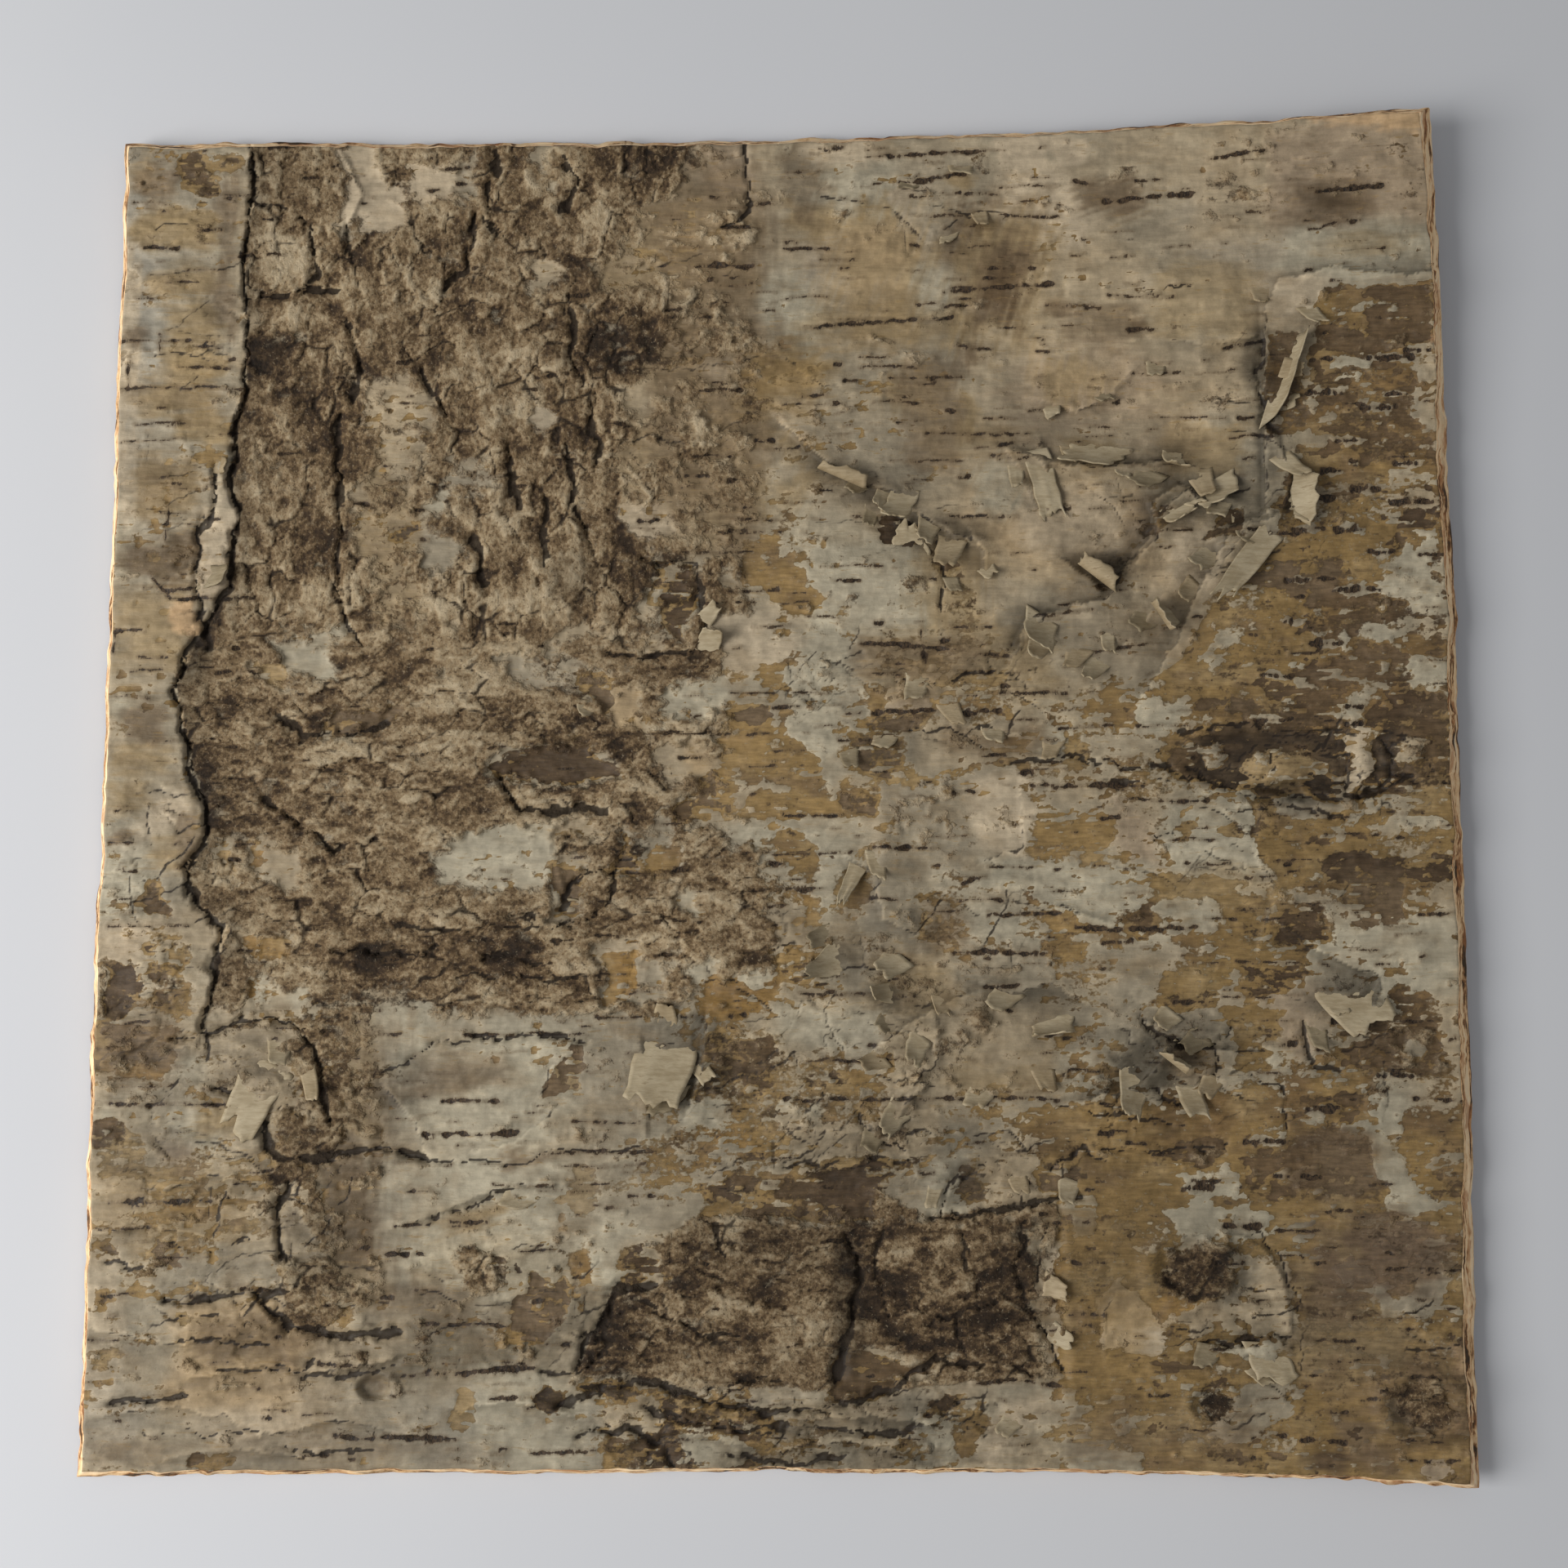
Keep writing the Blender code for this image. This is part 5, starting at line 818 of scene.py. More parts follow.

# Painted shadows of folds and flaps, and other places made darker than around, or lighter where the strength
# is negative: place, half sizes, strength
SHADES = (
    (33, 56, 9, 4, 0.35), (24, 67, 9, 4, 0.2), (9, 73, 6, 3, 0.25), (70, 49, 9, 3, 0.3),
    (73, 45, 4, 3, 0.35), (107, 96, 4, 8, 0.4), (109, 78, 3, 9, 0.35), (24, 8, 8, 6, 0.15),
    (40, 122, 5, 8, 0.15), (16, -37, 5, 6, 0.25), (24, -45, 7, 5, 0.2), (30, -51, 7, 3, 0.2),
    (57, -48, 6, 3, 0.25), (50, -45, 9, 4, 0.12), (79, -62, 6, 6, 0.4), (83, -54, 10, 4, 0.2),
    (122, -48, 9, 4, 0.2), (14, -112, 4, 16, 0.45), (39, -87, 5, 5, 0.3), (22, -30, 4, 10, 0.12),
    (96, -106, 4, 6, 0.3), (98, -118, 8, 3, 0.3), (115, -2, 12, 3, 0.4), (-16, -60, 5, 10, 0.2),
    (45, 55, 4, 8, 0.12), (-47, 46, 6, 6, 0.3), (67, 55, 12, 5, 0.1), (90, 64, 9, 5, 0.15),
    (124, 131, 8, 5, 0.2), (0, -105, 170, 55, 0.09), (-62, -70, 22, 14, -0.13), (-62, -96, 18, 10, -0.14),
    (-12, -98, 10, 8, 0.12), (-100, -76, 8, 8, 0.12), (-104, -94, 8, 14, 0.12), (-38, -102, 6, 8, -0.1),
    (-82, -65, 8, 6, 0.3), (-140, -80, 10, 8, 0.22), (22, -140, 30, 9, 0.22), (26, -80, 26, 8, 0.14),
    (80, -100, 22, 14, 0.08), (-84, -122, 12, 8, 0.15), (2, 120, 10, 26, 0.08), (40, 100, 10, 8, 0.08),
    (-130, 30, 3, 10, 0.3), (57, 133, 10, 9, -0.14), (8, 44, 14, 12, -0.05), (47, -8, 7, 8, -0.08),
    (70, -26, 10, 5, -0.05), (100, 140, 14, 10, -0.16), (104, 120, 12, 9, -0.1), (20, 120, 12, 12, -0.2),
    (86, 88, 14, 12, -0.05), (-20, 122, 10, 10, -0.16), (-100, 82, 7, 8, -0.12), (22, 100, 10, 8, -0.08),
    (98, 101, 10, 8, -0.13), (98, 80, 8, 8, -0.11), (60, 42, 10, 8, -0.16), (80, 42, 9, 9, -0.24),
    (100, 40, 8, 10, -0.1), (100, -80, 8, 6, -0.12), (-20, -140, 10, 6, -0.1), (90, -140, 14, 6, -0.08),
    (141, -140, 8, 7, -0.1), (20, 82, 8, 8, -0.08), (-24, -40, 10, 9, -0.13), (122, 4, 6, 4, 0.12),
    (140, 2, 8, 6, 0.12), (-140, 20, 6, 8, 0.12), (4, -100, 12, 8, 0.14), (-50, -100, 8, 6, 0.08),
    (-40, -122, 8, 6, 0.08), (-120, 80, 4, 10, -0.06), (-90, 80, 8, 10, -0.1), (132, -20, 16, 8, 0.12),
    (130, -60, 14, 8, 0.12), (-100, -100, 9, 9, 0.18), (-120, -60, 8, 6, 0.1), (-140, 0, 8, 9, 0.1),
    (-110, 140, 18, 8, 0.1), (132, -37, 8, 5, -0.12), (80, 100, 22, 14, -0.05), (60, 112, 16, 12, -0.04),
    (-56, -60, 10, 5, -0.06),
)

# Curls: middle of the root, heading, width, length, first slope and bend in degrees, narrowing
CURLS = (
    (13.5, 69.5, 246, 11.5, 4.6, 38, 150, 0.1),
    (23.5, 66.5, 236, 4.6, 6.0, 25, 40, 0.1),
    (27.5, 66.0, 262, 6.0, 6.6, 22, 34, 0.0),
    (28.5, 52.0, 75, 9.0, 4.4, 40, -20, 0.5),
    (56.5, 75.0, 281, 5.6, 12.5, 14, -10, 0.0),
    (72.0, 76.0, 262, 14.0, 4.6, 26, 26, 0.2),
    (87.0, 75.5, 256, 5.0, 6.4, 30, 60, 0.1),
    (96.0, 68.0, 300, 11.0, 5.2, 25, 46, 0.2),
    (71.5, 46.5, 232, 12.5, 5.6, 30, 150, 0.3),
    (57.5, 37.5, 235, 9.0, 7.0, 30, 36, 0.3),
    (70.5, 28.0, 250, 6.0, 6.4, 28, 40, 0.5),
    (86.0, 39.0, 214, 8.0, 6.4, 34, 80, 0.1),
    (110.0, 90.0, 342, 22.0, 4.6, 42, 60, 0.3),
    (109.0, 68.0, 356, 13.0, 7.6, 28, 26, 0.2),
    (109.5, 57.0, 226, 6.0, 16.0, 20, -8, 0.3),
    (86.5, 62.5, 300, 8.0, 5.4, 34, 60, 0.3),
    (17.0, -17.0, 250, 4.6, 8.6, 20, 14, 0.6),
    (13.0, -37.5, 180, 9.6, 7.4, 28, 22, 0.7),
    (-24.0, -54.0, 262, 12.5, 13.0, 16, 10, 0.0),
    (58.5, -51.0, 276, 9.6, 5.6, 40, 70, 0.1),
    (77.0, -62.0, 236, 9.0, 8.0, 28, 18, 0.5),
    (88.0, -58.0, 232, 7.0, 8.6, 30, 90, 0.1),
    (122.0, -43.0, 290, 14.0, 9.0, 22, 10, 0.2),
    (-112.0, -60.5, 238, 12.0, 12.0, 12, -12, 0.4),
    (24.5, -46.0, 200, 5.0, 4.6, 30, 30, 0.4),
    (103.0, -120.5, 268, 8.5, 6.0, 16, 10, 0.0),
    (-17.5, 29.0, 70, 5.5, 5.6, 34, 46, 0.2),
)
# Small torn flaps: middle of the root, heading, width, length
SMALL_FLAPS = (
    (18, 68, 240, 5, 3.5), (33, 60, 230, 6, 5), (38, 55, 262, 7, 6), (44, 50, 300, 5, 4),
    (37, 46, 270, 4, 3), (52, 73, 280, 4, 6), (64, 76, 250, 5, 3), (76, 73, 255, 5, 4), (83, 70, 250, 7, 4),
    (88, 66, 300, 5, 5), (93, 70, 290, 6, 5), (98, 64, 260, 6, 4), (103, 60, 240, 7, 5),
    (97, 52, 225, 6, 6), (92, 45, 225, 5, 5), (111, 74, 300, 5, 6), (113, 64, 330, 5, 5),
    (110, 86, 340, 5, 4), (112, 94, 340, 5, 4), (60, 86, 300, 5, 3), (70, 89, 280, 5, 3),
    (84, 96, 270, 5, 4), (108, 113, 270, 5, 4), (118, 108, 280, 5, 4), (30, 138, 262, 6, 3),
    (40, 142, 262, 7, 3), (44, 131, 270, 4, 4), (38, 126, 280, 5, 3), (20, 62, 240, 4, 4),
    (58, 33, 240, 6, 5), (66, 30, 260, 6, 4), (72, 34, 250, 4, 4), (82, 38, 230, 6, 5), (30, 24, 260, 6, 5),
    (36, 18, 280, 5, 5), (24, 12, 260, 6, 4), (14, 8, 270, 5, 4), (46, 14, 260, 6, 4), (60, 10, 270, 5, 4),
    (20, -15, 260, 5, 5), (11, -33, 200, 5, 5), (26, -38, 230, 7, 5), (34, -44, 250, 6, 5),
    (50, -45, 240, 7, 5), (24, -50, 230, 5, 4), (30, -55, 230, 6, 5), (22, -60, 220, 5, 4),
    (26, -70, 220, 6, 6), (20, -75, 240, 6, 4), (44, -66, 260, 7, 4), (56, -62, 260, 6, 4),
    (85, -50, 230, 6, 4), (92, -55, 220, 6, 5), (88, -66, 260, 7, 5), (94, -64, 250, 5, 4),
    (120, -46, 280, 6, 4), (116, -52, 260, 5, 5), (34, -84, 262, 4, 7), (50, -84, 270, 5, 4),
    (62, -86, 250, 5, 4), (92, -121, 260, 6, 4), (100, -124, 275, 6, 4), (56, -108, 350, 5, 4),
    (57, -118, 340, 5, 4), (62, -130, 270, 6, 3), (50, -136, 240, 5, 4), (-26, -53, 80, 6, 4),
    (-20, -60, 300, 5, 5), (-24, -66, 270, 8, 5), (-110, -56, 250, 6, 4), (-104, -62, 290, 4, 6),
    (-56, -89, 255, 8, 3), (-130, 46, 340, 6, 5), (-18, 36, 60, 4, 4), (-128, 72, 350, 5, 3),
    (-44, 20, 250, 5, 4), (-48, -28, 60, 8, 3),
)
# Form of the small flaps, steps along and across, and how the flaps leave the sheet: the root's depth,
# the share of the slope that is only reached at the tip, and how much longer they are than they look
FLAP_SLOPE, FLAP_BEND, FLAP_TAPER = 14, 34, 0.35
CURL_THICKNESS = 0.3
CURL_STEPS, CURL_ACROSS = 18, 14
SMALL_STEPS, SMALL_ACROSS = 8, 7
ROOT_SINK = 0.35
ROOT_SHARE = 0.75
LONGER = 1.3

# Grain of the crust, from coarse to fine: cell sizes where it is upright and where it is level, and seed
CRUST_GRAINS = (
    ((8.0, 14.0), (18.0, 6.0), 13), ((3.4, 8.0), (9.0, 3.2), 11), ((1.7, 3.0), (3.8, 1.5), 15),
    ((0.8, 1.3), (1.8, 0.8), 17),
)


# Values over the sheet


def field(u, v, cell_u, cell_v, seed):
    """Smooth random values from -1 to 1, on a lattice with cells of cell_u by cell_v."""
    lattice = np.random.default_rng(seed).uniform(-1.0, 1.0, (LATTICE, LATTICE))
    across, along_v = u / cell_u + LATTICE, v / cell_v + LATTICE
    column, row = np.floor(across).astype(int), np.floor(along_v).astype(int)
    part_u, part_v = across - column, along_v - row
    part_u, part_v = part_u * part_u * (3 - 2 * part_u), part_v * part_v * (3 - 2 * part_v)
    column, row = column % LATTICE, row % LATTICE
    after_c, after_r = (column + 1) % LATTICE, (row + 1) % LATTICE
    low = lattice[row, column] * (1 - part_u) + lattice[row, after_c] * part_u
    high = lattice[after_r, column] * (1 - part_u) + lattice[after_r, after_c] * part_u
    return low * (1 - part_v) + high * part_v


def ragged(u, v, cell_u, cell_v, seed):
    """Three sizes of the same kind of random values, for borders and mottling."""
    value = field(u, v, cell_u, cell_v, seed)
    value += 0.5 * field(u, v, cell_u / 2.3, cell_v / 2.3, seed + 1)
    return value + 0.3 * field(u, v, cell_u / 5, cell_v / 5, seed + 2)


def ease(value):
    value = np.clip(value, 0.0, 1.0)
    return value * value * (3 - 2 * value)


def plates(u, v, cell_u, cell_v, seed):
    """Irregular plates: a random tone for each, -1 to 1, and the distance to its border in cells."""
    rng = np.random.default_rng(seed)
    shift_u, shift_v, tones = rng.uniform(-0.45, 0.45, (3, LATTICE, LATTICE))
    across, along_v = u / cell_u + LATTICE, v / cell_v + LATTICE
    column, row = np.floor(across).astype(int), np.floor(along_v).astype(int)
    nearest, second = np.full(u.shape, np.inf), np.full(u.shape, np.inf)
    tone = np.zeros(u.shape)
    for near_row in (row - 1, row, row + 1):
        for near_column in (column - 1, column, column + 1):
            j, i = near_row % LATTICE, near_column % LATTICE
            distance = (near_column + 0.5 + shift_u[j, i] - across) ** 2
            distance += (near_row + 0.5 + shift_v[j, i] - along_v) ** 2
            closer = distance < nearest
            second = np.where(closer, nearest, np.minimum(second, distance))
            tone = np.where(closer, tones[j, i], tone)
            nearest = np.where(closer, distance, nearest)
    return tone / 0.45, np.sqrt(second) - np.sqrt(nearest)


def to_line(u, v, points):
    """Distance to a line of points, and which side: positive on the left hand of its direction."""
    nearest = np.full(u.shape, np.inf)
    side = np.ones(u.shape)
    for (u0, v0), (u1, v1) in zip(points, points[1:]):
        du, dv = u1 - u0, v1 - v0
        share = np.clip(((u - u0) * du + (v - v0) * dv) / (du * du + dv * dv), 0.0, 1.0)
        distance = np.hypot(u - u0 - share * du, v - v0 - share * dv)
        closer = distance < nearest
        nearest = np.where(closer, distance, nearest)
        side = np.where(closer, np.sign(du * (v - v0) - dv * (u - u0)), side)
    return nearest, side


def inside(u, v, corners):
    """Distance to the border of a closed outline, positive inside it."""
    ring = tuple(corners) + (corners[0],)
    distance, _ = to_line(u, v, ring)
    crossings = np.zeros(u.shape, int)
    for (u0, v0), (u1, v1) in zip(ring, ring[1:]):
        spans = (v0 > v) != (v1 > v)
        reach = u0 + (v - v0) * (u1 - u0) / (v1 - v0 if v1 != v0 else 1.0)
        crossings += spans & (u < reach)
    return np.where(crossings % 2 == 1, distance, -distance)


def blend(first, second, share):
    return first * (1 - share) + second * share


def around(at_u, at_v, half_u, half_v):
    """Two corners of the box round a spot."""
    return (at_u - half_u, at_v - half_v), (at_u + half_u, at_v + half_v)


def shifted(u, v, reach, cell, seeds, values=ragged):
    """Places moved at random, so that a shape drawn over them gets a ragged border."""
    return u + reach * values(u, v, cell, cell, seeds[0]), v + reach * values(u, v, cell, cell, seeds[1])


def reach_from(u, v, at_u, at_v, half_u, half_v):
    """Distance from a place, as 1 on the ellipse with these half sizes."""
    return np.hypot((u - at_u) / half_u, (v - at_v) / half_v)


def spot(u, v, at_u, at_v, half_u, half_v):
    """1 in the middle of a spot, fading to 0 at its ragged border."""
    return ease((1.35 - reach_from(u, v, at_u, at_v, half_u, half_v)) / 0.7)


def window(u, v, places, margin):
    """The part of the grid round some places, as slices."""
    us, vs = zip(*places)
    rows = np.where((v[:, 0] > min(vs) - margin - 4) & (v[:, 0] < max(vs) + margin + 4))[0]
    columns = np.where((u[0] > min(us) - margin - 4) & (u[0] < max(us) + margin + 4))[0]
    return np.s_[rows[0] : rows[-1] + 1, columns[0] : columns[-1] + 1]


def underside(u, v):
    a, b = u / HALF, v / HALF
    lift = RIGHT_LIFT * np.clip((a - RIGHT_FROM) / (1 - RIGHT_FROM), 0, None) ** 2
    lift += LEFT_LIFT * np.clip((-a - LEFT_FROM) / (1 - LEFT_FROM), 0, None) ** 2
    lift += TOP_LIFT * np.clip((b - TOP_FROM) / (1 - TOP_FROM), 0, None) ** 2
    lift += BOTTOM_LIFT * np.clip((-b - BOTTOM_FROM) / (1 - BOTTOM_FROM), 0, None) ** 2
    lift += CORNER_LIFT * np.clip((a + b - CORNER_FROM) / (2 - CORNER_FROM), 0, None) ** 1.5
    return lift


def crust_share(u, v):
    strip, side = to_line(u, v, STRIP_TEAR)
    right_of_strip = ease(side * strip / 2.0 + 0.5)
    fades_right = ease((2.0 - u - 0.12 * v + 8 * field(u, v, 14, 18, 3)) / 18.0)
    above = ease((v + 52.0 + 5 * field(u, v, 16, 9, 4)) / 6.0)
    scars = np.zeros(u.shape)
    for corners, _, slope in SCARS:
        scars = np.maximum(scars, ease(inside(u, v, corners) / slope + 0.5))
    return np.maximum(right_of_strip * fades_right * above, scars)


def turned_plates(u, v, is_tall, tall, wide, seed):
    """Plates that stand upright in one part of the crust and lie level in the rest."""
    tall_tone, tall_border = plates(u, v, *tall, seed)
    wide_tone, wide_border = plates(u, v, *wide, seed + 1)
    return np.where(is_tall, tall_tone, wide_tone), np.where(is_tall, tall_border, wide_border)


def crust_grain(u, v):
    """Tone, height and cracks of the crust: upright in its upper part, level in its lower part."""
    upright = ease((v - 22.0) / 20.0 + 0.25 * field(u, v, 12, 12, 50))
    bent_u = u + 1.3 * field(u, v, 5, 5, 51) + 0.5 * field(u, v, 1.7, 1.7, 55)
    bent_v = v + 1.3 * field(u, v, 5, 5, 52) + 0.5 * field(u, v, 1.7, 1.7, 56)
    lumps, grain, fine, finest = (
        upright * field(u, v, *tall, seed) + (1 - upright) * field(u, v, *wide, seed + 1)
        for tall, wide, seed in CRUST_GRAINS
    )
    big, big_border = turned_plates(bent_u, bent_v, upright > 0.5, (6.0, 10.0), (13.0, 4.8), 57)
    small, small_border = turned_plates(bent_u, bent_v, upright > 0.5, (2.3, 3.2), (4.2, 1.7), 59)
    cracks = ease(1 - big_border / 0.13) * ease(0.5 + 1.2 * field(u, v, 7, 7, 46))
    small_cracks = 0.75 * ease(1 - small_border / 0.14) * ease(0.3 + 1.2 * field(u, v, 5, 5, 47))
    cracks = np.maximum(cracks, small_cracks)
    tone = 0.26 * lumps + 0.3 * big + 0.42 * small + 0.16 * grain + 0.22 * fine + 0.2 * finest
    tone += 0.3 * ragged(u, v, 10, 8, 48) + 0.26 * ragged(u, v, 1.9, 1.7, 49)
    # Painted highlight: the crust is lighter just above and just left of each crack
    tone += 0.5 * np.clip(np.roll(cracks, 2, axis=0) + np.roll(cracks, -2, axis=1) - 2 * cracks, 0, 1)
    height = 0.75 + 0.45 * lumps + 0.3 * grain + 0.3 * big + 0.22 * small + 0.16 * fine + 0.12 * finest
    height += 0.14 * ragged(u, v, 1.5, 1.5, 53)
    return tone, height - 0.55 * cracks, cracks


def knot_relief(u, v):
    relief = np.zeros(u.shape)
    for *place, sink, rim in KNOTS:
        reach = reach_from(u, v, *place)
        relief += rim * np.exp(-(((reach - 1.1) / 0.28) ** 2)) - sink * ease((1.0 - reach) / 0.4)
    reach = reach_from(u, v, *EYE)
    relief += EYE_RIM * np.exp(-(((reach - 1.15) / 0.22) ** 2)) - EYE_DEPTH * ease((1.0 - reach) / 0.45)
    for *place, height in EYE_LUMPS:
        relief += height * ease(1.25 - reach_from(u, v, *place))
    return relief


def layer_relief(u, v):
    """Steps of the papery layers and soft folds of the skin."""
    strip, side = to_line(u, v, STRIP_TEAR)
    relief = STRIP_STEP * ease(0.5 - side * strip / 1.2) * ease((v + 62) / 12)
    for points, height, reach in TORN_EDGES:
        part = window(u, v, points, reach)
        distance, side = to_line(u[part], v[part], points)
        behind = np.clip(1 - distance / reach, 0.0, 1.0)
        relief[part] += height * behind * behind * np.where(side > 0, 1.0, ease(1 - distance / 0.9))
    for points, half_width, height in FOLDS:
        part = window(u, v, points, 2 * half_width)
        distance, _ = to_line(*shifted(u[part], v[part], 2.0, 9, (184, 187)), points)
        relief[part] += height * np.exp(-((distance / half_width) ** 2))
    return relief


def along(edge, where):
    places, values = zip(*edge)
    return np.interp(where, places, values)


def outline(s, t, level):
    """Drawn place of a point: s runs left to right, t bottom to top, level from underside to top."""
    u, v = -HALF + 2 * HALF * s, -HALF + 2 * HALF * t
    wave = EDGE_WAVE * (field(u, v, 7, 7, 31) + 0.6 * field(u, v, 2.6, 2.6, 39))
    steps = 0.5 * np.sin(level * math.pi) * field(u + 90 * level, v - 70 * level, 9, 9, 33)
    bevel = level * (1 + 0.35 * field(u, v, 11, 11, 34))
    left = along(LEFT_EDGE, v) + OTHER_BEVEL * bevel - steps - wave
    right = along(RIGHT_EDGE, v) - RIGHT_BEVEL * bevel + steps + wave
    bottom = along(BOTTOM_EDGE, u) + OTHER_BEVEL * bevel - steps - wave
    top = along(TOP_EDGE, u) - OTHER_BEVEL * bevel + steps + wave
    return left + (right - left) * s, bottom + (top - bottom) * t


def placed(u, v, z):
    """Moves drawn points along their lines of sight to their heights. Returns metres."""
    eye_x, eye_y, eye_z = VIEWPOINT
    share = (eye_z - z) / (eye_z - DRAWN_AT)
    return np.stack([eye_x + (u - eye_x) * share, eye_y + (v - eye_y) * share, z], axis=-1) * MM


def paint(seen):
    """A colour that is seen, 0 to 255, as the surface's own linear colour."""
    seen = np.array(seen, float) / 255
    return np.where(seen <= 0.04045, seen / 12.92, ((seen + 0.055) / 1.055) ** 2.4) / np.array(SEEN_SHARE)


# Layers, lines and colours of the sheet


def deep_in(u, v, places):
    """How deep a point lies in a box, given by two corners, or in an outline of more corners."""
    if len(places) > 2:
        return inside(u, v, places)
    (left, low), (right, high) = places
    off_u = np.abs(u - (left + right) / 2) - (right - left) / 2
    off_v = np.abs(v - (low + high) / 2) - (high - low) / 2
    return -np.maximum(off_u, off_v) - 0.5 * np.clip(np.minimum(off_u, off_v) + 3, 0, 3)


def base_layers(u, v):
    """How bare the tan and the brown layer are, and how much crust there is, before the patches."""
    centre = ease((u + 45) / 14) * ease((30 - v) / 12) * ease((v + 95) / 12)
    low_right = ease((u - 52) / 10) * ease((-66 - v) / 10)
    left_strip = ease((-119 - u) / 4)
    tan = -2.4 + 1.9 * centre + 3.6 * low_right + 0.9 * left_strip
    brown = -2.6 + 1.2 * low_right + 0.3 * centre
    for *place, tan_more, brown_more in WORN:
        part = window(u, v, around(*place), 4)
        share = spot(u[part], v[part], *place)
        tan[part] += tan_more * share
        brown[part] += brown_more * share
    return tan, brown, 4 * crust_share(u, v) - 2


def lay_patches(u, v, tan, brown, crust, colours):
    """Lays the patches on the layers and their colours."""
    bent_u = u + 1.6 * ragged(u, v, 8, 6, 67) + 2.6 * field(u, v, 16, 12, 182)
    bent_v = v + 1.2 * ragged(u, v, 9, 5, 70) + 1.4 * field(u, v, 16, 12, 183)
    for kind, *places in PATCHES:
        part = window(u, v, places, 5)
        deep = deep_in(bent_u[part], bent_v[part], places)
        new_tan, new_brown, new_crust, layer, colour = KINDS[kind]
        if layer:
            tint = 0.85 * ease(deep / 5 + 0.75)[..., None]
            colours[layer][part] += (paint(colour) - colours[layer][part]) * tint
        share = ease(deep / SOFT_BORDER + 0.5)
        tan[part] += (new_tan - tan[part]) * share
        brown[part] += (new_brown - brown[part]) * share
        crust[part] += (new_crust - crust[part]) * ease(deep / (2 * SOFT_BORDER) + 0.5)


def layer_maps(u, v):
    """Bare tan layer, bare brown layer and crust, above 0 with ragged borders, paper tone and colours."""
    colours = layer_colours(u, v)
    tan, brown, crust = base_layers(u, v)
    lay_patches(u, v, tan, brown, crust, colours)
    bent_u = u + 0.8 * field(u, v, 3, 3, 73) + 0.35 * field(u, v, 1.1, 1.1, 74)
    bent_v = v + 0.6 * field(u, v, 3, 3, 75) + 0.35 * field(u, v, 1.1, 1.1, 76)
    wide, _ = plates(bent_u, bent_v, 8.0, 3.6, 77)
    small, _ = plates(bent_u, bent_v, 2.8, 1.4, 78)
    other, _ = plates(bent_u, bent_v, 5.0, 2.4, 79)
    tan += 0.8 * ragged(u, v, 15, 7, 61) + 0.65 * wide + 0.7 * small + 0.55 * ragged(u, v, 3.6, 2.0, 62)
    brown += 0.8 * ragged(u, v, 13, 8, 64) + 0.7 * other + 0.6 * small + 0.55 * ragged(u, v, 3.6, 2.0, 65)
    left_on = field(u, v, 3.6, 0.9, 163) + 0.5 * field(u, v, 1.5, 0.7, 164) + 0.5 * field(u, v, 14, 9, 165)
    tan -= 2.6 * ease((left_on - 0.62) / 0.3) * (tan > 0)
    brown -= 2.0 * ease((left_on - 0.45) / 0.3)
    bare = field(u, v, 3.0, 1.0, 166) + 0.5 * field(u, v, 1.3, 0.7, 167) + 0.6 * field(u, v, 16, 10, 168)
    tan += 2.4 * ease((bare - 0.8) / 0.3) * (tan < 0)
    for left, height, right in BEAD_ROWS:
        part = window(u, v, ((left, height), (right, height)), 3)
        row = (left - 0.8, height - 1.0), (right + 0.8, height + 1.0)
        bead = 3.0 * ease(0.5 + deep_in(bent_u[part], bent_v[part], row) / 0.8)
        tan[part] -= bead
        brown[part] -= bead
    tan *= 0.4 + 1.1 * ease(0.5 + 0.8 * ragged(u, v, 13, 8, 170))
    brown *= 0.4 + 1.1 * ease(0.5 + 0.8 * ragged(u, v, 11, 7, 173))
    crust += 0.9 * ragged(u, v, 7, 5, 68) + 0.5 * wide + 0.7 * small + 0.7 * ragged(u, v, 2.6, 2.2, 71)
    crust *= 0.75
    return tan, brown, crust, 0.5 * wide + 0.5 * small, weathered(u, v, colours)


def small_lines():
    """Short level lines strewn over the sheet, and the dark dots of the bead rows."""
    rng = np.random.default_rng(85)
    lines = []
    for _ in range(SMALL_LINES):
        at_u, at_v = rng.uniform(-148, 146), rng.uniform(-146, 148)
        length = 1.2 + 6.5 * rng.random() ** 2
        end = at_u + length, at_v + 0.05 * length * rng.uniform(0, 1.6)
        lines.append((at_u, at_v, *end, 0.1 + 0.7 * rng.random() ** 2))
    for left, height, right in BEAD_ROWS:
        for at_u in np.arange(left, right, 1.5):
            lines.append((at_u, height, at_u + 0.4, height, 0.9 + 0.5 * rng.random()))
    return tuple(lines)


def line_map(u, v):
    """Lenticels and thin dark lines, in millimetres inside their ragged borders."""
    lines = np.full(u.shape, -3.0)
    bent_v = v + 0.4 * field(u, v, 5, 3, 81) + 0.22 * plates(u, v, 1.3, 1.3, 86)[0]
    bent_u = u + 0.4 * field(u, v, 3, 4, 82)
    wear = 0.9 * field(u, v, 1.7, 1.5, 83) + 0.5 * field(u, v, 0.8, 1.3, 84) - 0.15
    for u0, v0, u1, v1, half_width in LENTICELS + small_lines():
        ends = (u0, v0), (u1, v1)
        part = window(u, v, ends, 3)
        distance, _ = to_line(bent_u[part], bent_v[part], ends)
        lines[part] = np.maximum(lines[part], LINE_SHARE * half_width * (1 + wear[part]) - distance)
    return lines


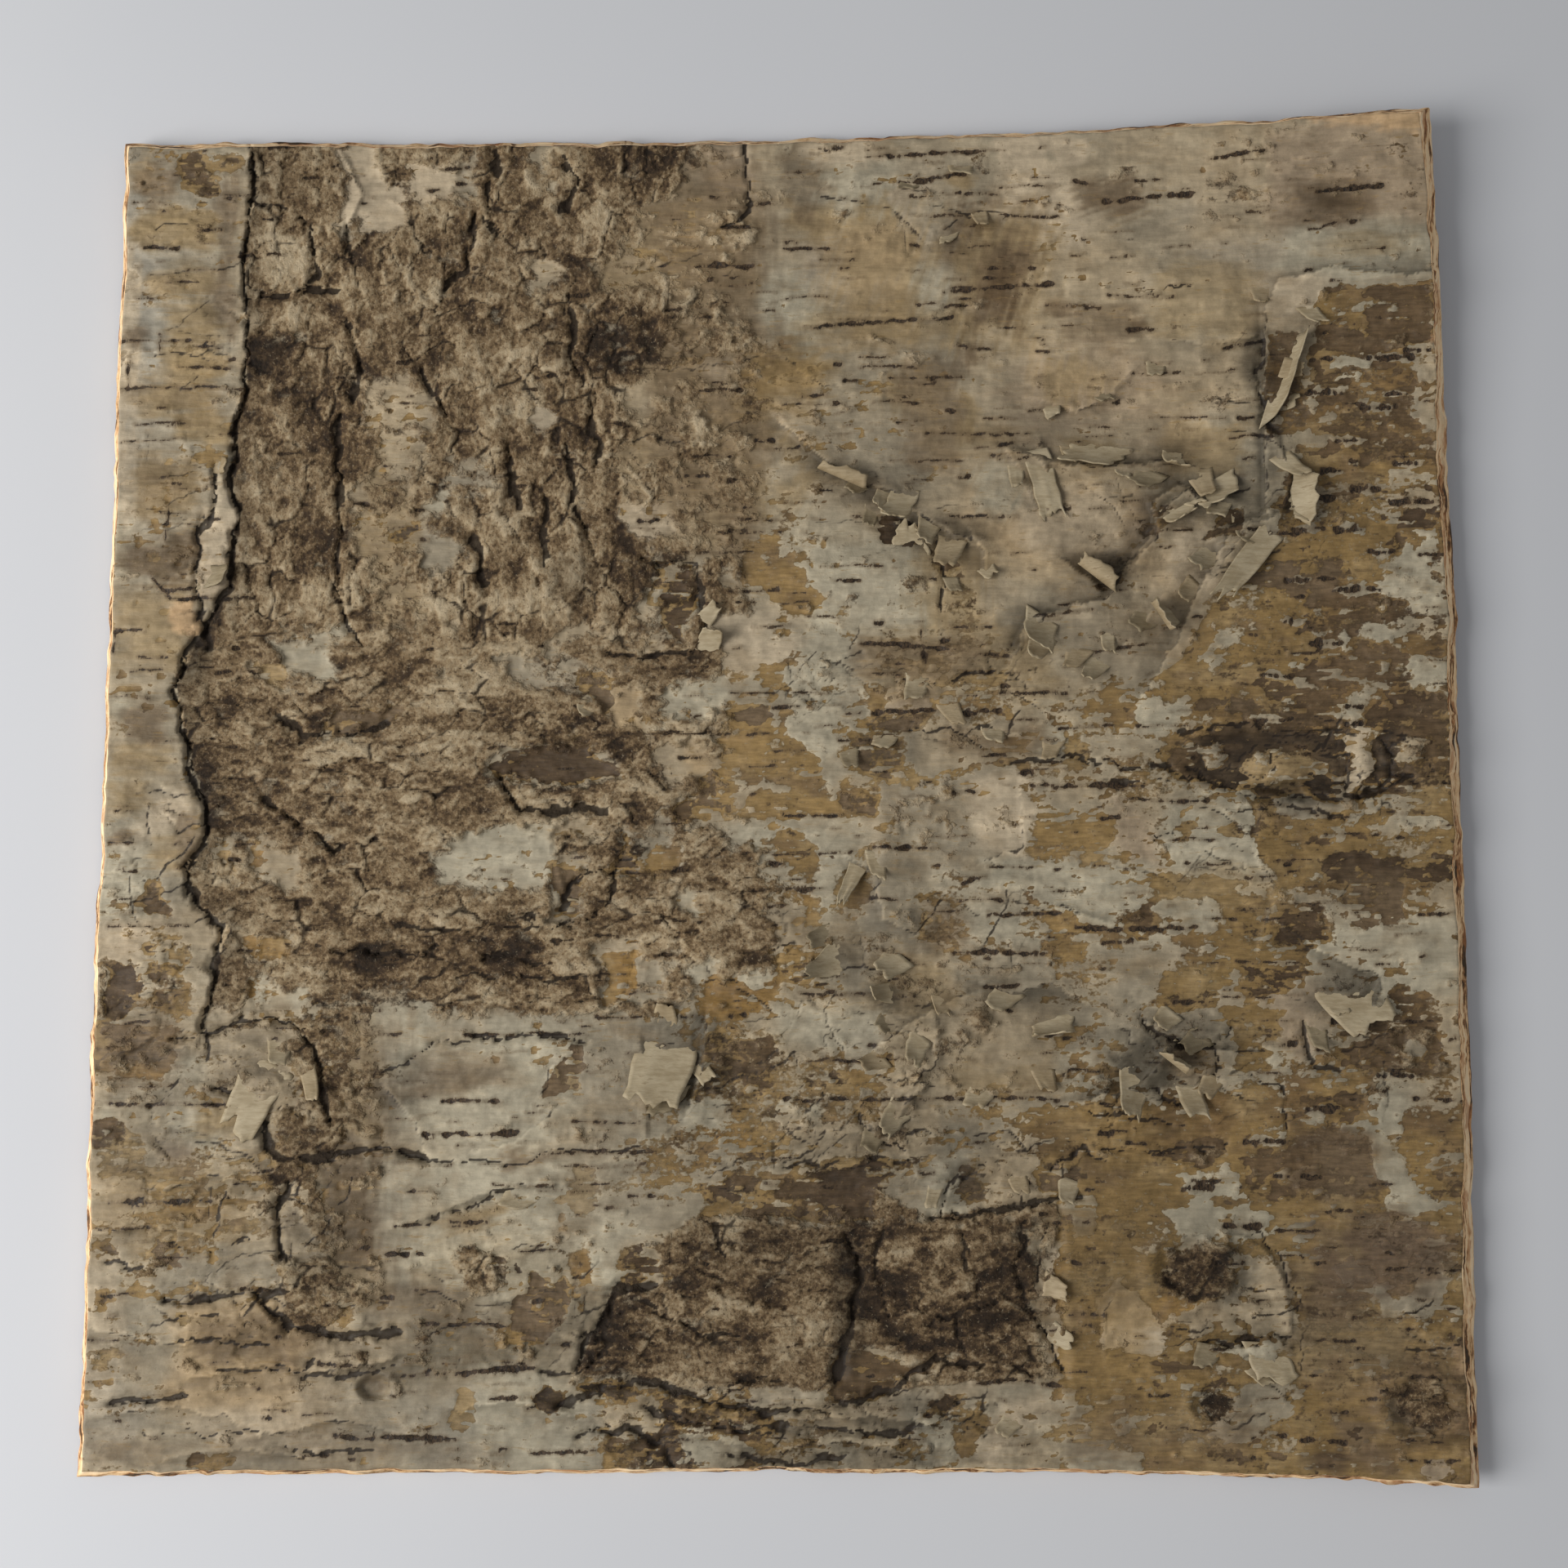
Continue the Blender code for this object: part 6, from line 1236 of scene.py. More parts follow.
def hairlines(u, v):
    """Thin dark cracks that wander, level for the most part."""
    dark = np.zeros(u.shape)
    rng = np.random.default_rng(160)
    for _ in range(HAIRLINES):
        points = [(rng.uniform(-146, 140), rng.uniform(-144, 144))]
        turn = rng.normal(0.05, 0.22) if rng.random() < 0.85 else rng.normal(1.4, 0.4)
        for _ in range(rng.integers(2, 5)):
            turn += rng.normal(0.0, 0.3)
            step = rng.uniform(1.5, 5.0)
            points.append((points[-1][0] + step * math.cos(turn), points[-1][1] + step * math.sin(turn)))
        part = window(u, v, points, 1)
        distance, _ = to_line(*shifted(u[part], v[part], 0.5, 1.6, (161, 162), field), points)
        dark[part] = np.maximum(dark[part], rng.uniform(0.5, 1.0) * ease(1.2 - distance / 0.36))
    return dark


def flaky_places(u, v):
    flaky = np.full(u.shape, 0.12)
    for *place, strength in FLAKY:
        part = window(u, v, around(*place), 6)
        flaky[part] = np.maximum(flaky[part], strength * spot(u[part], v[part], *place))
    return flaky


def flakes(u, v):
    """Tones of the big and the small flakes, and the seams between them."""
    bent_u = u + 0.9 * ragged(u, v, 3.4, 3.4, 140)
    bent_v = v + 0.8 * ragged(u, v, 3.4, 3.4, 143)
    big, big_border = plates(bent_u, bent_v, 9.0, 3.4, 146)
    small, small_border = plates(bent_u, bent_v, 3.6, 1.5, 147)
    big_seams = ease(1 - big_border / 0.09) * ease(0.35 + 1.3 * field(u, v, 5, 5, 149))
    small_seams = 0.75 * ease(1 - small_border / 0.12) * ease(0.15 + 1.1 * field(u, v, 6, 3, 148))
    return big, small, np.maximum(big_seams, small_seams)


def cut_scars_and_cracks(u, v, relief, dirt_and_shadow):
    """Sinks the scars, cuts the long cracks and darkens the cracks' cores with dirt and painted shade."""
    for corners, depth, slope in SCARS:
        part = window(u, v, corners, slope)
        relief[part] -= depth * ease(inside(u[part], v[part], corners) / slope + 0.5)
    bent_u = u + 1.0 * field(u, v, 4, 4, 95) + 0.5 * plates(u, v, 1.9, 1.9, 93)[0]
    bent_v = v + 1.0 * field(u, v, 4, 4, 96) + 0.5 * plates(u, v, 1.9, 1.9, 94)[0]
    widths = 0.5 + 0.5 * field(u, v, 5, 5, 97) + 0.22 * field(u, v, 1.6, 1.6, 100)
    widths = np.maximum(widths, 0.12)
    for points, half_width, depth in CRACKS:
        part = window(u, v, points, 5 * half_width)
        distance, _ = to_line(bent_u[part], bent_v[part], points)
        relief[part] -= depth * np.exp(-((distance / (half_width * (0.3 + widths[part]))) ** 2))
        core = ease(1.5 - distance / (half_width * widths[part]))
        dirt_and_shadow[part] = np.maximum(dirt_and_shadow[part], core * ease(0.4 + 2 * widths[part]))


def crust_tones(u, v, dirt_and_shadow):
    """Lighter and darker places of the crust and dark knots, with a dark ring round each knot."""
    tones = np.zeros(u.shape)
    for *place, strength in CRUST_SPOTS:
        part = window(u, v, around(*place), 3)
        tones[part] += strength * spot(*shifted(u[part], v[part], 1.6, 7, (98, 99)), *place)
    for *place, _, _ in KNOTS:
        part = window(u, v, around(*place), 3)
        reach = reach_from(u[part], v[part], *place)
        reach += 0.22 * ragged(u[part], v[part], 3, 2, 90)
        tones[part] -= 0.8 * ease((1.1 - reach) / 0.3)
        dirt_and_shadow[part] = np.maximum(dirt_and_shadow[part], 0.5 * ease(1 - np.abs(reach - 1.0) / 0.16))
    return tones


def add_shades(u, v, shade, dirt_and_shadow):
    """Adds the painted shadows of folds, flaps, torn edges and curls and the other darker or lighter spots,
    a painted highlight on the high side of each torn edge, and painted shadow lines along the torn edges.
    """
    for *place, strength in SHADES:
        part = window(u, v, around(*place), 6)
        shade[part] += strength * spot(u[part], v[part], *place)
    for points, height, _ in TORN_EDGES + ((STRIP_TEAR[::-1], 1.3, 0),):
        part = window(u, v, points, 9)
        distance, side = to_line(*shifted(u[part], v[part], 0.7, 3, (153, 156)), points)
        # Painted shadow on the low side of each torn edge, painted highlight on its high side, and a painted
        # black shadow line along it
        shade[part] += 0.46 * height * np.exp(-distance / 3.2) * (side < 0)
        shade[part] -= 0.16 * (side > 0) * ease(1 - distance / 1.8)
        broken = ease(0.3 + 1.2 * field(u[part], v[part], 4, 4, 159))
        dirt_and_shadow[part] = np.maximum(dirt_and_shadow[part], 0.8 * ease(1 - distance / 0.5) * broken)
    for root_u, root_v, heading, width, length, *_ in CURLS:
        way_u, way_v = math.cos(math.radians(heading)), math.sin(math.radians(heading))
        part = window(u, v, around(root_u, root_v, width, width), length)
        ahead = (u[part] - root_u) * way_u + (v[part] - root_v) * way_v
        aside = (v[part] - root_v) * way_u - (u[part] - root_u) * way_v
        reach = reach_from(ahead, aside, 0.5 * length, 0.0, 0.9 * length, 0.75 * width)
        shade[part] += 0.24 * ease((1.3 - reach) / 0.9)


def surface(u, v):
    """Every value that the top of the sheet carries."""
    tone, crust_height, crust_cracks = crust_grain(u, v)
    tan, brown, crust, paper, colours = layer_maps(u, v)
    lines = line_map(u, v)
    rough = ease(crust / 1.6 + 0.5)
    smooth = 1 - rough
    flaky = flaky_places(u, v) * smooth
    big_flake, flake, seams = flakes(u, v)
    hairs = hairlines(u, v) * ease(0.1 + 1.2 * flaky + 0.5 * rough)
    # Dark of cracks, seams and hairlines: partly dirt, partly painted shade in them
    dirt_and_shadow = np.maximum(0.8 * crust_cracks * rough, np.maximum(0.9 * flaky * seams, hairs))
    relief = rough * crust_height
    relief += smooth * (0.35 * field(u, v, 34, 24, 21) + 0.16 * field(u, v, 9, 4, 22))
    relief += smooth * (0.07 * field(u, v, 3.0, 1.3, 23) + 0.14 * paper + 0.08 * ragged(u, v, 1.8, 1.5, 24))
    relief += flaky * (0.3 * big_flake + 0.16 * flake - 0.35 * seams + 0.3 * field(u, v, 7, 5, 150))
    relief -= smooth * (0.26 * ease(tan / 0.5 + 0.5) + 0.2 * ease(brown / 0.5 + 0.5))
    relief += layer_relief(u, v) + knot_relief(u, v) - 0.2 * hairs
    relief += smooth * 0.2 * ease((lines + 0.9) / 0.9) - 0.4 * ease(lines / 0.4)
    cut_scars_and_cracks(u, v, relief, dirt_and_shadow)
    grain = tone + crust_tones(u, v, dirt_and_shadow)
    # Painted highlight on the upper lip of each hairline and seam; the flakes get random lighter and darker
    # tones
    gaps = np.maximum(hairs, flaky * seams)
    shade = -flaky * (0.1 * big_flake + 0.1 * flake - 0.04)
    shade += 0.06 * smooth * ragged(u, v, 6, 2.6, 200) - 0.2 * np.clip(np.roll(gaps, 2, axis=0) - gaps, 0, 1)
    add_shades(u, v, shade, dirt_and_shadow)
    return {
        "relief": relief, "tan": tan, "brown": brown, "lines": lines, "crust": crust, "grain": grain,
        "dirt_and_shadow": np.clip(dirt_and_shadow, 0, 1), "paper": paper, "shade": 1 - np.clip(shade, *SHADE_RANGE), **colours,
    }


def amount(most, value):
    """A share for each colour channel, easing up to most as value goes from 0 to 1."""
    return (most * ease(value))[..., None]


def layer_colours(u, v):
    """Colours of the outer skin, the tan layer and the brown layer, which change slowly over the sheet."""
    skin = blend(paint(GREY), paint(CREAM), amount(1.0, 0.5 + 0.6 * ragged(u, v, 30, 18, 101)))
    skin = blend(skin, paint(WHITE), amount(0.4, 0.4 + 0.6 * ragged(u, v, 16, 8, 104)))
    for *place, tint, strength in SKIN_TINTS:
        part = window(u, v, around(*place), 8)
        share = strength * spot(*shifted(u[part], v[part], 3.0, 9, (107, 110)), *place)[..., None]
        skin[part] = blend(skin[part], paint(tint), share)
    deep = amount(1.0, 0.5 + 0.7 * ragged(u, v, 12, 7, 113) + (u - 90) / 120)
    dark = amount(1.0, 0.4 + 0.7 * ragged(u, v, 9, 5, 116))
    under = blend(paint(OCHRE), paint(DEEP_OCHRE), deep)
    return {"skin": skin, "under": under, "deep": blend(paint(BROWN), paint(DARK_BROWN), dark)}


def weathered(u, v, colours):
    """Adds the stains, smudges, fibres and mottling to the colours of the layers."""
    skin, under, brown = colours["skin"], colours["under"], colours["deep"]
    wear = ragged(u, v, 11, 6, 119) + 0.6 * ragged(u, v, 3.4, 1.8, 122)
    for tint, soft, strength, heading, *places in STAINS:
        part = window(u, v, places, 8)
        here_u, here_v = u[part], v[part]
        turn = math.radians(heading)
        lengthways = here_u * math.cos(turn) + here_v * math.sin(turn)
        crossways = here_v * math.cos(turn) - here_u * math.sin(turn)
        streaks = field(lengthways, crossways, 9, 0.9, 125) + 0.6 * field(lengthways, crossways, 4, 0.5, 126)
        deep = deep_in(*shifted(here_u, here_v, 1.5, 6, (127, 128)), places)
        share = amount(min(0.95, 1.2 * strength), deep / soft + 0.55 + 0.28 * streaks + 0.14 * wear[part])
        for layer in (skin, under):
            layer[part] = blend(layer[part], paint(tint), share)
    skin = blend(skin, paint(SMUDGE), amount(0.45, 0.1 + 0.55 * wear))
    skin = blend(skin, paint(BRIGHT), amount(0.4, -0.2 - 0.5 * wear))
    under = blend(under, paint(FADED), amount(0.65, 0.9 * ragged(u, v, 10, 6, 176)))
    dirty = amount(0.6, 0.9 * ragged(u, v, 8, 5, 179) - 0.1)
    under = blend(under, paint(DIRTY), dirty)
    brown = blend(brown, paint(DARK_BROWN), 0.6 * dirty)
    brown = blend(brown, paint(UMBER), amount(0.5, 0.9 * ragged(u, v, 7, 4, 190) - 0.1))
    fibres = 0.6 * field(u, v, 0.9, 8, 129) + 0.8 * field(u, v, 7, 0.7, 130)
    fibres += 0.6 * ragged(u, v, 2.2, 1.6, 134)
    skin = skin * (1 + 0.1 * fibres)[..., None]
    mottle = (0.6 * wear + 0.8 * ragged(u, v, 2.2, 1.2, 137))[..., None]
    return {"skin": skin, "under": under * (1 + 0.15 * mottle), "deep": brown * (1 + 0.16 * mottle)}


# Pieces


def whole_grid():
    """Places, values and normals of the whole top, one row for each line of grid points."""
    cells = 2 * QUARTER_CELLS
    steps = np.linspace(0.0, 1.0, cells + 1)
    s, t = np.meshgrid(steps, steps)
    u, v = outline(s, t, np.ones(s.shape))
    values = surface(u, v)
    low = underside(u, v)
    values["s"], values["t"], values["low"] = s, t, low
    values["top"] = low + np.maximum(THICKNESS + values["relief"], THINNEST)
    points = placed(u, v, values["top"])
    down_rows, along_columns = np.gradient(points, axis=0), np.gradient(points, axis=1)
    normals = np.cross(along_columns, down_rows)
    values["points"] = points
    values["normals"] = normals / np.linalg.norm(normals, axis=-1, keepdims=True)
    return values


def ring_of(n):
    """Border points of an n by n quarter as (row, column), anticlockwise from its lower left corner."""
    ring = [(0, i) for i in range(n)] + [(j, n) for j in range(n)]
    return ring + [(n, n - i) for i in range(n)] + [(n - j, 0) for j in range(n)]


def quarter_of(right, upper):
    """A quarter's rows and columns in the whole grid, and its column and row on the sheet's outline."""
    n = QUARTER_CELLS
    first_row, first_column = n * upper, n * right
    return np.s_[first_row : first_row + n + 1, first_column : first_column + n + 1], first_column, first_row


def quarter_points(grid, right, upper):
    """Points of a quarter, with the ids of its rim by place and row, and of its underside by place."""
    n = QUARTER_CELLS
    part, outer_column, outer_row = quarter_of(right, upper)
    s, t, low, top = (grid[key][part] for key in ("s", "t", "low", "top"))
    points = [grid["points"][part].reshape(-1, 3)]
    next_id = (n + 1) ** 2
    ring = ring_of(n)
    outer = [(j, i) for j, i in ring if i == outer_column or j == outer_row]
    rim = {}
    js, is_ = np.array(outer).T
    sideways = np.where(is_ == outer_column, 1.0 if right else -1.0, 0.0)
    upwards = np.where(js == outer_row, 1.0 if upper else -1.0, 0.0)
    for row in range(1, RIM_ROWS + 1):
        level = 1 - row / RIM_ROWS
        u, v = outline(s[js, is_], t[js, is_], np.full(len(js), level))
        flake = RIM_FLAKE * math.sin(math.pi * min(1.0, 1.4 * level))
        push = flake * field(u + 31 * row, v - 17 * row, 3.5, 3.5, 120 + row)
        z = low[js, is_] + level * (top[js, is_] - low[js, is_])
        points.append(placed(u + push * sideways, v + push * upwards, z))
        for place in outer:
            rim[(place, row)] = next_id
            next_id += 1
    bottoms = {place: rim[(place, RIM_ROWS)] for place in outer}
    inner_steps = range(CELLS_BELOW, n, CELLS_BELOW)
    rest = [place for place in ring if place not in bottoms]
    rest += [(j, i) for j in inner_steps for i in inner_steps]
    js, is_ = np.array(rest).T
    u, v = outline(s[js, is_], t[js, is_], np.zeros(len(js)))
    points.append(placed(u, v, low[js, is_]))
    for place in rest:
        bottoms[place] = next_id
        next_id += 1
    return np.concatenate(points), rim, bottoms


def top_faces():
    """Faces of a quarter's top, their places on the bake map and their material slots."""
    n = QUARTER_CELLS
    first = np.arange((n + 1) ** 2).reshape(n + 1, n + 1)[:-1, :-1].ravel()
    quads = np.stack([first, first + 1, first + n + 2, first + n + 1], axis=1)
    spread = MAP_TOP / n
    places = MAP_MARGIN + spread * np.stack([quads % (n + 1), quads // (n + 1)], axis=-1)
    return quads.tolist(), places.reshape(-1, 2).tolist(), [FACE_SLOT] * len(quads)


def wall_faces(right, upper, rim, bottoms):
    """Faces of the cut edges in rows, and of the walls where the quarters meet."""
    n = QUARTER_CELLS
    _, outer_column, outer_row = quarter_of(right, upper)
    faces, places, slots = [], [], []
    ring = ring_of(n)
    for k, place in enumerate(ring):
        after = ring[(k + 1) % len(ring)]
        wall, along_wall = divmod(k, n)
        start, end = (MAP_MARGIN + MAP_TOP / n * step for step in (along_wall, along_wall + 1))
        high = MAP_WALL + MAP_PITCH * wall
        here, there = (
            [j * (n + 1) + i] + [rim[((j, i), r)] for r in range(1, RIM_ROWS) if ((j, i), 1) in rim]
            for j, i in (place, after)
        )
        here, there = here + [bottoms[place]], there + [bottoms[after]]
        if place[1] == after[1] == outer_column or place[0] == after[0] == outer_row:
            for r in range(RIM_ROWS):
                faces.append([here[r], here[r + 1], there[r + 1], there[r]])
                above, below = (high - MAP_DROP * q / RIM_ROWS for q in (r, r + 1))
                places += [(start, above), (start, below), (end, below), (end, above)]
                slots.append(EDGE_SLOT)
        else:
            faces.append(here + there[::-1])
            places += [(start, high - MAP_DROP * q / (len(here) - 1)) for q in range(len(here))]
            places += [(end, high - MAP_DROP * q / (len(there) - 1)) for q in range(len(there))][::-1]
            slots.append(INNER_SLOT)
    return faces, places, slots


def underside_faces(bottoms):
    """Large faces of the underside, which take in every point of the quarter's border."""
    n = QUARTER_CELLS
    faces, places = [], []
    for j in range(0, n, CELLS_BELOW):
        for i in range(0, n, CELLS_BELOW):
            j1, i1 = j + CELLS_BELOW, i + CELLS_BELOW
            path = [(j, c) for c in (range(i, i1) if j == 0 else (i,))]
            path += [(r, i1) for r in (range(j, j1) if i1 == n else (j,))]
            path += [(j1, c) for c in (range(i1, i, -1) if j1 == n else (i1,))]
            path += [(r, i) for r in (range(j1, j, -1) if i == 0 else (j1,))]
            faces.append([bottoms[place] for place in reversed(path)])
            across = [MAP_BELOW + MAP_BELOW_WIDE * c / n for _, c in reversed(path)]
            places += list(zip(across, [MAP_MARGIN + MAP_TOP / n * r for r, _ in reversed(path)]))
    return faces, places, [INNER_SLOT] * len(faces)


def match_normals(mesh, whole, right, upper):
    """Gives the points where quarters meet the whole sheet's normals, so that no seam shows."""
    n = QUARTER_CELLS
    _, outer_column, outer_row = quarter_of(right, upper)
    ids = np.arange((n + 1) ** 2).reshape(n + 1, n + 1)
    smooth = np.empty(len(mesh.vertices) * 3)
    mesh.vertices.foreach_get("normal", smooth)
    smooth = smooth.reshape(-1, 3)
    seam_column, seam_row = n - outer_column, n - outer_row
    smooth[ids[:, seam_column]] = whole[:, seam_column]
    smooth[ids[seam_row]] = whole[seam_row]
    mesh.normals_split_custom_set_from_vertices(smooth.tolist())


def quarter_mesh(name, grid, right, upper, materials, box):
    """One closed quarter of the sheet: fine top, cut edge on its outer sides, coarse underside."""
    part, _, _ = quarter_of(right, upper)
    points, rim, bottoms = quarter_points(grid, right, upper)
    groups = top_faces(), wall_faces(right, upper, rim, bottoms), underside_faces(bottoms)
    faces, places, slots = (sum(lists, []) for lists in zip(*groups))
    mesh = bpy.data.meshes.new(name)
    mesh.from_pydata(np.clip(points, np.array(box[0]), np.array(box[1])).tolist(), [], faces)
    for material in materials:
        mesh.materials.append(material)
    mesh.polygons.foreach_set("material_index", slots)
    mesh.polygons.foreach_set("use_smooth", np.ones(len(faces), bool))
    mesh.uv_layers.new(name="OFBake").data.foreach_set("uv", np.array(places).ravel())
    add_values(mesh, {key: grid[key][part] for key in FLOATS + COLOURS})
    match_normals(mesh, grid["normals"][part], right, upper)
    sheet = bpy.data.objects.new(name, mesh)
    bpy.context.collection.objects.link(sheet)
    return sheet


def add_values(mesh, values):
    """Writes the values on the mesh's first points, for the material to read."""
    count = len(mesh.vertices)
    for key in FLOATS:
        data = np.zeros(count, np.float32)
        flat = np.asarray(values[key]).ravel()
        data[: flat.size] = flat
        mesh.attributes.new(key, "FLOAT", "POINT").data.foreach_set("value", data)
    for key in COLOURS:
        data = np.ones((count, 4), np.float32)
        flat = np.asarray(values[key]).reshape(-1, 3)
        data[: len(flat), :3] = flat
        mesh.attributes.new(key, "FLOAT_COLOR", "POINT").data.foreach_set("color", data.ravel())


def height_at(grid, u, v):
    """Height of the top under a drawn place, from the nearest grid point."""
    cells = 2 * QUARTER_CELLS
    column = int(np.clip(round((u + HALF) / (2 * HALF) * cells), 0, cells))
    row = int(np.clip(round((v + HALF) / (2 * HALF) * cells), 0, cells))
    return float(grid["top"][row, column])


def wander(values, seed):
    """Smooth random values from -1 to 1 along a line."""
    return field(values, values * 0, 1.0, 1.0, seed)


def curled_points(across, run, number, width, length, slope, bend, taper):
    """Points of a flap that leaves its root at a slope and goes on bending, in millimetres."""
    torn = 0.15 * wander(across * 4 + 5 * number, 131) + 0.07 * wander(across * 11 + number, 134)
    skew = 0.4 * math.sin(2.3 * number) * run * width
    bend, slope, length = bend + ROOT_SHARE * slope, (1 - ROOT_SHARE) * slope, length * LONGER
    turn = np.radians(slope + bend * run * (1 + torn * run))
    start, rate = math.radians(slope), math.radians(bend)
    reach = length * (np.sin(turn) - math.sin(start)) / rate
    rise = length * (math.cos(start) - np.cos(turn)) / rate
    rise = rise + 0.25 * run * field(across * 5 + number, run * 3, 1.0, 1.0, 133)
    narrowed = across * width * (1 - taper * run) * (1 + 0.1 * wander(run * 6 + 3 * number, 132))
    return np.stack([reach, narrowed + skew, rise], axis=-1)


def make_curl(grid, number, root_u, root_v, heading, *form):
    """One peeled flap: a thin ragged strip, set on the sheet at its root."""
    is_small = number >= len(CURLS)
    steps_across, steps_along = (SMALL_ACROSS, SMALL_STEPS) if is_small else (CURL_ACROSS, CURL_STEPS)
    bpy.ops.mesh.primitive_grid_add(x_subdivisions=steps_across, y_subdivisions=steps_along, size=1)
    flap = bpy.context.object
    flap.name = f"flap_{number:02d}"
    points = np.empty(len(flap.data.vertices) * 3)
    flap.data.vertices.foreach_get("co", points)
    across, run = (points.reshape(-1, 3)[:, :2] + np.array([0.0, 0.5])).T
    flap.data.vertices.foreach_set("co", (curled_points(across, run, number, *form) * MM).ravel())
    flap.data.transform(Matrix.Rotation(math.radians(heading), 4, "Z"))
    root_z = height_at(grid, root_u, root_v) - ROOT_SINK
    place = placed(np.array([float(root_u)]), np.array([float(root_v)]), np.array([root_z]))[0]
    flap.data.transform(Matrix.Translation(Vector(place)))
    solid = flap.modifiers.new("Thickness", "SOLIDIFY")
    solid.thickness = CURL_THICKNESS * MM
    solid.offset = 0.0
    solid.material_offset = 1
    solid.material_offset_rim = 1
    return flap


def make_curls(grid, materials):
    """All the curls and small flaps as one piece; each has a paler or darker second side."""
    small = tuple((*flap, FLAP_SLOPE, FLAP_BEND, FLAP_TAPER) for flap in SMALL_FLAPS)
    flaps = [make_curl(grid, number, *curl) for number, curl in enumerate(CURLS + small)]
    for number, flap in enumerate(flaps):
        first = (0, 1, 0, 2)[number % 4] if number >= len(CURLS) else 0
        flap.data.materials.append(materials[first])
        flap.data.materials.append(materials[(3, 0, 1)[first]])
        bpy.context.view_layer.update()
        made = bpy.data.meshes.new_from_object(flap.evaluated_get(bpy.context.evaluated_depsgraph_get()))
        flap.modifiers.clear()
        flap.data = made
    bpy.ops.object.select_all(action="DESELECT")
    for flap in flaps:
        flap.select_set(True)
    bpy.context.view_layer.objects.active = flaps[0]
    bpy.ops.object.join()
    curls = bpy.context.object
    curls.name = curls.data.name = "peeled_flaps"
    curls.data.shade_smooth()
    return curls


# Materials


def node(tree, kind, inputs=(), **settings):
    """Adds a node. inputs are pairs of a socket and a value or another node's output."""
    made = tree.nodes.new(kind)
    for key, value in settings.items():
        setattr(made, key, value)
    for socket, value in inputs:
        if isinstance(value, bpy.types.NodeSocket):
            tree.links.new(value, made.inputs[socket])
        else:
            made.inputs[socket].default_value = value
    return made


def noise(tree, stretch, detail=3.0, roughness=0.55):
    """Noise with grains of 1 / stretch metres along each axis."""
    place = node(tree, "ShaderNodeTexCoord")
    spread = node(tree, "ShaderNodeMapping", [("Vector", place.outputs["Object"]), ("Scale", stretch)])
    grains = node(
        tree, "ShaderNodeTexNoise",
        [("Vector", spread.outputs[0]), ("Scale", 1.0), ("Detail", detail), ("Roughness", roughness)],
    )
    return grains.outputs["Fac"]


def value_of(tree, name):
    return node(tree, "ShaderNodeAttribute", attribute_name=name).outputs["Fac"]


def colour_of(tree, name):
    return node(tree, "ShaderNodeAttribute", attribute_name=name).outputs["Color"]


def between(tree, value, low, high, to_low=0.0, to_high=1.0):
    """Eases from to_low to to_high as value goes from low to high."""
    inputs = [
        ("Value", value), ("From Min", low), ("From Max", high), ("To Min", to_low), ("To Max", to_high),
    ]
    return node(tree, "ShaderNodeMapRange", inputs, interpolation_type="SMOOTHSTEP").outputs["Result"]


def maths(tree, operation, first, second):
    return node(tree, "ShaderNodeMath", [(0, first), (1, second)], operation=operation).outputs[0]


def mixed(tree, share, first, second):
    inputs = [(0, share), (6, first), (7, second)]
    return node(tree, "ShaderNodeMix", inputs, data_type="RGBA").outputs[2]


def scaled(tree, colour, factor):
    """A colour made lighter or darker by a number."""
    inputs = [(0, colour), ("Scale", factor)]
    return node(tree, "ShaderNodeVectorMath", inputs, operation="SCALE").outputs[0]


def rgba(seen):
    return (*paint(seen), 1.0)


def new_material(name, roughness, preview):
    material = bpy.data.materials.new(name)
    material.use_nodes = True
    material.diffuse_color = rgba(preview)
    shader = material.node_tree.nodes["Principled BSDF"]
    shader.inputs["Roughness"].default_value = roughness
    shader.inputs["Metallic"].default_value = 0.0
    shader.inputs["Specular IOR Level"].default_value = 0.3
    return material, material.node_tree, shader


def ramp(tree, value, stops):
    """Colours along a value from 0 to 1."""
    made = node(tree, "ShaderNodeValToRGB", [("Fac", value)])
    elements = made.color_ramp.elements
    while len(elements) < len(stops):
        elements.new(0.5)
    for element, (position, seen) in zip(elements, stops):
        element.position = position
        element.color = rgba(seen)
    return made.outputs["Color"]


def centred(tree, value, strength):
    """Noise about its middle."""
    return maths(tree, "MULTIPLY", maths(tree, "SUBTRACT", value, 0.5), strength)


def add_bump(tree, shader, height, strength, distance):
    bump = node(tree, "ShaderNodeBump", [("Height", height), ("Strength", strength), ("Distance", distance)])
    tree.links.new(bump.outputs[0], shader.inputs["Normal"])


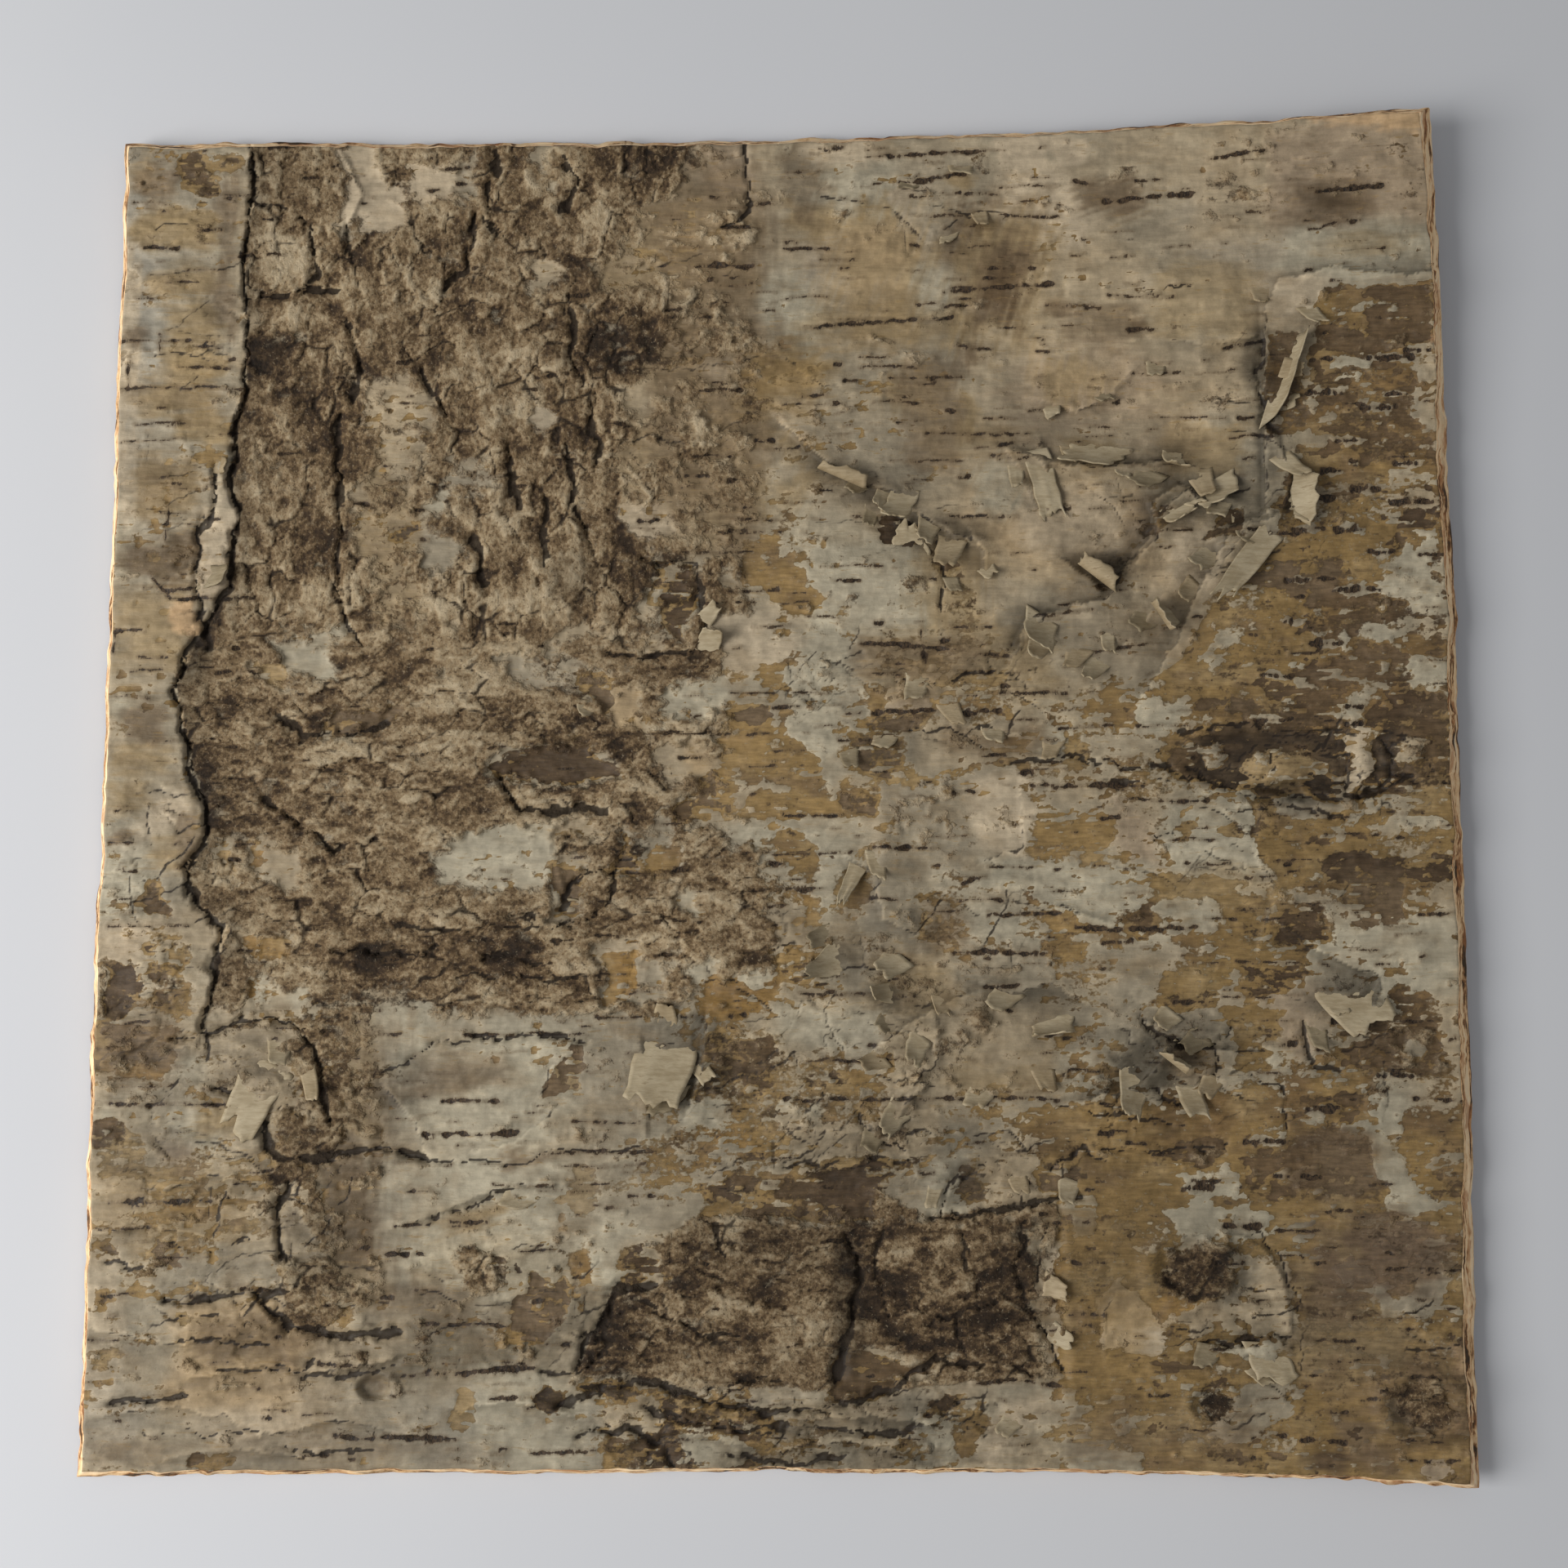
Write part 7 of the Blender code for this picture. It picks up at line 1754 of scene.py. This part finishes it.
def layer_paint(tree, streak, level, speck):
    """The outer skin, and the tan and brown layers where it has come away, with a painted highlight along
    the skin's rim and painted shadow just inside the borders of the tan and brown layers.
    """
    cloud = noise(tree, (90, 150, 90), 4.0, 0.6)
    tan_edge = maths(tree, "ADD", value_of(tree, "tan"), speck)
    brown_edge = maths(tree, "ADD", value_of(tree, "brown"), speck)
    skin = scaled(tree, colour_of(tree, "skin"), between(tree, cloud, 0.25, 0.75, 0.86, 1.12))
    skin = scaled(tree, skin, between(tree, streak, 0.3, 0.7, 0.92, 1.06))
    skin = scaled(tree, skin, between(tree, value_of(tree, "paper"), -1.0, 1.0, 0.86, 1.1))
    stain = maths(tree, "MULTIPLY", between(tree, streak, 0.56, 0.68), between(tree, cloud, 0.45, 0.62))
    skin = mixed(tree, maths(tree, "MULTIPLY", stain, 0.6), skin, rgba(OCHRE))
    # Painted highlight: the skin is lighter near its torn rim
    skin = scaled(tree, skin, between(tree, tan_edge, -0.7, -0.1, 1.0, 1.12))
    under = scaled(tree, colour_of(tree, "under"), between(tree, streak, 0.3, 0.7, 0.82, 1.16))
    under = mixed(tree, between(tree, level, 0.58, 0.72, 0.0, 0.6), under, rgba(GREY))
    # Painted shadow: the tan layer is darker just inside the skin's edge
    under = scaled(tree, under, between(tree, tan_edge, 0.0, 0.6, 0.62, 1.0))
    deep = scaled(tree, colour_of(tree, "deep"), between(tree, streak, 0.3, 0.7, 0.78, 1.2))
    deep = mixed(tree, between(tree, level, 0.6, 0.72, 0.0, 0.55), deep, rgba(OCHRE))
    # Painted shadow: the brown layer is darker just inside its border
    deep = scaled(tree, deep, between(tree, brown_edge, 0.0, 0.8, 0.7, 1.0))
    colour = mixed(tree, between(tree, tan_edge, -0.28, 0.28), skin, under)
    return mixed(tree, between(tree, brown_edge, -0.35, 0.35), colour, deep)


def turned_grain(tree, level):
    """Grain that stands upright in the upper part of the sheet and lies level in the lower part."""
    upright = noise(tree, (950, 760, 950), 5.0, 0.66)
    place = node(tree, "ShaderNodeTexCoord").outputs["Object"]
    height_up = node(tree, "ShaderNodeSeparateXYZ", [(0, place)]).outputs["Y"]
    is_upright = between(tree, height_up, 0.02, 0.045)
    return node(tree, "ShaderNodeMix", [(0, is_upright), (2, level), (3, upright)]).outputs[0]


def crust_paint(tree, turned):
    """The crust: brown to cream along its grain, with pale and dark flecks."""
    flecks = noise(tree, (1500, 1200, 1500), 4.0, 0.65)
    grain = maths(tree, "ADD", value_of(tree, "grain"), centred(tree, turned, 2.5))
    colour = ramp(tree, between(tree, grain, -1.5, 1.5), CRUST_STOPS)
    fleck = maths(tree, "ADD", flecks, maths(tree, "MULTIPLY", grain, 0.05))
    colour = mixed(tree, between(tree, fleck, 0.56, 0.62, 0.0, 0.45), colour, rgba(CREAM))
    return mixed(tree, between(tree, fleck, 0.45, 0.38, 0.0, 0.65), colour, rgba(FLECK))


def line_paint(tree, colour):
    """Lenticels and thin lines with a brown rim over the other colours."""
    fibre = noise(tree, (2600, 900, 2600), 2.0, 0.6)
    lines = maths(tree, "ADD", value_of(tree, "lines"), centred(tree, fibre, 0.7))
    colour = mixed(tree, between(tree, lines, -0.6, -0.05, 0.0, 0.4), colour, rgba(BROWN))
    line_colour = mixed(tree, between(tree, fibre, 0.4, 0.6), rgba(BLACK), rgba(DARK_BROWN))
    return mixed(tree, between(tree, lines, -0.06, 0.1), colour, line_colour)


def face_material():
    """The outer face: skin, tan and brown layers, crust, lenticels, dirt and painted shade in the cracks,
    and painted shadows and highlights.
    """
    material, tree, shader = new_material("bark_face", 0.78, CREAM)
    speck = noise(tree, (900, 1100, 900), 3.0, 0.6)
    streak = noise(tree, (260, 1500, 260), 4.0, 0.6)
    level = noise(tree, (760, 1000, 950), 5.0, 0.66)
    strong_speck = centred(tree, speck, 2.4)
    turned = turned_grain(tree, level)
    crust = maths(tree, "ADD", value_of(tree, "crust"), strong_speck)
    is_crust = between(tree, crust, -0.8, 0.8)
    colour = mixed(tree, is_crust, layer_paint(tree, streak, level, strong_speck), crust_paint(tree, turned))
    # The shade values carry painted shadows of folds, flaps and torn edges, painted highlights along torn
    # edges, hairlines and seams, and random lighter and darker tones
    colour = scaled(tree, line_paint(tree, colour), value_of(tree, "shade"))
    # Cracks, seams and torn edges go black: dirt, painted shade in the cracks and painted shadow lines along
    # the torn edges
    dirt_and_shadow = maths(tree, "ADD", value_of(tree, "dirt_and_shadow"), centred(tree, speck, 0.5))
    colour = mixed(tree, between(tree, dirt_and_shadow, 0.25, 0.8, 0.0, 0.9), colour, rgba(BLACK))
    tree.links.new(colour, shader.inputs["Base Color"])
    roughness = between(tree, value_of(tree, "crust"), -0.5, 0.5, 0.62, 0.9)
    tree.links.new(roughness, shader.inputs["Roughness"])
    rough_grain = maths(tree, "MULTIPLY", turned, between(tree, crust, -0.4, 0.4, 0.25, 1.4))
    rough_grain = maths(tree, "ADD", rough_grain, maths(tree, "MULTIPLY", streak, 0.35))
    add_bump(tree, shader, rough_grain, 0.7, 0.0006)
    return material


def edge_material():
    """The cut edge: thin cream and peach layers with dark lines between them and rusty places."""
    material, tree, shader = new_material("cut_edge", 0.8, BRIGHT)
    sheets = noise(tree, (70, 70, 1500), 3.0, 0.6)
    grains = noise(tree, (700, 700, 1400), 3.0, 0.6)
    touches = noise(tree, (120, 120, 500), 3.0, 0.6)
    value = maths(tree, "ADD", maths(tree, "MULTIPLY", sheets, 0.8), maths(tree, "MULTIPLY", grains, 0.2))
    rusty = between(tree, touches, 0.54, 0.62, 0.0, 0.6)
    colour = mixed(tree, rusty, ramp(tree, value, EDGE_STOPS), rgba(RUSTY))
    tree.links.new(colour, shader.inputs["Base Color"])
    add_bump(tree, shader, value, 0.7, 0.0005)
    return material


def inner_material():
    """The smooth underside: warm tan inner bark with faint level grain and small dark lenticels."""
    material, tree, shader = new_material("inner_bark", 0.7, WARM)
    streak = noise(tree, (60, 700, 60), 4.0, 0.6)
    cloud = noise(tree, (25, 40, 25), 3.0, 0.6)
    marks = noise(tree, (130, 1500, 130), 2.0, 0.5)
    value = maths(tree, "ADD", maths(tree, "MULTIPLY", streak, 0.5), maths(tree, "MULTIPLY", cloud, 0.5))
    is_mark = between(tree, marks, 0.62, 0.7, 0.0, 0.7)
    colour = mixed(tree, is_mark, ramp(tree, value, INNER_STOPS), rgba(INNER_MARK))
    tree.links.new(colour, shader.inputs["Base Color"])
    add_bump(tree, shader, streak, 0.4, 0.0003)
    return material


def flap_material(name, light, dark, mark):
    """A thin papery layer, seen from one side."""
    material, tree, shader = new_material(name, 0.6, light)
    streak = noise(tree, (300, 1400, 300), 4.0, 0.6)
    cloud = noise(tree, (160, 220, 160), 3.0, 0.6)
    value = maths(tree, "ADD", maths(tree, "MULTIPLY", streak, 0.5), maths(tree, "MULTIPLY", cloud, 0.5))
    colour = mixed(tree, between(tree, value, 0.35, 0.65), rgba(dark), rgba(light))
    colour = mixed(tree, between(tree, streak, 0.6, 0.7, 0.0, 0.6), colour, rgba(mark))
    tree.links.new(colour, shader.inputs["Base Color"])
    add_bump(tree, shader, streak, 0.5, 0.0003)
    return material


# Floor, light and camera


def make_floor():
    bpy.ops.mesh.primitive_plane_add(size=FLOOR_SIZE, location=(0, 0, 0))
    floor = bpy.context.object
    floor.name = "floor"
    material = bpy.data.materials.new("floor_paint")
    material.use_nodes = True
    tree = material.node_tree
    shader = tree.nodes["Principled BSDF"]
    shader.inputs["Roughness"].default_value = 0.9
    shader.inputs["Specular IOR Level"].default_value = 0.1
    cloud = noise(tree, (4, 4, 4), 3.0, 0.5)
    tree.links.new(mixed(tree, between(tree, cloud, 0.3, 0.7), *FLOOR_PAINTS), shader.inputs["Base Color"])
    floor.data.materials.append(material)


def make_light():
    world = bpy.data.worlds.new("soft_room")
    bpy.context.scene.world = world
    world.use_nodes = True
    world.node_tree.nodes["Background"].inputs["Color"].default_value = ROOM_COLOUR
    world.node_tree.nodes["Background"].inputs["Strength"].default_value = ROOM_STRENGTH
    key = bpy.data.lights.new("window", "AREA")
    key.shape = "RECTANGLE"
    key.size = key.size_y = LAMP_SIZE
    key.energy = LAMP_POWER
    key.color = LAMP_COLOUR
    lamp = bpy.data.objects.new("window", key)
    lamp.location = LAMP_PLACE
    lamp.rotation_euler = (Vector((0, 0, 0)) - lamp.location).to_track_quat("-Z", "Y").to_euler()
    bpy.context.collection.objects.link(lamp)


def make_camera():
    camera = bpy.data.objects.new("camera", bpy.data.cameras.new("camera"))
    eye = Vector(VIEWPOINT) * MM
    camera.location = eye
    camera.rotation_euler = (-eye).to_track_quat("-Z", "Y").to_euler()
    camera.data.sensor_width = SENSOR
    camera.data.lens = LENS
    camera.data.clip_start = 0.01
    bpy.context.collection.objects.link(camera)
    bpy.context.scene.camera = camera


def main():
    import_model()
    bpy.context.scene.view_settings.view_transform = "Standard"
    make_camera()
    make_light()
    make_floor()
    grid = whole_grid()
    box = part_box("bark_sheet")
    faces = [face_material(), edge_material(), inner_material()]
    pieces = []
    for right, side in enumerate(("left", "right")):
        for upper, half in enumerate(("lower", "upper")):
            pieces.append(quarter_mesh(f"sheet_{side}_{half}", grid, right, upper, faces, box))
    papers = [flap_material(name, *paints) for name, paints in FLAP_PAINTS.items()]
    pieces.append(make_curls(grid, papers))
    for piece in pieces:
        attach(piece, "root")
        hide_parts("bark_sheet")


main()
